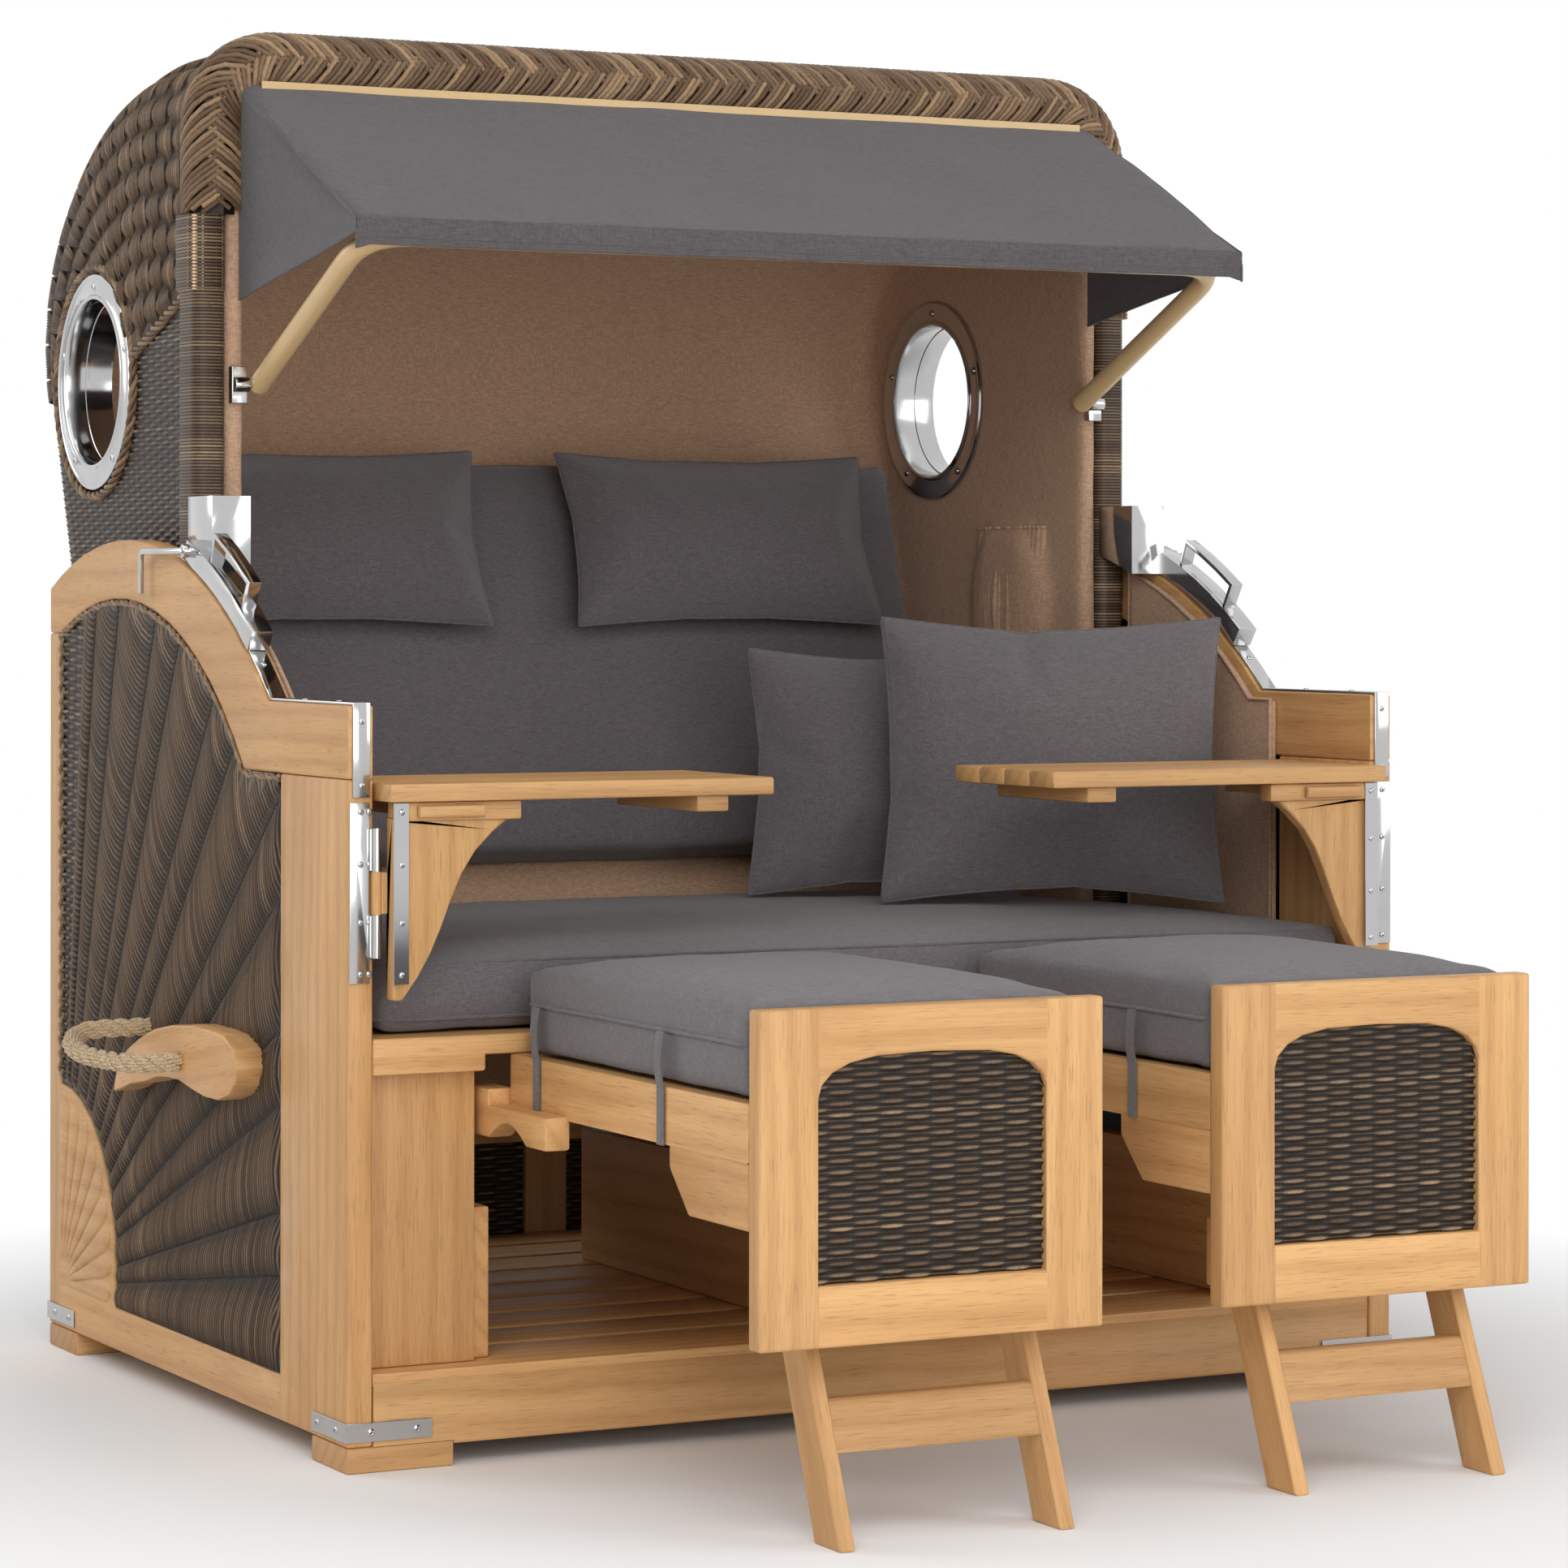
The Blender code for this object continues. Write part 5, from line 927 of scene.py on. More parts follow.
def hood_scales(side, sign):
    """Broad overlapping scales over half of the roof and down its cheek."""
    pitch = sizes().wicker.pitch * 0.56
    dense = np.linspace(0.0, 1.0, 4000)
    flat = HOOD_ARC_Y - HOOD_WEAVE_FRONT
    turns = np.radians(90 - (90 + HOOD_ARC_END) * dense)
    arc_y, arc_z = hood_line(turns, 0.0)
    lengths = np.concatenate(([0.0], np.cumsum(np.hypot(np.diff(arc_y), np.diff(arc_z)))))
    total = flat + lengths[-1]
    rows = int(total / (pitch / 2))
    along = np.linspace(0.0, total, rows)
    row_turn = np.where(along < flat, math.pi / 2, np.interp(along - flat, lengths, turns))
    row_flat = np.where(along < flat, flat - along, 0.0)
    columns = []
    roof = HOOD_HALF - HOOD_CORNER
    for x in np.linspace(0.0, roof, 66):
        columns.append(("roof", x, 0.0))
    for bend in np.linspace(0.0, math.pi / 2, 17)[1:]:
        columns.append(("bend", roof + HOOD_CORNER * math.sin(bend), HOOD_CORNER * (1 - math.cos(bend))))
    for share in np.linspace(0.0, 1.0, 30)[1:]:
        columns.append(("cheek", HOOD_HALF, share))
    meet_y, meet_z = scale_edge()
    degrees = np.degrees(row_turn)
    front_share = np.clip((along / (flat + np.interp(math.radians(90 - SCALE_MEET_TURN),
                                                     math.pi / 2 - turns, lengths))), 0.0, 1.0)
    rim_turn = np.radians(np.interp(-degrees, (-SCALE_MEET_TURN, HOOD_ARC_END),
                                    (SCALE_PORTHOLE_TURN, SCALE_END_TURN)))
    ahead = degrees > SCALE_MEET_TURN
    inner_y = np.where(ahead, HOOD_WEAVE_FRONT + (meet_y - HOOD_WEAVE_FRONT) * front_share,
                       PORTHOLE_Y + PORTHOLE_RIM * np.cos(rim_turn))
    inner_z = np.where(ahead, SCALE_LOW_FRONT + (meet_z - SCALE_LOW_FRONT) * front_share,
                       PORTHOLE_Z + PORTHOLE_RIM * np.sin(rim_turn))
    places = np.zeros((rows, len(columns), 3))
    stake = np.zeros((rows, len(columns)))
    lift = np.ones((rows, len(columns)))
    edge_y, edge_z = hood_line(row_turn, HOOD_CORNER)
    reach = np.hypot(edge_y - row_flat - inner_y, edge_z - inner_z)
    bend_end = roof + HOOD_CORNER * math.pi / 2
    for index, (part, x, value) in enumerate(columns):
        if part == "cheek":
            y = (edge_y - row_flat) * (1 - value) + inner_y * value
            z = edge_z * (1 - value) + inner_z * value
            distance = bend_end + reach * value
            lift[:, index] = np.clip((1 - value) * reach / 0.016, 0.25, 1.0)
        else:
            y, z = hood_line(row_turn, value)
            y = y - row_flat
            distance = np.full(rows, x if part == "roof" else roof + HOOD_CORNER * math.asin(
                min(1.0, (x - roof) / HOOD_CORNER)))
        places[:, index] = np.stack((np.full(rows, x * sign), y, z), axis=1)
        stake[:, index] = distance / SCALE_STAKE + 0.5
    places[:, :, 0] += sign * SCALE_PROUD * (np.array([part == "cheek" for part, _, _ in columns])[None, :])
    # shade=0.30 paints shade on the part of each scale that dips under the next.
    woven("hood_scales_" + side, places, stake, "hood", lift=lift, flip=sign < 0, bundle=SCALE_STRANDS,
          over=0.0065, under=0.0005, height=0.0020, spread=0.78 * SCALE_STRANDS * pitch, shade=0.30, seed=3)


def hood_plain(side, sign):
    """Plain weave round half of the hood's lower shell, from the post to the middle of the back."""
    pitch = sizes().wicker.plain_pitch
    low, high = HOOD_LOW + 0.002, SCALE_LOW_FRONT + 0.03
    rows = int((high - low) / (pitch / 2))
    heights = np.linspace(low, high, rows)
    outer = hood_back(heights, 0.0)
    drawn = hood_back(heights, HOOD_CORNER)
    roof = HOOD_HALF - HOOD_CORNER
    arc_low = HOOD_ARC_Z - HOOD_ARC_TALL * math.sin(math.radians(HOOD_ARC_END))
    cheek, bend, back = PLAIN_STAKES
    columns = [("cheek", value) for value in np.linspace(0.0, 1.0, cheek * 4 + 1)]
    columns += [("bend", value) for value in np.linspace(0.0, 1.0, bend * 4 + 1)[1:]]
    columns += [("back", value) for value in np.linspace(0.0, 1.0, back * 4 + 1)[1:]]
    places = np.zeros((rows, len(columns), 3))
    keep = np.zeros((rows, len(columns)), dtype=bool)
    lift = np.ones((rows, len(columns)))
    stake = np.zeros((rows, len(columns)))
    for index, (part, value) in enumerate(columns):
        if part == "cheek":
            y = HOOD_WEAVE_FRONT + (drawn - HOOD_WEAVE_FRONT) * value
            x = np.full(rows, HOOD_HALF)
            stake[:, index] = value * cheek
            away = np.hypot(y - PORTHOLE_Y, heights - PORTHOLE_Z)
            keep[:, index] = (away > PORTHOLE_RIM) & ~in_scales(y, heights, 0.014)
            scale = np.where(away < PORTHOLE_RIM, PORTHOLE_RIM / np.maximum(away, 0.001), 1.0)
            z = PORTHOLE_Z + (heights - PORTHOLE_Z) * scale
            y = PORTHOLE_Y + (y - PORTHOLE_Y) * scale
            lift[:, index] = np.clip((away - PORTHOLE_RIM) / 0.02, 0.3, 1.0)
        else:
            z = heights
            turn = value * math.pi / 2 if part == "bend" else math.pi / 2
            y = drawn + (outer - drawn) * math.sin(turn)
            across = roof + HOOD_CORNER * math.cos(turn) if part == "bend" else roof * (1 - value)
            x = np.full(rows, across)
            stake[:, index] = cheek + (value * bend if part == "bend" else bend + value * back)
            keep[:, index] = heights < arc_low + 0.012
        places[:, index] = np.stack((x * sign, y, z), axis=1)
    woven("hood_plain_" + side, places, stake, "hood", lift=lift, keep=keep, flip=sign < 0, over=0.0022,
          under=0.0006, height=0.0012, shade=0.50, seed=5)


def scale_rims(side, sign):
    """Rolled edge under the scales: three strands from the post round the porthole, twisted together."""
    meet_y, meet_z = scale_edge()
    x = sign * (HOOD_HALF + 0.0045)
    start = [(x, HOOD_WEAVE_FRONT + (meet_y - HOOD_WEAVE_FRONT) * share,
              SCALE_LOW_FRONT + (meet_z - SCALE_LOW_FRONT) * share) for share in np.linspace(0.0, 0.92, 16)]
    ring = PORTHOLE_RIM + 0.014
    for turn in np.linspace(SCALE_PORTHOLE_TURN - 4, SCALE_END_TURN - 340, 90):
        start.append((x, PORTHOLE_Y + ring * math.cos(math.radians(turn)),
                      PORTHOLE_Z + ring * math.sin(math.radians(turn))))
    twisted = laid(smooth_path(start, 3), 3, 0.0036, 0.05)
    round_strands("porthole_wreath_" + side, twisted, 0.0030, "plaited_wicker", "hood", seed=4)


def wound_post(side, sign):
    """A strand wound round a post in close level turns, and the wider winding of its collar."""
    pitch = sizes().wicker.pitch * 0.92
    for label, low, high, grow in WINDINGS:
        ring = rounded_ring(sign * POST_X[0], sign * (POST_X[1] + grow), POST_Y[0] - grow, POST_Y[1],
                            POST_ROUND + grow * 0.5)
        rows = int((high - low) / (pitch / 2))
        places = np.zeros((rows, len(ring), 3))
        places[:, :, :2] = np.array(ring)[None, :, :]
        places[:, :, 2] = np.linspace(low, high, rows)[:, None]
        stake = np.zeros((rows, len(ring)))
        woven(label + "_winding_" + side, places, stake, "hood", bundle=UNBUNDLED, over=0.0003, under=0.0,
              height=0.0013, seed=11)


def rounded_ring(x_from, x_to, y_from, y_to, radius):
    """A closed round-cornered ring in plan, turning the way that its faces point out."""
    low, high = min(x_from, x_to), max(x_from, x_to)
    ring = []
    for x, y, start in ((high - radius, y_to - radius, 0), (low + radius, y_to - radius, 90),
                        (low + radius, y_from + radius, 180), (high - radius, y_from + radius, 270)):
        for turn in np.radians(np.linspace(start, start + 90, 5)):
            ring.append((x + radius * math.cos(turn), y + radius * math.sin(turn)))
    return ring + ring[:1]
PLAIT_PITCH = 0.033
PLAIT_STRANDS = 4
PLAIT_STRAND = 0.0066
PLAIT_RUN = 0.095
PLAIT_TURN = math.radians(15.0)


def border_line():
    """Middle line of the plaited border, from one collar over the mouth to the other."""
    (x, y), (low, top), corner = BORDER_PLACE, BORDER_HEIGHTS, BORDER_CORNER
    line = [(-x, y, z) for z in np.linspace(low, top - corner, 12)]
    line += [(-x + corner * (1 - math.cos(turn)), y, top - corner * (1 - math.sin(turn)))
             for turn in np.linspace(0, math.pi / 2, 12)[1:]]
    line += [(value, y, top) for value in np.linspace(-x + corner, x - corner, 60)[1:]]
    line += [(x - corner * (1 - math.sin(turn)), y, top - corner * (1 - math.cos(turn)))
             for turn in np.linspace(0, math.pi / 2, 12)[1:]]
    return line + [(x, y, z) for z in np.linspace(top - corner, low, 12)[1:]]


def border_plait():
    """Groups of four strands that cross on the border's face and wrap round to its back on both sides."""
    frames = frames_along(border_line(), Vector((0, 1, 0)))
    travelled = lengths_along(frames)
    total = travelled[-1]
    groups = round(total / PLAIT_PITCH)
    paths = []
    for group in range(-1, groups + 1):
        for sign in (-1, 1):
            base = (group + (0.5 if sign > 0 else 0.0)) * total / groups
            for strand in range(PLAIT_STRANDS):
                line = []
                for share in np.linspace(0.0, 1.0, 10):
                    apart = (strand - 1.5) * PLAIT_STRAND * (1.15 - 0.10 * share)
                    way = base - PLAIT_RUN * share + apart
                    if not 0.0 <= way <= total:
                        continue
                    angle = sign * (-0.34 + 2.35 * math.sin(share * math.pi / 2))
                    dive = 1.0 - math.exp(-((share + 0.02) / 0.16) ** 2)
                    radius = 0.0325 + 0.0050 * dive - 0.0045 * share ** 4
                    line.append(border_place(frames, travelled, way, angle, radius))
                if len(line) > 2:
                    paths.append(line)
    return round_strands("border_plait", paths, PLAIT_STRAND * 0.52, "plaited_wicker", "hood", seed=9)


def border_place(frames, travelled, way, angle, radius):
    """A place round the border: how far along it, how far round from its face, and how far out."""
    index = int(np.searchsorted(travelled, way)) - 1
    index = min(max(index, 0), len(frames) - 2)
    share = (way - travelled[index]) / (travelled[index + 1] - travelled[index])
    here, there = frames[index], frames[index + 1]
    place = here[0].lerp(there[0], share)
    front = Vector((0, -1, 0))
    ahead = here[1].lerp(there[1], share).normalized()
    side = ahead.cross(front).normalized()
    middle = (front * math.cos(PLAIT_TURN) - side * math.sin(PLAIT_TURN)).normalized()
    across = (front * math.sin(PLAIT_TURN) + side * math.cos(PLAIT_TURN)).normalized()
    return place + (middle * math.cos(angle) + across * math.sin(angle)) * radius


# Panels
FAN_Y = 0.654
FAN_Z = 0.080
FAN_BLOCK = 0.205
FAN_STUB = 0.050
FAN_FIRST = 84.0
FAN_SLANT = 0.48
FAN_BOW = 0.62
FAN_FACE = 0.6773
FAN_ROWS = (0.10, 1.02)
FAN_PITCH = 0.0075
FAN_WIDTHS = [2.8] + [5.2, 8.2] * 6
FAN_SHARES = (-0.485, -0.40, -0.26, -0.09, 0.09, 0.26, 0.40, 0.485)
LADDER_PITCH = 0.0060
PANEL_FRONT = -0.1004
PANEL_LOW = 0.0808
ARM_UNDER_Y = 0.440
ARM_UNDER_Z = 0.380
ARM_UNDER_RADIUS = 0.5655
ARM_UNDER_FLAT = 0.7515
ARCH_SPRING = 0.541 - 0.090
ARCH_POWER = 0.6


def panel_reach(turn):
    """How far a ray from the fan's lower rear corner runs before it meets the panel's frame."""
    cosine, sine = -math.cos(turn), math.sin(turn)
    reach = (PANEL_FRONT - FAN_Y) / cosine if cosine < -1e-4 else 2.0
    low, high = 0.1, min(reach, 1.2)
    for _ in range(40):
        middle = (low + high) / 2
        y, z = FAN_Y + cosine * middle, FAN_Z + sine * middle
        roof = ARM_UNDER_Z + math.sqrt(max(ARM_UNDER_RADIUS ** 2 - (y - ARM_UNDER_Y) ** 2, 0.0))
        roof = max(roof, ARM_UNDER_FLAT)
        if z < roof:
            low = middle
        else:
            high = middle
    return low


def fan_sheet(name, side, sign, turns, stakes, drops, pitch, **weave):
    """Rows round the fan's corner from the carved block to the frame, each dropping by its column's share."""
    reach = np.array([panel_reach(turn) for turn in turns])
    start = np.array([block_reach(turn) for turn in turns]) + 0.001
    near, far = FAN_ROWS
    rows = int((far - near) / (pitch / 2))
    row = np.linspace(near, far, rows)[:, None]
    wanted = row * (1 - drops[None, :])
    radius = np.clip(wanted, start[None, :], reach[None, :])
    keep = (wanted > start[None, :]) & (wanted < reach[None, :])
    lift = np.clip(np.minimum(wanted - start, reach - wanted) / 0.012, 0.15, 1.0)
    y = FAN_Y - radius * np.cos(turns)[None, :]
    z = np.maximum(FAN_Z + radius * np.sin(turns)[None, :], PANEL_LOW)
    x = np.full_like(y, sign * FAN_FACE)
    places = np.stack((x, y, z), axis=2)
    stake = np.repeat(np.array(stakes)[None, :], rows, 0)
    woven(name + "_" + side, places, stake, "base", lift=lift, keep=keep, flip=sign > 0, **weave)


def side_fan(side, sign):
    """A fan of columns whose strands dip under at each rib, and a ladder of plain weave by the rear post."""
    ladder = np.radians(np.linspace(90.0, FAN_FIRST, 13))
    fan_sheet("side_ladder", side, sign, ladder, np.linspace(0.5, 3.5, 13), np.zeros(13), LADDER_PITCH,
              over=0.0030, under=0.0008, height=0.0012, shade=0.50, seed=17)
    total = sum(FAN_WIDTHS)
    turns, stakes, drops = [], [], []
    start = FAN_FIRST
    for index, width in enumerate(FAN_WIDTHS):
        wide = width * FAN_FIRST / total
        for share in FAN_SHARES:
            turns.append(math.radians(start - wide * (share + 0.5)))
            stakes.append(index + share)
            drops.append(math.radians(wide) * (FAN_SLANT * share - FAN_BOW * (share * share - 0.08)))
        start -= wide
    # shade=0.14 is painted shade: every other column is dimmed where its strands dip under.
    fan_sheet("side_fan", side, sign, np.array(turns), stakes, np.array(drops), FAN_PITCH, over=0.0055,
              under=-0.0045, height=0.0024, bundle=UNBUNDLED, shade=0.14, seed=19)


def side_rims(side, sign):
    """Twisted strands along the arm's underside and the rear post."""
    x = sign * 0.6795
    over = []
    for y in np.linspace(0.652, PANEL_FRONT + 0.004, 60):
        arc_z = ARM_UNDER_Z + math.sqrt(max(ARM_UNDER_RADIUS ** 2 - (y - ARM_UNDER_Y) ** 2, 0.0))
        over.append((x, y, max(arc_z, ARM_UNDER_FLAT) - 0.005))
    rear = [(x, 0.6525, z) for z in np.linspace(0.345, 0.900, 60)]
    paths = laid(over, 2, 0.0026, 0.034) + laid(rear, 2, 0.0026, 0.034)
    round_strands("panel_rims_" + side, paths, 0.0027, "plaited_wicker", "base", seed=23)


def plain_panel(name, node, facing, body, stakes, seed, top=None):
    """A flat plain weave on one face of a node's box; its top may be lowered by a function of x."""
    (x_from, y_from, z_from), (x_to, y_to, z_to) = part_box(node)
    y = y_to + 0.0003 if facing > 0 else y_from - 0.0003
    pitch = sizes().wicker.plain_pitch
    rows = int((z_to - z_from) / (pitch / 2))
    columns = stakes * 6 + 1
    x = np.linspace(x_from, x_to, columns)
    z = np.linspace(z_from, z_to, rows)
    roof = np.full(columns, z_to) if top is None else np.array([top(value) for value in x])
    height = np.minimum(z[:, None], roof[None, :])
    keep = z[:, None] < roof[None, :]
    places = np.stack((np.repeat(x[None, :], rows, 0), np.full((rows, columns), y), height), axis=2)
    stake = np.repeat((np.linspace(0, stakes, columns))[None, :], rows, 0)
    woven(name, places, stake, body, keep=keep, flip=facing > 0, over=0.0034, under=0.0010, height=0.0012,
          shade=0.50, seed=seed)


def footrest_inlay(side):
    """The plain weave in the footrest panel's arched opening."""
    node = "footrest_wicker_" + side
    low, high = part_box(node)
    half = (high[0] - low[0]) / 2
    centre = (high[0] + low[0]) / 2

    def arch(x):
        share = min(1.0, abs(x - centre) / half)
        return ARCH_SPRING + (high[2] - ARCH_SPRING) * math.sqrt(max(0.0, 1 - share ** (2 / ARCH_POWER)))

    plain_panel("footrest_weave_" + side, node, -1, "footrest_" + side, 9, 37, arch)


class WeaveWicker(bpy.types.Operator):
    """Weaves the hood, its posts and border, the side panels and the inlays"""
    bl_idname = "beach_chair.weave_wicker"
    bl_label = "Wicker"

    def execute(self, context):
        for node, slot in SLOT_OF.items():
            if slot == "wicker":
                CAD[node].data.materials.clear()
                CAD[node].data.materials.append(MATERIALS["plaited_wicker"][0])
        for side, sign in SIDES:
            hood_scales(side, sign)
            hood_plain(side, sign)
            scale_rims(side, sign)
            wound_post(side, sign)
            side_fan(side, sign)
            side_rims(side, sign)
            footrest_inlay(side)
        border_plait()
        plain_panel("rear_weave", "rear_wicker", 1, "base", 48, 41)
        plain_panel("rear_weave_inside", "rear_wicker", -1, "base", 48, 43)
        return {"FINISHED"}


# Cushions
def local_frame(node, turn, lean):
    """The middle of a node's box and the turn of its cushion."""
    low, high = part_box(node)
    middle = (Vector(low) + Vector(high)) / 2
    return Matrix.Translation(middle) @ Matrix.Rotation(turn, 4, "Z") @ Matrix.Rotation(lean, 4, "X")


def run_cloth(made, pressure, cap, stiffness=12.0, frames=20):
    """Swells a closed mesh with air, without gravity, and lets no point move further than the cap."""
    scene = bpy.context.scene
    before = points_of(made.data)
    cloth = made.modifiers.new("cloth", "CLOTH")
    settings = cloth.settings
    settings.quality = 4
    settings.mass = 0.25
    settings.tension_stiffness = stiffness
    settings.compression_stiffness = stiffness
    settings.shear_stiffness = stiffness / 2
    settings.bending_stiffness = 0.4
    settings.use_pressure = True
    settings.uniform_pressure_force = pressure
    settings.effector_weights.gravity = 0.0
    cloth.collision_settings.use_collision = False
    cloth.collision_settings.use_self_collision = False
    cloth.point_cache.frame_start = 1
    cloth.point_cache.frame_end = frames
    for frame_number in range(1, frames + 1):
        scene.frame_set(frame_number)
    graph = bpy.context.evaluated_depsgraph_get()
    move = points_of(made.evaluated_get(graph).data) - before
    made.modifiers.remove(cloth)
    scene.frame_set(1)
    length = np.linalg.norm(move, axis=1, keepdims=True)
    move *= np.minimum(1.0, cap / np.maximum(length, 1e-6))
    made.data.vertices.foreach_set("co", (before + move).ravel())
    made.data.update()


def linked(name, mesh):
    made = bpy.data.objects.new(name, mesh)
    bpy.context.scene.collection.objects.link(made)
    return made


PILLOW_KEEPS_SHAPE = 0.80


def pillow_mesh(name, width, thick, height, seed):
    """Two sewn squares of cloth blown up into a pillow, with drawn-in sides and pointed corners."""
    across, up = 44, max(24, int(44 * height / width))
    bm = bmesh.new()
    for face in (-1, 1):
        rows = []
        for row in range(up + 1):
            line = []
            for column in range(across + 1):
                u, v = 2 * column / across - 1, 2 * row / up - 1
                edge = (1 - u * u) * (1 - v * v)
                swell = 0.03 * thick * edge ** 0.5
                drawn = 1 - 0.045 * (1 - v * v) * abs(u) ** 3
                lowered = 1 - 0.060 * (1 - u * u) * abs(v) ** 3
                line.append(bm.verts.new((u * drawn * width / 2, face * swell, v * lowered * height / 2)))
            rows.append(line)
        for corners in quads(rows):
            bm.faces.new(corners if face < 0 else corners[::-1])
    bmesh.ops.remove_doubles(bm, verts=bm.verts, dist=0.00001)
    made = linked(name + "_form", mesh_from(bm, name))
    mesh = made.data
    sewn = points_of(mesh)
    run_cloth(made, 9.0, 0.5, 15.0, 26)
    points = points_of(mesh)
    for axis, size in enumerate((width, thick, height)):
        middle = (points[:, axis].max() + points[:, axis].min()) / 2
        span = points[:, axis].max() - points[:, axis].min()
        points[:, axis] = (points[:, axis] - middle) * size / span
        if axis != 1:
            points[:, axis] += (sewn[:, axis] - points[:, axis]) * PILLOW_KEEPS_SHAPE
    for index in range(len(points)):
        place = Vector(points[index])
        u, v = place.x / width * 2, place.z / height * 2
        rim = max(abs(u), abs(v)) ** 4
        fold = noise.noise(Vector((place.x * 9 + seed, place.y * 4, place.z * 9))) * 0.0030
        fold += noise.noise(Vector((place.x * 26, seed, place.z * 26))) * 0.0030 * rim
        points[index][1] += fold * (1 if place.y > 0 else -1) * (1 - rim ** 4)
    mesh.vertices.foreach_set("co", points.ravel())
    subdivide(made)
    return evaluated(made)


def subdivide(made, levels=1):
    modifier = made.modifiers.new("fine", "SUBSURF")
    modifier.levels = levels
    modifier.render_levels = levels


def loose_pillow(node, body, size, turn, lean, seed):
    """A loose pillow in the place of its node, with a seam all round."""
    matrix = local_frame(node, turn, lean)
    mesh = pillow_mesh(node, *size, seed)
    seam = pillow_seam(mesh, size)
    mesh.transform(matrix)
    made = piece("loose_" + node, mesh, "cushion_cloth", body, (node,), smooth=80)
    path = [matrix @ point for point in seam]
    cord = round_strands("seam_" + node, [path], 0.0016, "cushion_cloth", body, closed=True)


def pillow_seam(mesh, size):
    """The outline of a pillow in its own middle plane."""
    points = points_of(mesh).astype(np.float64)
    turns = np.arctan2(points[:, 2] / size[2], points[:, 0] / size[0])
    reach = np.hypot(points[:, 0] / size[0], points[:, 2] / size[2])
    seam = []
    for turn in np.linspace(-math.pi, math.pi, 121)[:-1]:
        near = np.abs(np.angle(np.exp(1j * (turns - turn)))) < 0.05
        best = np.argmax(np.where(near, reach, 0.0))
        seam.append(Vector(points[best]) * 0.999)
    return seam


def soft_form(node, voxel, factor, passes):
    """A node's own form in even faces, with its edges smoothed away."""
    bm = welded(node)
    bmesh.ops.triangulate(bm, faces=bm.faces)
    made = linked(node + "_form", mesh_from(bm, node))
    remesh = made.modifiers.new("even", "REMESH")
    remesh.mode = "VOXEL"
    remesh.voxel_size = voxel
    smooth = made.modifiers.new("soft", "SMOOTH")
    smooth.factor = factor
    smooth.iterations = passes
    return linked(node + "_form", evaluated(made))


def box_cushion(node, body, voxel, pressure, cap, seed, shrink=0.004):
    """A firm cushion: the node's own form, rounded, blown up a little and softly creased."""
    made = soft_form(node, voxel, 0.6, 5)
    low, high = (Vector(corner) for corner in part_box(node))
    middle = (low + high) / 2
    half = (high - low) / 2
    for vertex in made.data.vertices:
        for axis in range(3):
            inwards = half[axis] - shrink
            vertex.co[axis] = middle[axis] + (vertex.co[axis] - middle[axis]) * inwards / half[axis]
    run_cloth(made, pressure, cap)
    crease_mesh(made.data, seed, 0.0016)
    for vertex in made.data.vertices:
        vertex.co.z = min(max(vertex.co.z, low.z + 0.0006), high.z + 0.006)
    cushion = piece("soft_" + node, evaluated(made), "cushion_cloth", body, (node,), smooth=80)
    return cushion


def crease_mesh(mesh, seed, depth):
    """Presses shallow, drawn-out creases into a soft mesh, along its normals."""
    places = points_of(mesh)
    normals = np.empty(places.size, dtype=np.float32)
    mesh.vertex_normals.foreach_get("vector", normals)
    normals = normals.reshape(-1, 3)
    rises = np.empty(len(places), dtype=np.float32)
    for index, (x, y, z) in enumerate(places.tolist()):
        broad = noise.noise(Vector((x * 7 + seed, y * 7, z * 7)))
        rises[index] = broad + 0.6 * noise.noise(Vector((x * 22, y * 9 + seed, z * 22)))
    mesh.vertices.foreach_set("co", (places + normals * rises[:, None] * depth).ravel())
    mesh.update()


def section_ring(made, height, count=150):
    """A ring round a piece at one height, just on its skin."""
    tree = BVHTree.FromPolygons([vertex.co for vertex in made.data.vertices],
                                [polygon.vertices for polygon in made.data.polygons])
    low, high = bounds_of(made)
    middle = (low + high) / 2
    far = (high - low).length
    ring = []
    for index in range(count):
        turn = 2 * math.pi * index / count
        reach = Vector(((high.x - low.x) * math.cos(turn), (high.y - low.y) * math.sin(turn), 0.0))
        reach.normalize()
        start = Vector((middle.x, middle.y, height)) + reach * far
        hit = tree.ray_cast(start, -reach)
        if hit[0] is not None:
            ring.append(hit[0] + reach * 0.0004)
    return ring


def bounds_of(made):
    """The lowest and highest corner of a piece."""
    points = [vertex.co for vertex in made.data.vertices]
    return (Vector([min(point[axis] for point in points) for axis in range(3)]),
            Vector([max(point[axis] for point in points) for axis in range(3)]))


PIPING_HEIGHT = 0.503
STRAP_PLACES = (-0.674, -0.365)
STRAP_WIDTH = 0.017
RAIL_UNDERSIDE = 0.388


def footrest_pad(side, sign):
    """The footrest's cushion with its piping and the two straps that hold it to the rail."""
    node, body = "footrest_cushion_" + side, "footrest_" + side
    cushion = box_cushion(node, body, 0.008, 3.0, 0.006, 3.0 if sign < 0 else 8.0)
    low, high = (Vector(corner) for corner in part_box(node))
    ring = section_ring(cushion, PIPING_HEIGHT)
    piping = round_strands("footrest_piping_" + side, [ring], 0.0024, "cushion_cloth", body, sides=8,
                           closed=True)
    straps = bmesh.new()
    for edge in (-1, 1):
        x = low.x - 0.0022 if edge < 0 else high.x + 0.0022
        for place in STRAP_PLACES:
            add_strap(straps, x, place, edge)
    straps = piece("footrest_straps_" + side, mesh_from(straps, "straps"), "cushion_cloth", body,
                   smooth=50)
    for soft in (cushion, piping, straps):
        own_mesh(soft)


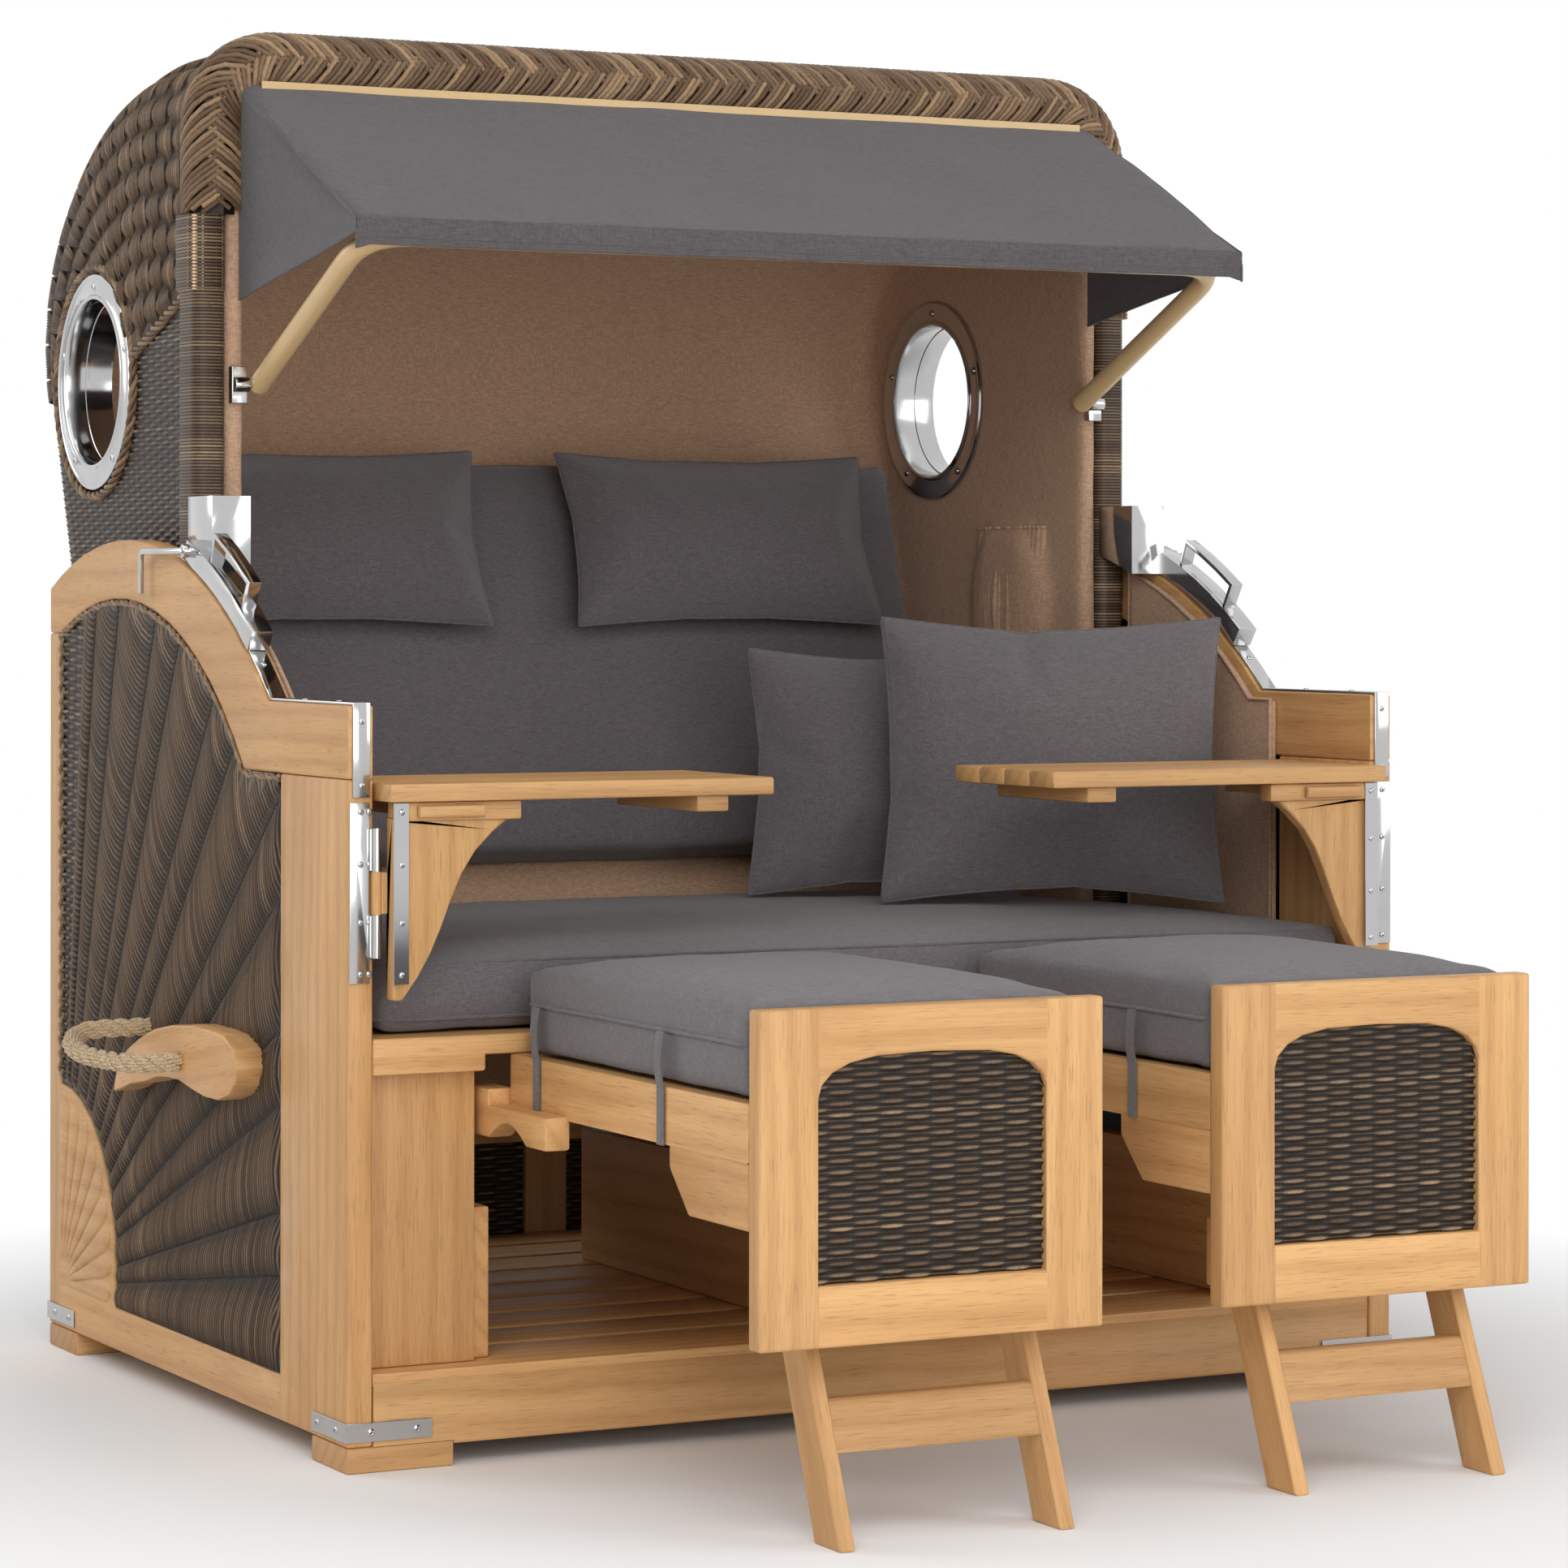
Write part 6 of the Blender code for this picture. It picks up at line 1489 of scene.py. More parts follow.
def add_strap(bm, x, y, edge):
    """A flat band from the piping down past the rail, with a hemmed end."""
    low, high = RAIL_UNDERSIDE - 0.002, PIPING_HEIGHT
    rows = 12
    ring = []
    for row in range(rows + 1):
        z = high + (low - high) * row / rows
        bulge = 0.0035 * math.sin(math.pi * min(1.0, row / 6)) if row < 6 else 0.0
        for across in (-0.5, -0.4, 0.4, 0.5):
            thin = 0.0004 if abs(across) > 0.45 else 0.0011
            ring.append([bm.verts.new((x + edge * (bulge + thin * face), y + across * STRAP_WIDTH, z))
                         for face in (1, -1)])
    for row in range(rows):
        for column in range(3):
            a, b = row * 4 + column, row * 4 + column + 1
            c, d = b + 4, a + 4
            for face in (0, 1):
                quad = [ring[a][face], ring[b][face], ring[c][face], ring[d][face]]
                bm.faces.new(quad if (face == 0) == (edge < 0) else quad[::-1])
    for row in range(rows):
        for column in (0, 3):
            a, d = row * 4 + column, (row + 1) * 4 + column
            quad = [ring[a][0], ring[d][0], ring[d][1], ring[a][1]]
            bm.faces.new(quad if (column == 0) == (edge < 0) else quad[::-1])
    for row in (0, rows):
        for column in range(3):
            a, b = row * 4 + column, row * 4 + column + 1
            quad = [ring[a][0], ring[a][1], ring[b][1], ring[b][0]]
            bm.faces.new(quad if (row == 0) == (edge < 0) else quad[::-1])
HEAD_PILLOW = (0.470, 0.100, 0.252)
THROW_LARGE = (0.435, 0.120, 0.365)
THROW_SMALL = (0.350, 0.110, 0.325)


class SewCushions(bpy.types.Operator):
    """Blows up the seat, back and footrest cushions and the loose pillows"""
    bl_idname = "beach_chair.sew_cushions"
    bl_label = "Cushions"

    def execute(self, context):
        lean = -HOOD_LEAN
        turn = math.radians(-27.0)
        back = math.radians(-9.0)
        for side, seed in (("left", 2.0), ("right", 5.0)):
            loose_pillow("head_pillow_" + side, "hood", HEAD_PILLOW, 0.0, lean, seed)
        loose_pillow("throw_pillow_large", "base", THROW_LARGE, turn, back, 7.0)
        loose_pillow("throw_pillow_small", "base", THROW_SMALL, turn, back, 9.0)
        seat = box_cushion("seat_cushion", "base", 0.010, 3.0, 0.006, 1.0)
        box_cushion("back_cushion", "hood", 0.010, 3.0, 0.008, 4.0)
        low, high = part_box("seat_cushion")
        rings = [section_ring(seat, high[2] - 0.018, 300), section_ring(seat, low[2] + 0.016, 300)]
        piping = round_strands("seat_piping", rings, 0.0022, "cushion_cloth", "base", sides=8, closed=True)
        for side, sign in SIDES:
            footrest_pad(side, sign)
        return {"FINISHED"}


# Lining
LINING_INNER = 0.5827
LINING_INSET = 0.0473
SEAM_PROUD = 0.0016


def soft_copy(node, body, voxel, finish, seed, depth, passes=6):
    """A rounded, faintly wrinkled copy of a soft node."""
    made = soft_form(node, voxel, 0.5, passes)
    crease_mesh(made.data, seed, depth)
    return piece("soft_" + node, evaluated(made), finish, body, (node,), smooth=80)


def lining_seams():
    """Piping where each cheek of the lining meets its back and roof."""
    paths = []
    for _, sign in SIDES:
        x = sign * (LINING_INNER - SEAM_PROUD)
        inset = LINING_INSET + 0.004
        y, z = hood_line(np.radians(np.linspace(90, -HOOD_ARC_END, 60)), inset)
        line = [(x, value, z[0]) for value in np.linspace(0.275, y[0], 12)[:-1]]
        line += [(x, *pair) for pair in zip(y, z)]
        line += [(x, float(hood_back(value, inset)), value) for value in np.linspace(z[-1], 0.345, 40)[1:]]
        paths.append(line)
    round_strands("lining_seams", paths, 0.0026, "lining_cloth", "hood")


POCKET_FRONT = 0.346
POCKET_REAR = 0.540
POCKET_BOTTOM = 0.842
POCKET_TOP = 1.042


def pocket():
    """A gathered pocket on the right-hand cheek, with an elastic hem at its mouth."""
    columns, rows = 90, 40
    bm = bmesh.new()
    grid = []
    for row in range(rows + 1):
        up = row / rows
        line = []
        for column in range(columns + 1):
            across = column / columns
            edge = math.sin(math.pi * across) ** 0.35 if 0 < across < 1 else 0.0
            belly = 0.010 + 0.013 * math.sin(math.pi * min(1.0, up * 0.9 + 0.08))
            gather = 0.0022 * math.sin(2 * math.pi * across * 19 + 1.3 * math.sin(across * 9)) * up ** 1.5
            gather += 0.0020 * noise.noise(Vector((across * 12, up * 3, 2.0))) * 2
            narrow = 1.0 - 0.10 * up
            y = (POCKET_FRONT + POCKET_REAR) / 2 + (across - 0.5) * (POCKET_REAR - POCKET_FRONT) * narrow
            foot = min(1.0, up * 8)
            x = LINING_INNER + 0.0005 - edge * foot * (belly + gather)
            line.append(bm.verts.new((x, y, POCKET_BOTTOM + (POCKET_TOP - POCKET_BOTTOM) * up)))
        grid.append(line)
    for a, b, c, d in quads(grid):
        bm.faces.new((a, d, c, b))
    hem = [vertex.co.copy() for vertex in grid[-1]]
    cloth = piece("lining_pocket", thickened(bm, "pocket", 0.0016), "lining_cloth", "hood", smooth=80)
    edge = round_strands("pocket_hem", [hem], 0.0030, "lining_cloth", "hood", sides=8)


def arm_lining(side, sign):
    """Padded cloth inside the arm, edged with piping."""
    node = "arm_lining_" + side
    made = soft_copy(node, "base", 0.0035, "lining_cloth", 2.0 + sign, 0.0008, 3)
    bm = welded(node)
    inner = [face for face in bm.faces if face.normal.x * sign < 0]
    face = max(inner, key=lambda face: face.calc_area())
    middle = face.calc_center_median()
    outline = [middle + (loop.vert.co - middle) * 0.992 for loop in face.loops]
    bm.free()
    for point in outline:
        point.x -= sign * 0.0008
    round_strands("arm_piping_" + side, [outline], 0.0026, "lining_cloth", "base", sides=8, closed=True)


class LineHood(bpy.types.Operator):
    """Lines the hood and the arms with padded cloth, seams and a pocket"""
    bl_idname = "beach_chair.line_hood"
    bl_label = "Lining"

    def execute(self, context):
        lining = soft_copy("hood_lining", "hood", 0.0095, "lining_cloth", 6.0, 0.0012)
        lining_seams()
        pocket()
        for side, sign in SIDES:
            arm_lining(side, sign)
        return {"FINISHED"}


# Awning
AWNING_HALF = 0.5888
AWNING_REAR = 0.2622
AWNING_TOP = 1.5645
AWNING_LOW = 1.305
BOW_PIVOT_X = 0.572
BOW_PIVOT_Y = 0.2475
BOW_PIVOT_Z = 1.202
BOW_FRONT_Y = -0.0865
BOW_FRONT_Z = 1.360
BOW_RADIUS = 0.0125
BOW_CORNER = 0.060
AWNING_DROP = 0.030
BATTEN_Y = (0.2462, 0.2492)
BATTEN_Z = (1.5560, 1.5655)


def awning_section(share):
    """Where the cloth's left edge, top and right edge lie: -1 to 1 across, and how far down a side."""
    if share < 0.2:
        return -1.0, (0.2 - share) / 0.2
    if share > 0.8:
        return 1.0, (share - 0.8) / 0.2
    return (share - 0.5) / 0.3, 0.0


def awning_cloth():
    """One sheet: stretched from the border to the bow, folded down at both sides and over the bow."""
    across, along, hem_rows = 150, 40, 8
    bm = bmesh.new()
    grid = []
    front_y = BOW_FRONT_Y - BOW_RADIUS - 0.0075
    for row in range(along + hem_rows + 1):
        run = min(1.0, row / along)
        hang = max(0.0, (row - along) / hem_rows)
        line = []
        for column in range(across + 1):
            x_share, down = awning_section(column / across)
            rear = Vector((AWNING_HALF * x_share, AWNING_REAR, AWNING_TOP - (AWNING_TOP - AWNING_LOW) * down))
            droop = AWNING_DROP * 0.55
            front = Vector((AWNING_HALF * x_share, front_y, BOW_FRONT_Z + BOW_RADIUS + 0.006 - droop * down))
            place = rear.lerp(front, run)
            place.z -= 0.010 * math.sin(math.pi * run) * (1 - x_share ** 2) * (1 - down)
            place.z -= hang * AWNING_DROP * (1 - 0.35 * down)
            if (1 - abs(x_share)) < 0.02 and down < 0.06:
                place.z -= 0.004
            x, y, _ = place
            fold = noise.noise(Vector((x * 5.5 + y * 3.0, y * 4.0 - x * 1.2, down * 3))) * 0.0060
            fold += noise.noise(Vector((x * 16.0 - y * 9.0, y * 10.0, 4.0 + down))) * 0.0022
            ripple = 0.0030 * math.sin(x * 34 + 2.0 * math.sin(x * 9)) * hang
            keep = math.sin(math.pi * min(1.0, run)) ** 0.5
            if down > 0:
                belly = 0.012 * math.sin(math.pi * run) * down * (1 - down) * 4
                place.x -= x_share * (fold * 0.8 * keep + belly - 0.002)
            else:
                place.z += fold * keep
                place.y -= ripple
            line.append(bm.verts.new(place))
        grid.append(line)
    for a, b, c, d in quads(grid):
        bm.faces.new((a, d, c, b))
    seams = [[vertex.co + Vector((0, 0, 0.0006)) for vertex in (line[column] for line in grid[:along + 1])]
             for column in (30, 120)]
    hem = [vertex.co.copy() for vertex in grid[-1]]
    stitched = [vertex.co + Vector((0, -0.0008, 0.0)) for vertex in grid[-3]]
    sides = [[line[column].co.copy() for line in grid] for column in (0, across)]
    cloth = piece("awning_sheet", thickened(bm, "awning", 0.0020), "awning_cloth", None, ("awning_cloth",),
                  smooth=60)
    edges = round_strands("awning_hems", [hem] + sides, 0.0019, "awning_cloth", None)
    lines = round_strands("awning_seams", seams + [stitched], 0.0010, "awning_cloth", None)
    for soft in (cloth, edges, lines):
        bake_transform(soft)


def awning_batten():
    """The pale batten under the border that holds the awning's upper edge."""
    bm = bmesh.new()
    half = AWNING_HALF - 0.020
    plate(bm, (-half, BATTEN_Y[0], BATTEN_Z[0]), (half, BATTEN_Y[1], BATTEN_Z[1]))
    finished_plates(bm, "awning_batten", "hood", "painted_tube")


def bow_path():
    """The bow's middle line, from one pivot round both bends to the other."""
    pivot, front = (BOW_PIVOT_Y, BOW_PIVOT_Z), (BOW_FRONT_Y, BOW_FRONT_Z)
    corners = [Vector((-BOW_PIVOT_X, *pivot)), Vector((-BOW_PIVOT_X, *front)), Vector((BOW_PIVOT_X, *front)),
               Vector((BOW_PIVOT_X, *pivot))]
    path = [corners[0]]
    for before, corner, after in zip(corners, corners[1:], corners[2:]):
        start = corner + (before - corner).normalized() * BOW_CORNER
        end = corner + (after - corner).normalized() * BOW_CORNER
        for share in np.linspace(0.0, 1.0, 14):
            path.append(start.lerp(corner, share).lerp(corner.lerp(end, share), share))
    return path + [corners[-1]]


class HangAwning(bpy.types.Operator):
    """Stretches the awning over its bent bow"""
    bl_idname = "beach_chair.hang_awning"
    bl_label = "Awning"

    def execute(self, context):
        round_strands("bent_bow", [bow_path()], BOW_RADIUS, "painted_tube", "awning", sides=20,
                      stands_for=("awning_bow",))
        awning_cloth()
        awning_batten()
        return {"FINISHED"}


# Rope
ROPE_Y = 0.131
ROPE_Z = 0.410
ROPE_REACH = 0.074
ROPE_SPAN = 0.215
ROPE_RISE = 0.024


def rope_route(sign):
    """The rope leaves the block's head, swings out and comes back to the panel above the tail."""
    start, end = 0.7146, 0.6776
    shares = ((0.00, 0.00, 0.00), (0.16, 0.00, 0.00), (0.62, 0.16, -0.10), (0.96, 0.46, 0.00),
              (1.00, 0.72, 0.25), (0.78, 0.93, 0.60), (0.40, 0.97, 0.90))
    path = [(sign * (start + ROPE_REACH * out), ROPE_Y + ROPE_SPAN * along, ROPE_Z + ROPE_RISE * up)
            for out, along, up in shares]
    finish = (ROPE_Y + ROPE_SPAN * 0.88, ROPE_Z + ROPE_RISE)
    return path + [(sign * (end + 0.0108), *finish), (sign * end, *finish)]


class LayRopes(bpy.types.Operator):
    """Lays the rope handles from three strands of twisted yarn"""
    bl_idname = "beach_chair.lay_ropes"
    bl_label = "Rope handles"

    def execute(self, context):
        for side, sign in SIDES:
            route = smooth_path(rope_route(sign), 14)
            yarns = []
            for strand in laid(route, 3, 0.0056, 0.058):
                yarns += laid(strand, 6, 0.0042, -0.046)
            round_strands("laid_rope_" + side, yarns, 0.0021, "laid_rope", "base", sides=6,
                          stands_for=("rope_handle_" + side,))
        return {"FINISHED"}


# Steel
def screw_group():
    """Sets a domed screw with a cross recess on every point, along the point's own facing."""
    tree, given, out = geometry_group("domed_screws", (("Radius", "Float", 0.0040),
                                                       ("Material", "Material", None)))
    dome = tree.add("GeometryNodeMeshUVSphere", {"Segments": 14, "Rings": 8, "Radius": given["Radius"]})
    flat = tree.add("GeometryNodeTransform", {"Geometry": dome, "Scale": (1.0, 1.0, 0.42)})
    slots = []
    for angle in (0.6, 0.6 + math.pi / 2):
        bar = tree.add("GeometryNodeMeshCube", {"Size": tree.vector(
            "SCALE", (1.15, 0.26, 0.40), scale=given["Radius"])})
        lifted = tree.add("GeometryNodeTransform", {
            "Geometry": bar, "Translation": tree.vector("SCALE", (0.0, 0.0, 0.36), scale=given["Radius"]),
            "Rotation": (0.0, 0.0, angle)})
        slots.append(lifted)
    cut = tree.add("GeometryNodeMeshBoolean", operation="DIFFERENCE")
    tree.put(cut.inputs["Mesh 1"], flat)
    for slot in slots:
        tree.tree.links.new(slot.outputs[0], cut.inputs["Mesh 2"])
    facing = named(tree, "facing", "FLOAT_VECTOR")
    turn = tree.add("FunctionNodeAlignRotationToVector", {"Vector": facing}, axis="Z")
    placed = tree.add("GeometryNodeInstanceOnPoints",
                      {"Points": given["Geometry"], "Instance": cut.outputs["Mesh"], "Rotation": turn})
    return close_geometry(tree, placed, given, out)


def screws(name, places, radius, body):
    """Domed screws at places, each with the way that it faces."""
    mesh = bpy.data.meshes.new(name)
    mesh.from_pydata([place for place, _ in places], [], [])
    layer = mesh.attributes.new("facing", "FLOAT_VECTOR", "POINT")
    layer.data.foreach_set("vector", np.array([facing for _, facing in places], dtype=np.float32).ravel())
    made = bpy.data.objects.new(name, mesh)
    mesh = grown(made, "domed_screws", screw_group, "polished_steel", Radius=radius)
    return piece(name, mesh, "polished_steel", body, smooth=35)


PORTHOLE_PROFILE = (
    (0.6304, 0.1370), (0.6350, 0.1372), (0.6375, 0.1360), (0.6383, 0.1335), (0.6374, 0.1310),
    (0.6362, 0.1300), (0.6362, 0.1120), (0.6372, 0.1105), (0.6392, 0.1095), (0.6396, 0.1075),
    (0.6385, 0.1050), (0.6350, 0.1036), (0.6120, 0.1034), (0.6112, 0.1022), (0.6080, 0.1022),
    (0.6072, 0.1034), (0.5800, 0.1036), (0.5755, 0.1046), (0.5744, 0.1070), (0.5756, 0.1100),
    (0.5772, 0.1115), (0.5772, 0.1300), (0.5762, 0.1320), (0.5764, 0.1350), (0.5785, 0.1368),
    (0.5812, 0.1368), (0.5812, 0.1086), (0.6304, 0.1086))
PORTHOLE_FACES = (0.6362, 0.5772)
PORTHOLE_SCREW_RADIUS = 0.121
HINGE_SCREW_HEIGHTS = (0.717, 0.660, 0.597, 0.541)
BAND_SIDE = 0.6806
BAND_FRONT = -0.3016
BAND_REAR = 0.6996
BAND_HEIGHTS = (0.034, 0.055)
BAND_THICK = 0.0013
BAND_LEG = 0.100
ARM_MIDDLE = 0.665
ARM_FRONT = -0.3045
ARM_ARC_Y = 0.419
ARM_ARC_Z = 0.322
ARM_ARC_RADIUS = 0.6995
ARM_TOP = 0.8355


def turned(profile, side, sign):
    """Turns a closed profile of (x, radius) points about the porthole's axis."""
    bm = bmesh.new()
    steps = 96
    rings = []
    for index in range(steps):
        turn = 2 * math.pi * index / steps
        rings.append([bm.verts.new((sign * x, PORTHOLE_Y + radius * math.cos(turn),
                                    PORTHOLE_Z + radius * math.sin(turn))) for x, radius in profile])
    loft(bm, rings + rings[:1])
    bmesh.ops.recalc_face_normals(bm, faces=bm.faces)
    return mesh_from(bm, "porthole_" + side)


def porthole(side, sign):
    """A turned steel window: outer flange with two rolled edges, a stepped tube and an inner flange."""
    piece("turned_porthole_" + side, turned(PORTHOLE_PROFILE, side, sign), "polished_steel", "hood",
          ("porthole_" + side,), smooth=40)
    places = []
    for index in range(5):
        turn = math.radians(18 + 72 * index)
        y = PORTHOLE_Y + PORTHOLE_SCREW_RADIUS * math.cos(turn)
        z = PORTHOLE_Z + PORTHOLE_SCREW_RADIUS * math.sin(turn)
        places.append(((sign * PORTHOLE_FACES[0], y, z), (sign, 0.0, 0.0)))
        places.append(((sign * PORTHOLE_FACES[1], y, z), (-sign, 0.0, 0.0)))
    screws("porthole_screws_" + side, places, 0.0055, "hood")


def dress_steel_node(node):
    """A node's own form with slightly rounded edges."""
    bm = welded(node)
    edges = [edge for edge in bm.edges if len(edge.link_faces) == 2 and edge.is_convex
             and edge.calc_face_angle(0.0) > math.radians(50) and edge.calc_length() > 0.003]
    if edges:
        bmesh.ops.bevel(bm, geom=edges, offset=0.0006, segments=2, profile=0.5, affect="EDGES",
                        clamp_overlap=True)
    piece("steel_" + node, mesh_from(bm, node), "polished_steel", BODY_OF[node], (node,), smooth=32)


def plate(bm, low, high):
    """A thin rectangular plate."""
    made = bmesh.ops.create_cube(bm, size=1.0)
    for vertex in made["verts"]:
        for axis in range(3):
            vertex.co[axis] = low[axis] if vertex.co[axis] < 0 else high[axis]


def signed_plate(bm, sign, x_from, x_to, y_from, y_to, z_from, z_to):
    """A plate on one side of the chair; a pair of its limits may come in either order."""
    x_low, x_high = sorted((sign * x_from, sign * x_to))
    y_low, y_high = sorted((y_from, y_to))
    plate(bm, (x_low, y_low, z_from), (x_high, y_high, z_to))


def finished_plates(bm, name, body, finish="polished_steel"):
    """Breaks the plates' edges and makes them one piece."""
    bmesh.ops.bevel(bm, geom=list(bm.edges), offset=0.0004, segments=1, affect="EDGES", clamp_overlap=True)
    return piece(name, mesh_from(bm, name), finish, body, smooth=35)


def corner_bands(side, sign):
    """Steel bands round the box's lower corners, each with two screws on either leg."""
    x, middle = BAND_SIDE, sum(BAND_HEIGHTS) / 2
    for label, y, facing in (("front", BAND_FRONT, -1), ("rear", BAND_REAR, 1)):
        bm = bmesh.new()
        signed_plate(bm, sign, x, x + BAND_THICK, y + facing * 0.0012, y - facing * BAND_LEG, *BAND_HEIGHTS)
        signed_plate(bm, sign, x - BAND_LEG, x + BAND_THICK, y, y + facing * BAND_THICK, *BAND_HEIGHTS)
        finished_plates(bm, "corner_band_" + label + "_" + side, "base")
        places = []
        for share in (0.028, 0.082):
            places.append(((sign * (x + BAND_THICK), y - facing * share, middle), (sign, 0, 0)))
            places.append(((sign * (x - share), y + facing * BAND_THICK, middle), (0, facing, 0)))
        screws("corner_screws_" + label + "_" + side, places, 0.0044, "base")


def arm_screws(side, sign):
    """Screws of the arm's strip and of the hinge."""
    middle = sign * ARM_MIDDLE
    places = [((middle, ARM_FRONT, z), (0, -1, 0)) for z in (0.8150, 0.7450)]
    for turn in (-38.0, -27.0, -21.0):
        angle = math.radians(turn)
        y = ARM_ARC_Y + ARM_ARC_RADIUS * math.sin(angle)
        z = ARM_ARC_Z + ARM_ARC_RADIUS * math.cos(angle)
        places.append(((middle, y, z), (0, math.sin(angle), math.cos(angle))))
    places += [((middle, y, ARM_TOP), (0, 0, 1)) for y in (-0.24, -0.14)]
    for z in HINGE_SCREW_HEIGHTS:
        places.append(((sign * 0.6660, -0.3042, z), (0, -1, 0)))
        places.append(((sign * 0.6560, -0.3042, z), (0, -1, 0)))
    screws("arm_screws_" + side, places, 0.0036, "base")


def hinge(side, sign):
    """The swinging leaf on the table's bracket, with its screws."""
    body = "table_" + side
    bm = bmesh.new()
    signed_plate(bm, sign, 0.6215, 0.6395, -0.3333, -0.3318, 0.531, 0.727)
    finished_plates(bm, "hinge_wing_leaf_" + side, body)
    places = [((sign * 0.6300, -0.3334, z), (0, -1, 0)) for z in HINGE_SCREW_HEIGHTS]
    screws("hinge_screws_" + side, places, 0.0034, body)


class FitSteel(bpy.types.Operator):
    """Fits the polished steel: portholes, strips, hinges, locks, corner bands and screws"""
    bl_idname = "beach_chair.fit_steel"
    bl_label = "Steel fittings"

    def execute(self, context):
        for node, slot in SLOT_OF.items():
            if slot == "steel" and not node.startswith("porthole"):
                dress_steel_node(node)
        for side, sign in SIDES:
            porthole(side, sign)
            corner_bands(side, sign)
            arm_screws(side, sign)
            hinge(side, sign)
        return {"FINISHED"}


# Stage
FLOOR_SHADOW_REACH = 0.85
FLOOR_WHITE_REACH = 1.80
MIDDLE = (0.0, 0.0, 0.8)
# Each light's name, place, target, width, height and power
LIGHTS = (
    ("key", (-2.6, -4.2, 3.4), MIDDLE, 3.0, 2.4, 78.0),
    ("front", (-1.0, -5.4, 1.25), (0.0, 0.2, 0.9), 3.2, 2.0, 84.0),
    ("fill", (3.4, -3.6, 2.2), MIDDLE, 2.6, 2.6, 44.0),
    ("top", (0.0, -0.6, 4.6), MIDDLE, 4.0, 3.0, 22.0),
    ("back", (-3.4, 2.6, 2.4), MIDDLE, 2.4, 2.4, 38.0),
)


class SetStage(bpy.types.Operator):
    """Sets up the floor, the soft lights, the white surroundings and the camera"""
    bl_idname = "beach_chair.set_stage"
    bl_label = "Floor, lights and camera"

    def execute(self, context):
        set_floor()
        set_world(context.scene)
        set_lights()
        set_camera(context.scene)
        return {"FINISHED"}


def seen_directly(tree):
    """One for rays from the camera and for those that metal and glass show."""
    path = tree.add("ShaderNodeLightPath")
    return tree.math("MAXIMUM", path.outputs["Is Camera Ray"],
                     tree.math("MAXIMUM", path.outputs["Is Glossy Ray"], path.outputs["Is Transmission Ray"]))


def set_floor():
    """A pale floor that shows the chair's shadow near it and turns plain white further out."""
    bm = bmesh.new()
    bmesh.ops.create_grid(bm, x_segments=1, y_segments=1, size=30.0)
    floor = bpy.data.objects.new("floor", mesh_from(bm, "floor"))
    bpy.context.scene.collection.objects.link(floor)
    material = bpy.data.materials.new("pale_floor")
    material.use_nodes = True
    tree = Tree(material.node_tree)
    shader = material.node_tree.nodes["Principled BSDF"]
    shader.inputs["Base Color"].default_value = (0.94, 0.94, 0.94, 1)
    shader.inputs["Roughness"].default_value = 0.9
    away = tree.vector("LENGTH", tree.add("ShaderNodeTexCoord").outputs["Object"])
    share = tree.remap(away, FLOOR_SHADOW_REACH, FLOOR_WHITE_REACH)
    share = tree.math("MULTIPLY", share, seen_directly(tree))
    white = tree.add("ShaderNodeEmission", {"Color": (1, 1, 1, 1), "Strength": 1.0})
    blended = tree.add("ShaderNodeMixShader", {0: share})
    tree.tree.links.new(shader.outputs[0], blended.inputs[1])
    tree.tree.links.new(white.outputs[0], blended.inputs[2])
    tree.put(material.node_tree.nodes["Material Output"].inputs["Surface"], blended)
    floor.data.materials.append(material)


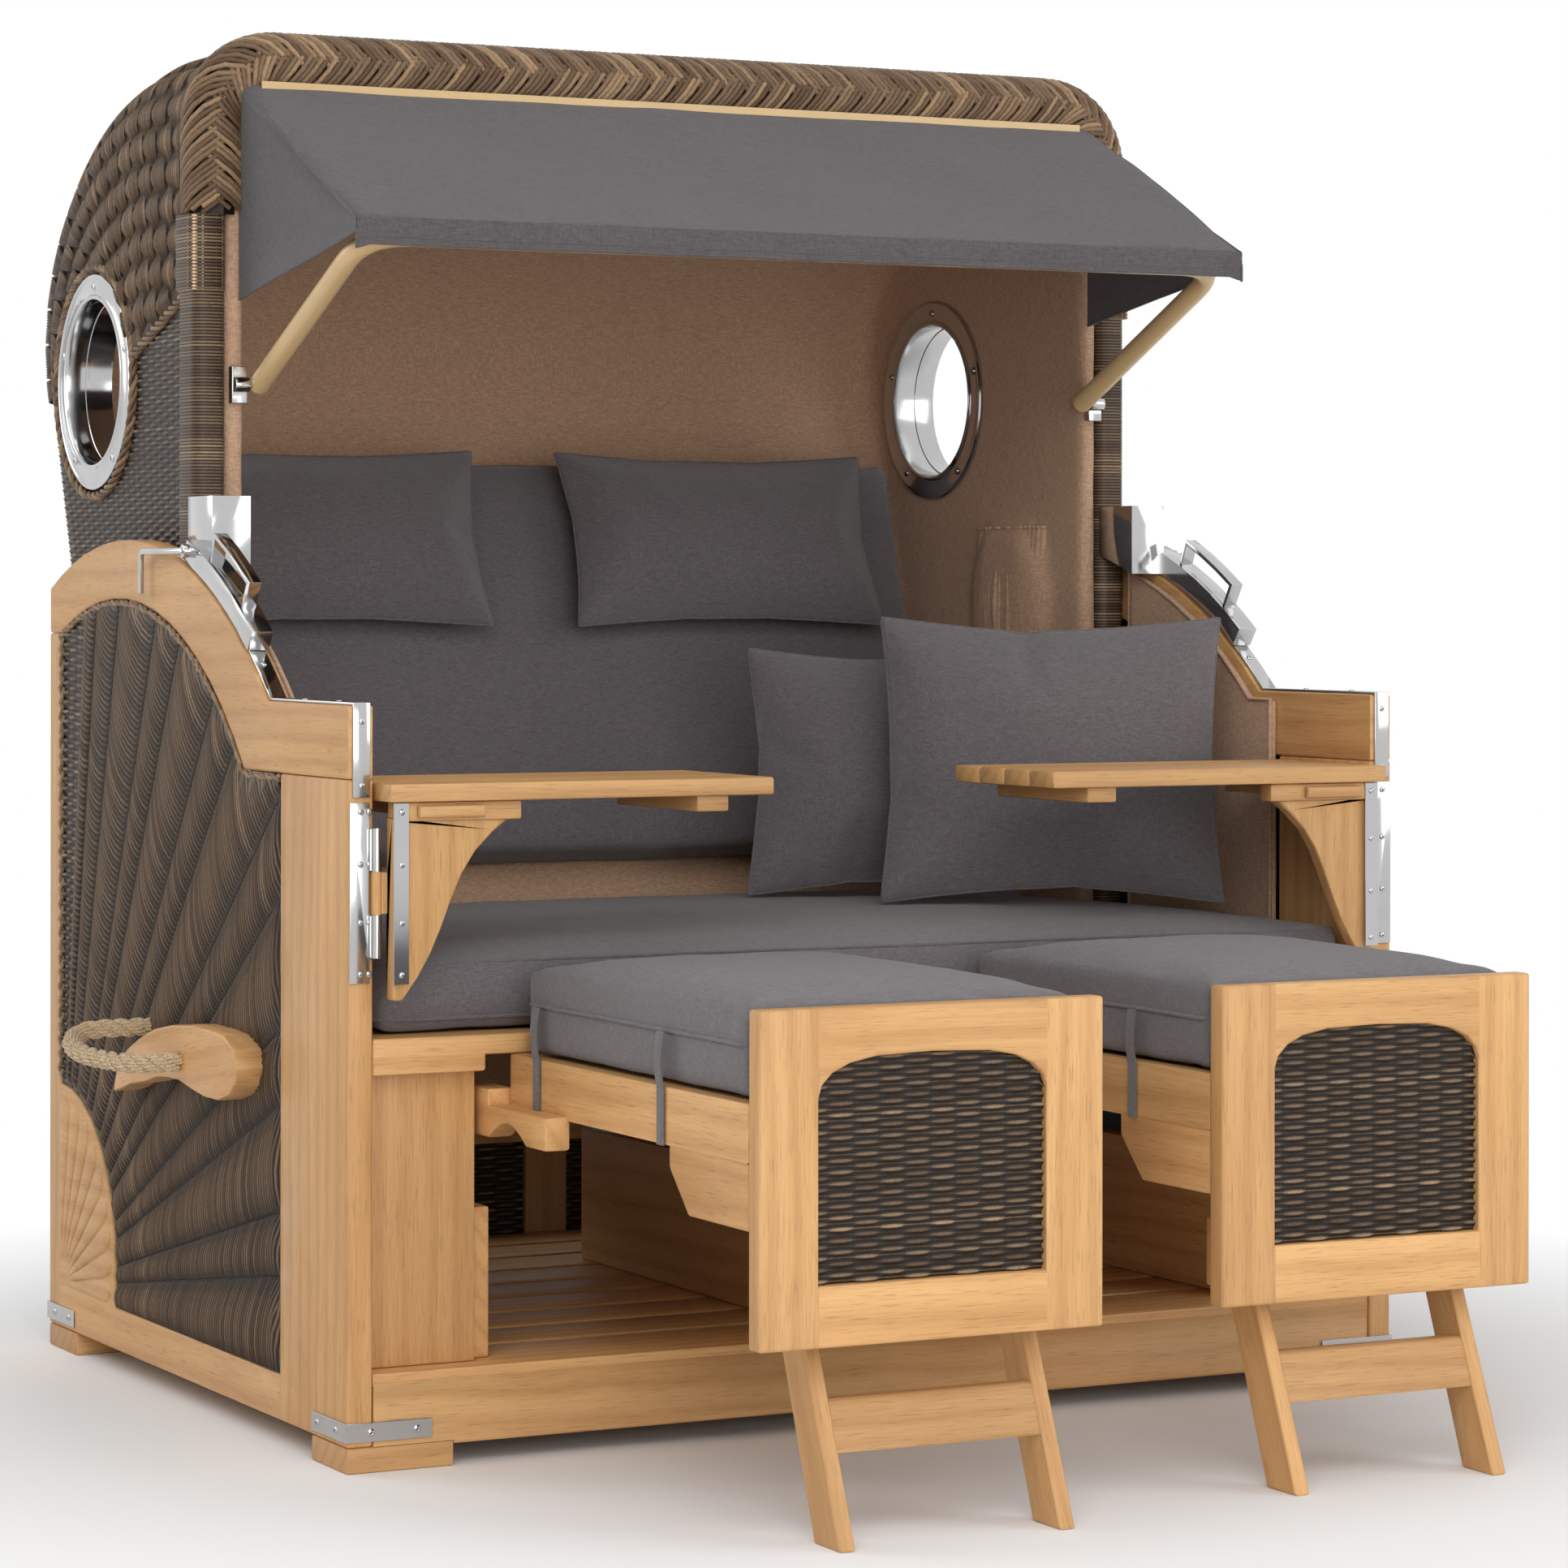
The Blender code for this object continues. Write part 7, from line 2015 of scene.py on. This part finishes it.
def set_world(scene):
    world = bpy.data.worlds.new("studio")
    scene.world = world
    world.use_nodes = True
    tree = Tree(world.node_tree)
    background = world.node_tree.nodes["Background"]
    seen = seen_directly(tree)
    tree.put(background.inputs["Color"], (1, 1, 1, 1))
    tree.put(background.inputs["Strength"], tree.remap(seen, 0.0, 1.0, 0.44, 1.0))
    scene.view_settings.view_transform = "Standard"


def area_light(name, place, target, width, height, power):
    data = bpy.data.lights.new(name, "AREA")
    data.shape = "RECTANGLE"
    data.size, data.size_y = width, height
    data.energy = power
    made = bpy.data.objects.new(name, data)
    bpy.context.scene.collection.objects.link(made)
    made.location = place
    made.rotation_euler = (Vector(target) - Vector(place)).to_track_quat("-Z", "Y").to_euler()


def set_lights():
    for row in LIGHTS:
        area_light(*row)


def set_camera(scene):
    data = bpy.data.cameras.new("camera")
    data.lens = CAMERA_LENS
    data.sensor_width = 36.0
    data.shift_y = CAMERA_SHIFT_Y
    made = bpy.data.objects.new("camera", data)
    scene.collection.objects.link(made)
    made.location = CAMERA_PLACE
    turn = Matrix.Rotation(CAMERA_YAW, 4, "Z") @ Matrix.Rotation(math.pi / 2, 4, "X") \
        @ Matrix.Rotation(CAMERA_ROLL, 4, "Z")
    made.rotation_euler = turn.to_euler()
    scene.camera = made


OPERATORS = (DressWood, WeaveWicker, FitSteel, LineHood, SewCushions, HangAwning, LayRopes, SetStage)


class ChairPanel(bpy.types.Panel):
    """Lists the sizes and the steps that dress the chair"""
    bl_idname = "VIEW3D_PT_beach_chair"
    bl_label = "Beach Chair"
    bl_space_type = "VIEW_3D"
    bl_region_type = "UI"
    bl_category = "Beach Chair"

    def draw(self, context):
        for group in (sizes().wicker, sizes().wood, sizes().cloth):
            for name in group.__annotations__:
                self.layout.prop(group, name)
        for operator in OPERATORS:
            self.layout.operator(operator.bl_idname)


CLASSES = (WickerSizes, WoodSizes, ClothSizes, ChairSizes, *OPERATORS, ChairPanel)


def register():
    for item in CLASSES:
        bpy.utils.register_class(item)
    bpy.types.Scene.beach_chair = PointerProperty(type=ChairSizes)


def unregister():
    del bpy.types.Scene.beach_chair
    for item in reversed(CLASSES):
        bpy.utils.unregister_class(item)


def main():
    register()
    make_materials()
    for operator in OPERATORS:
        family, name = operator.bl_idname.split(".")
        getattr(getattr(bpy.ops, family), name)()


if __name__ == "__main__":
    main()
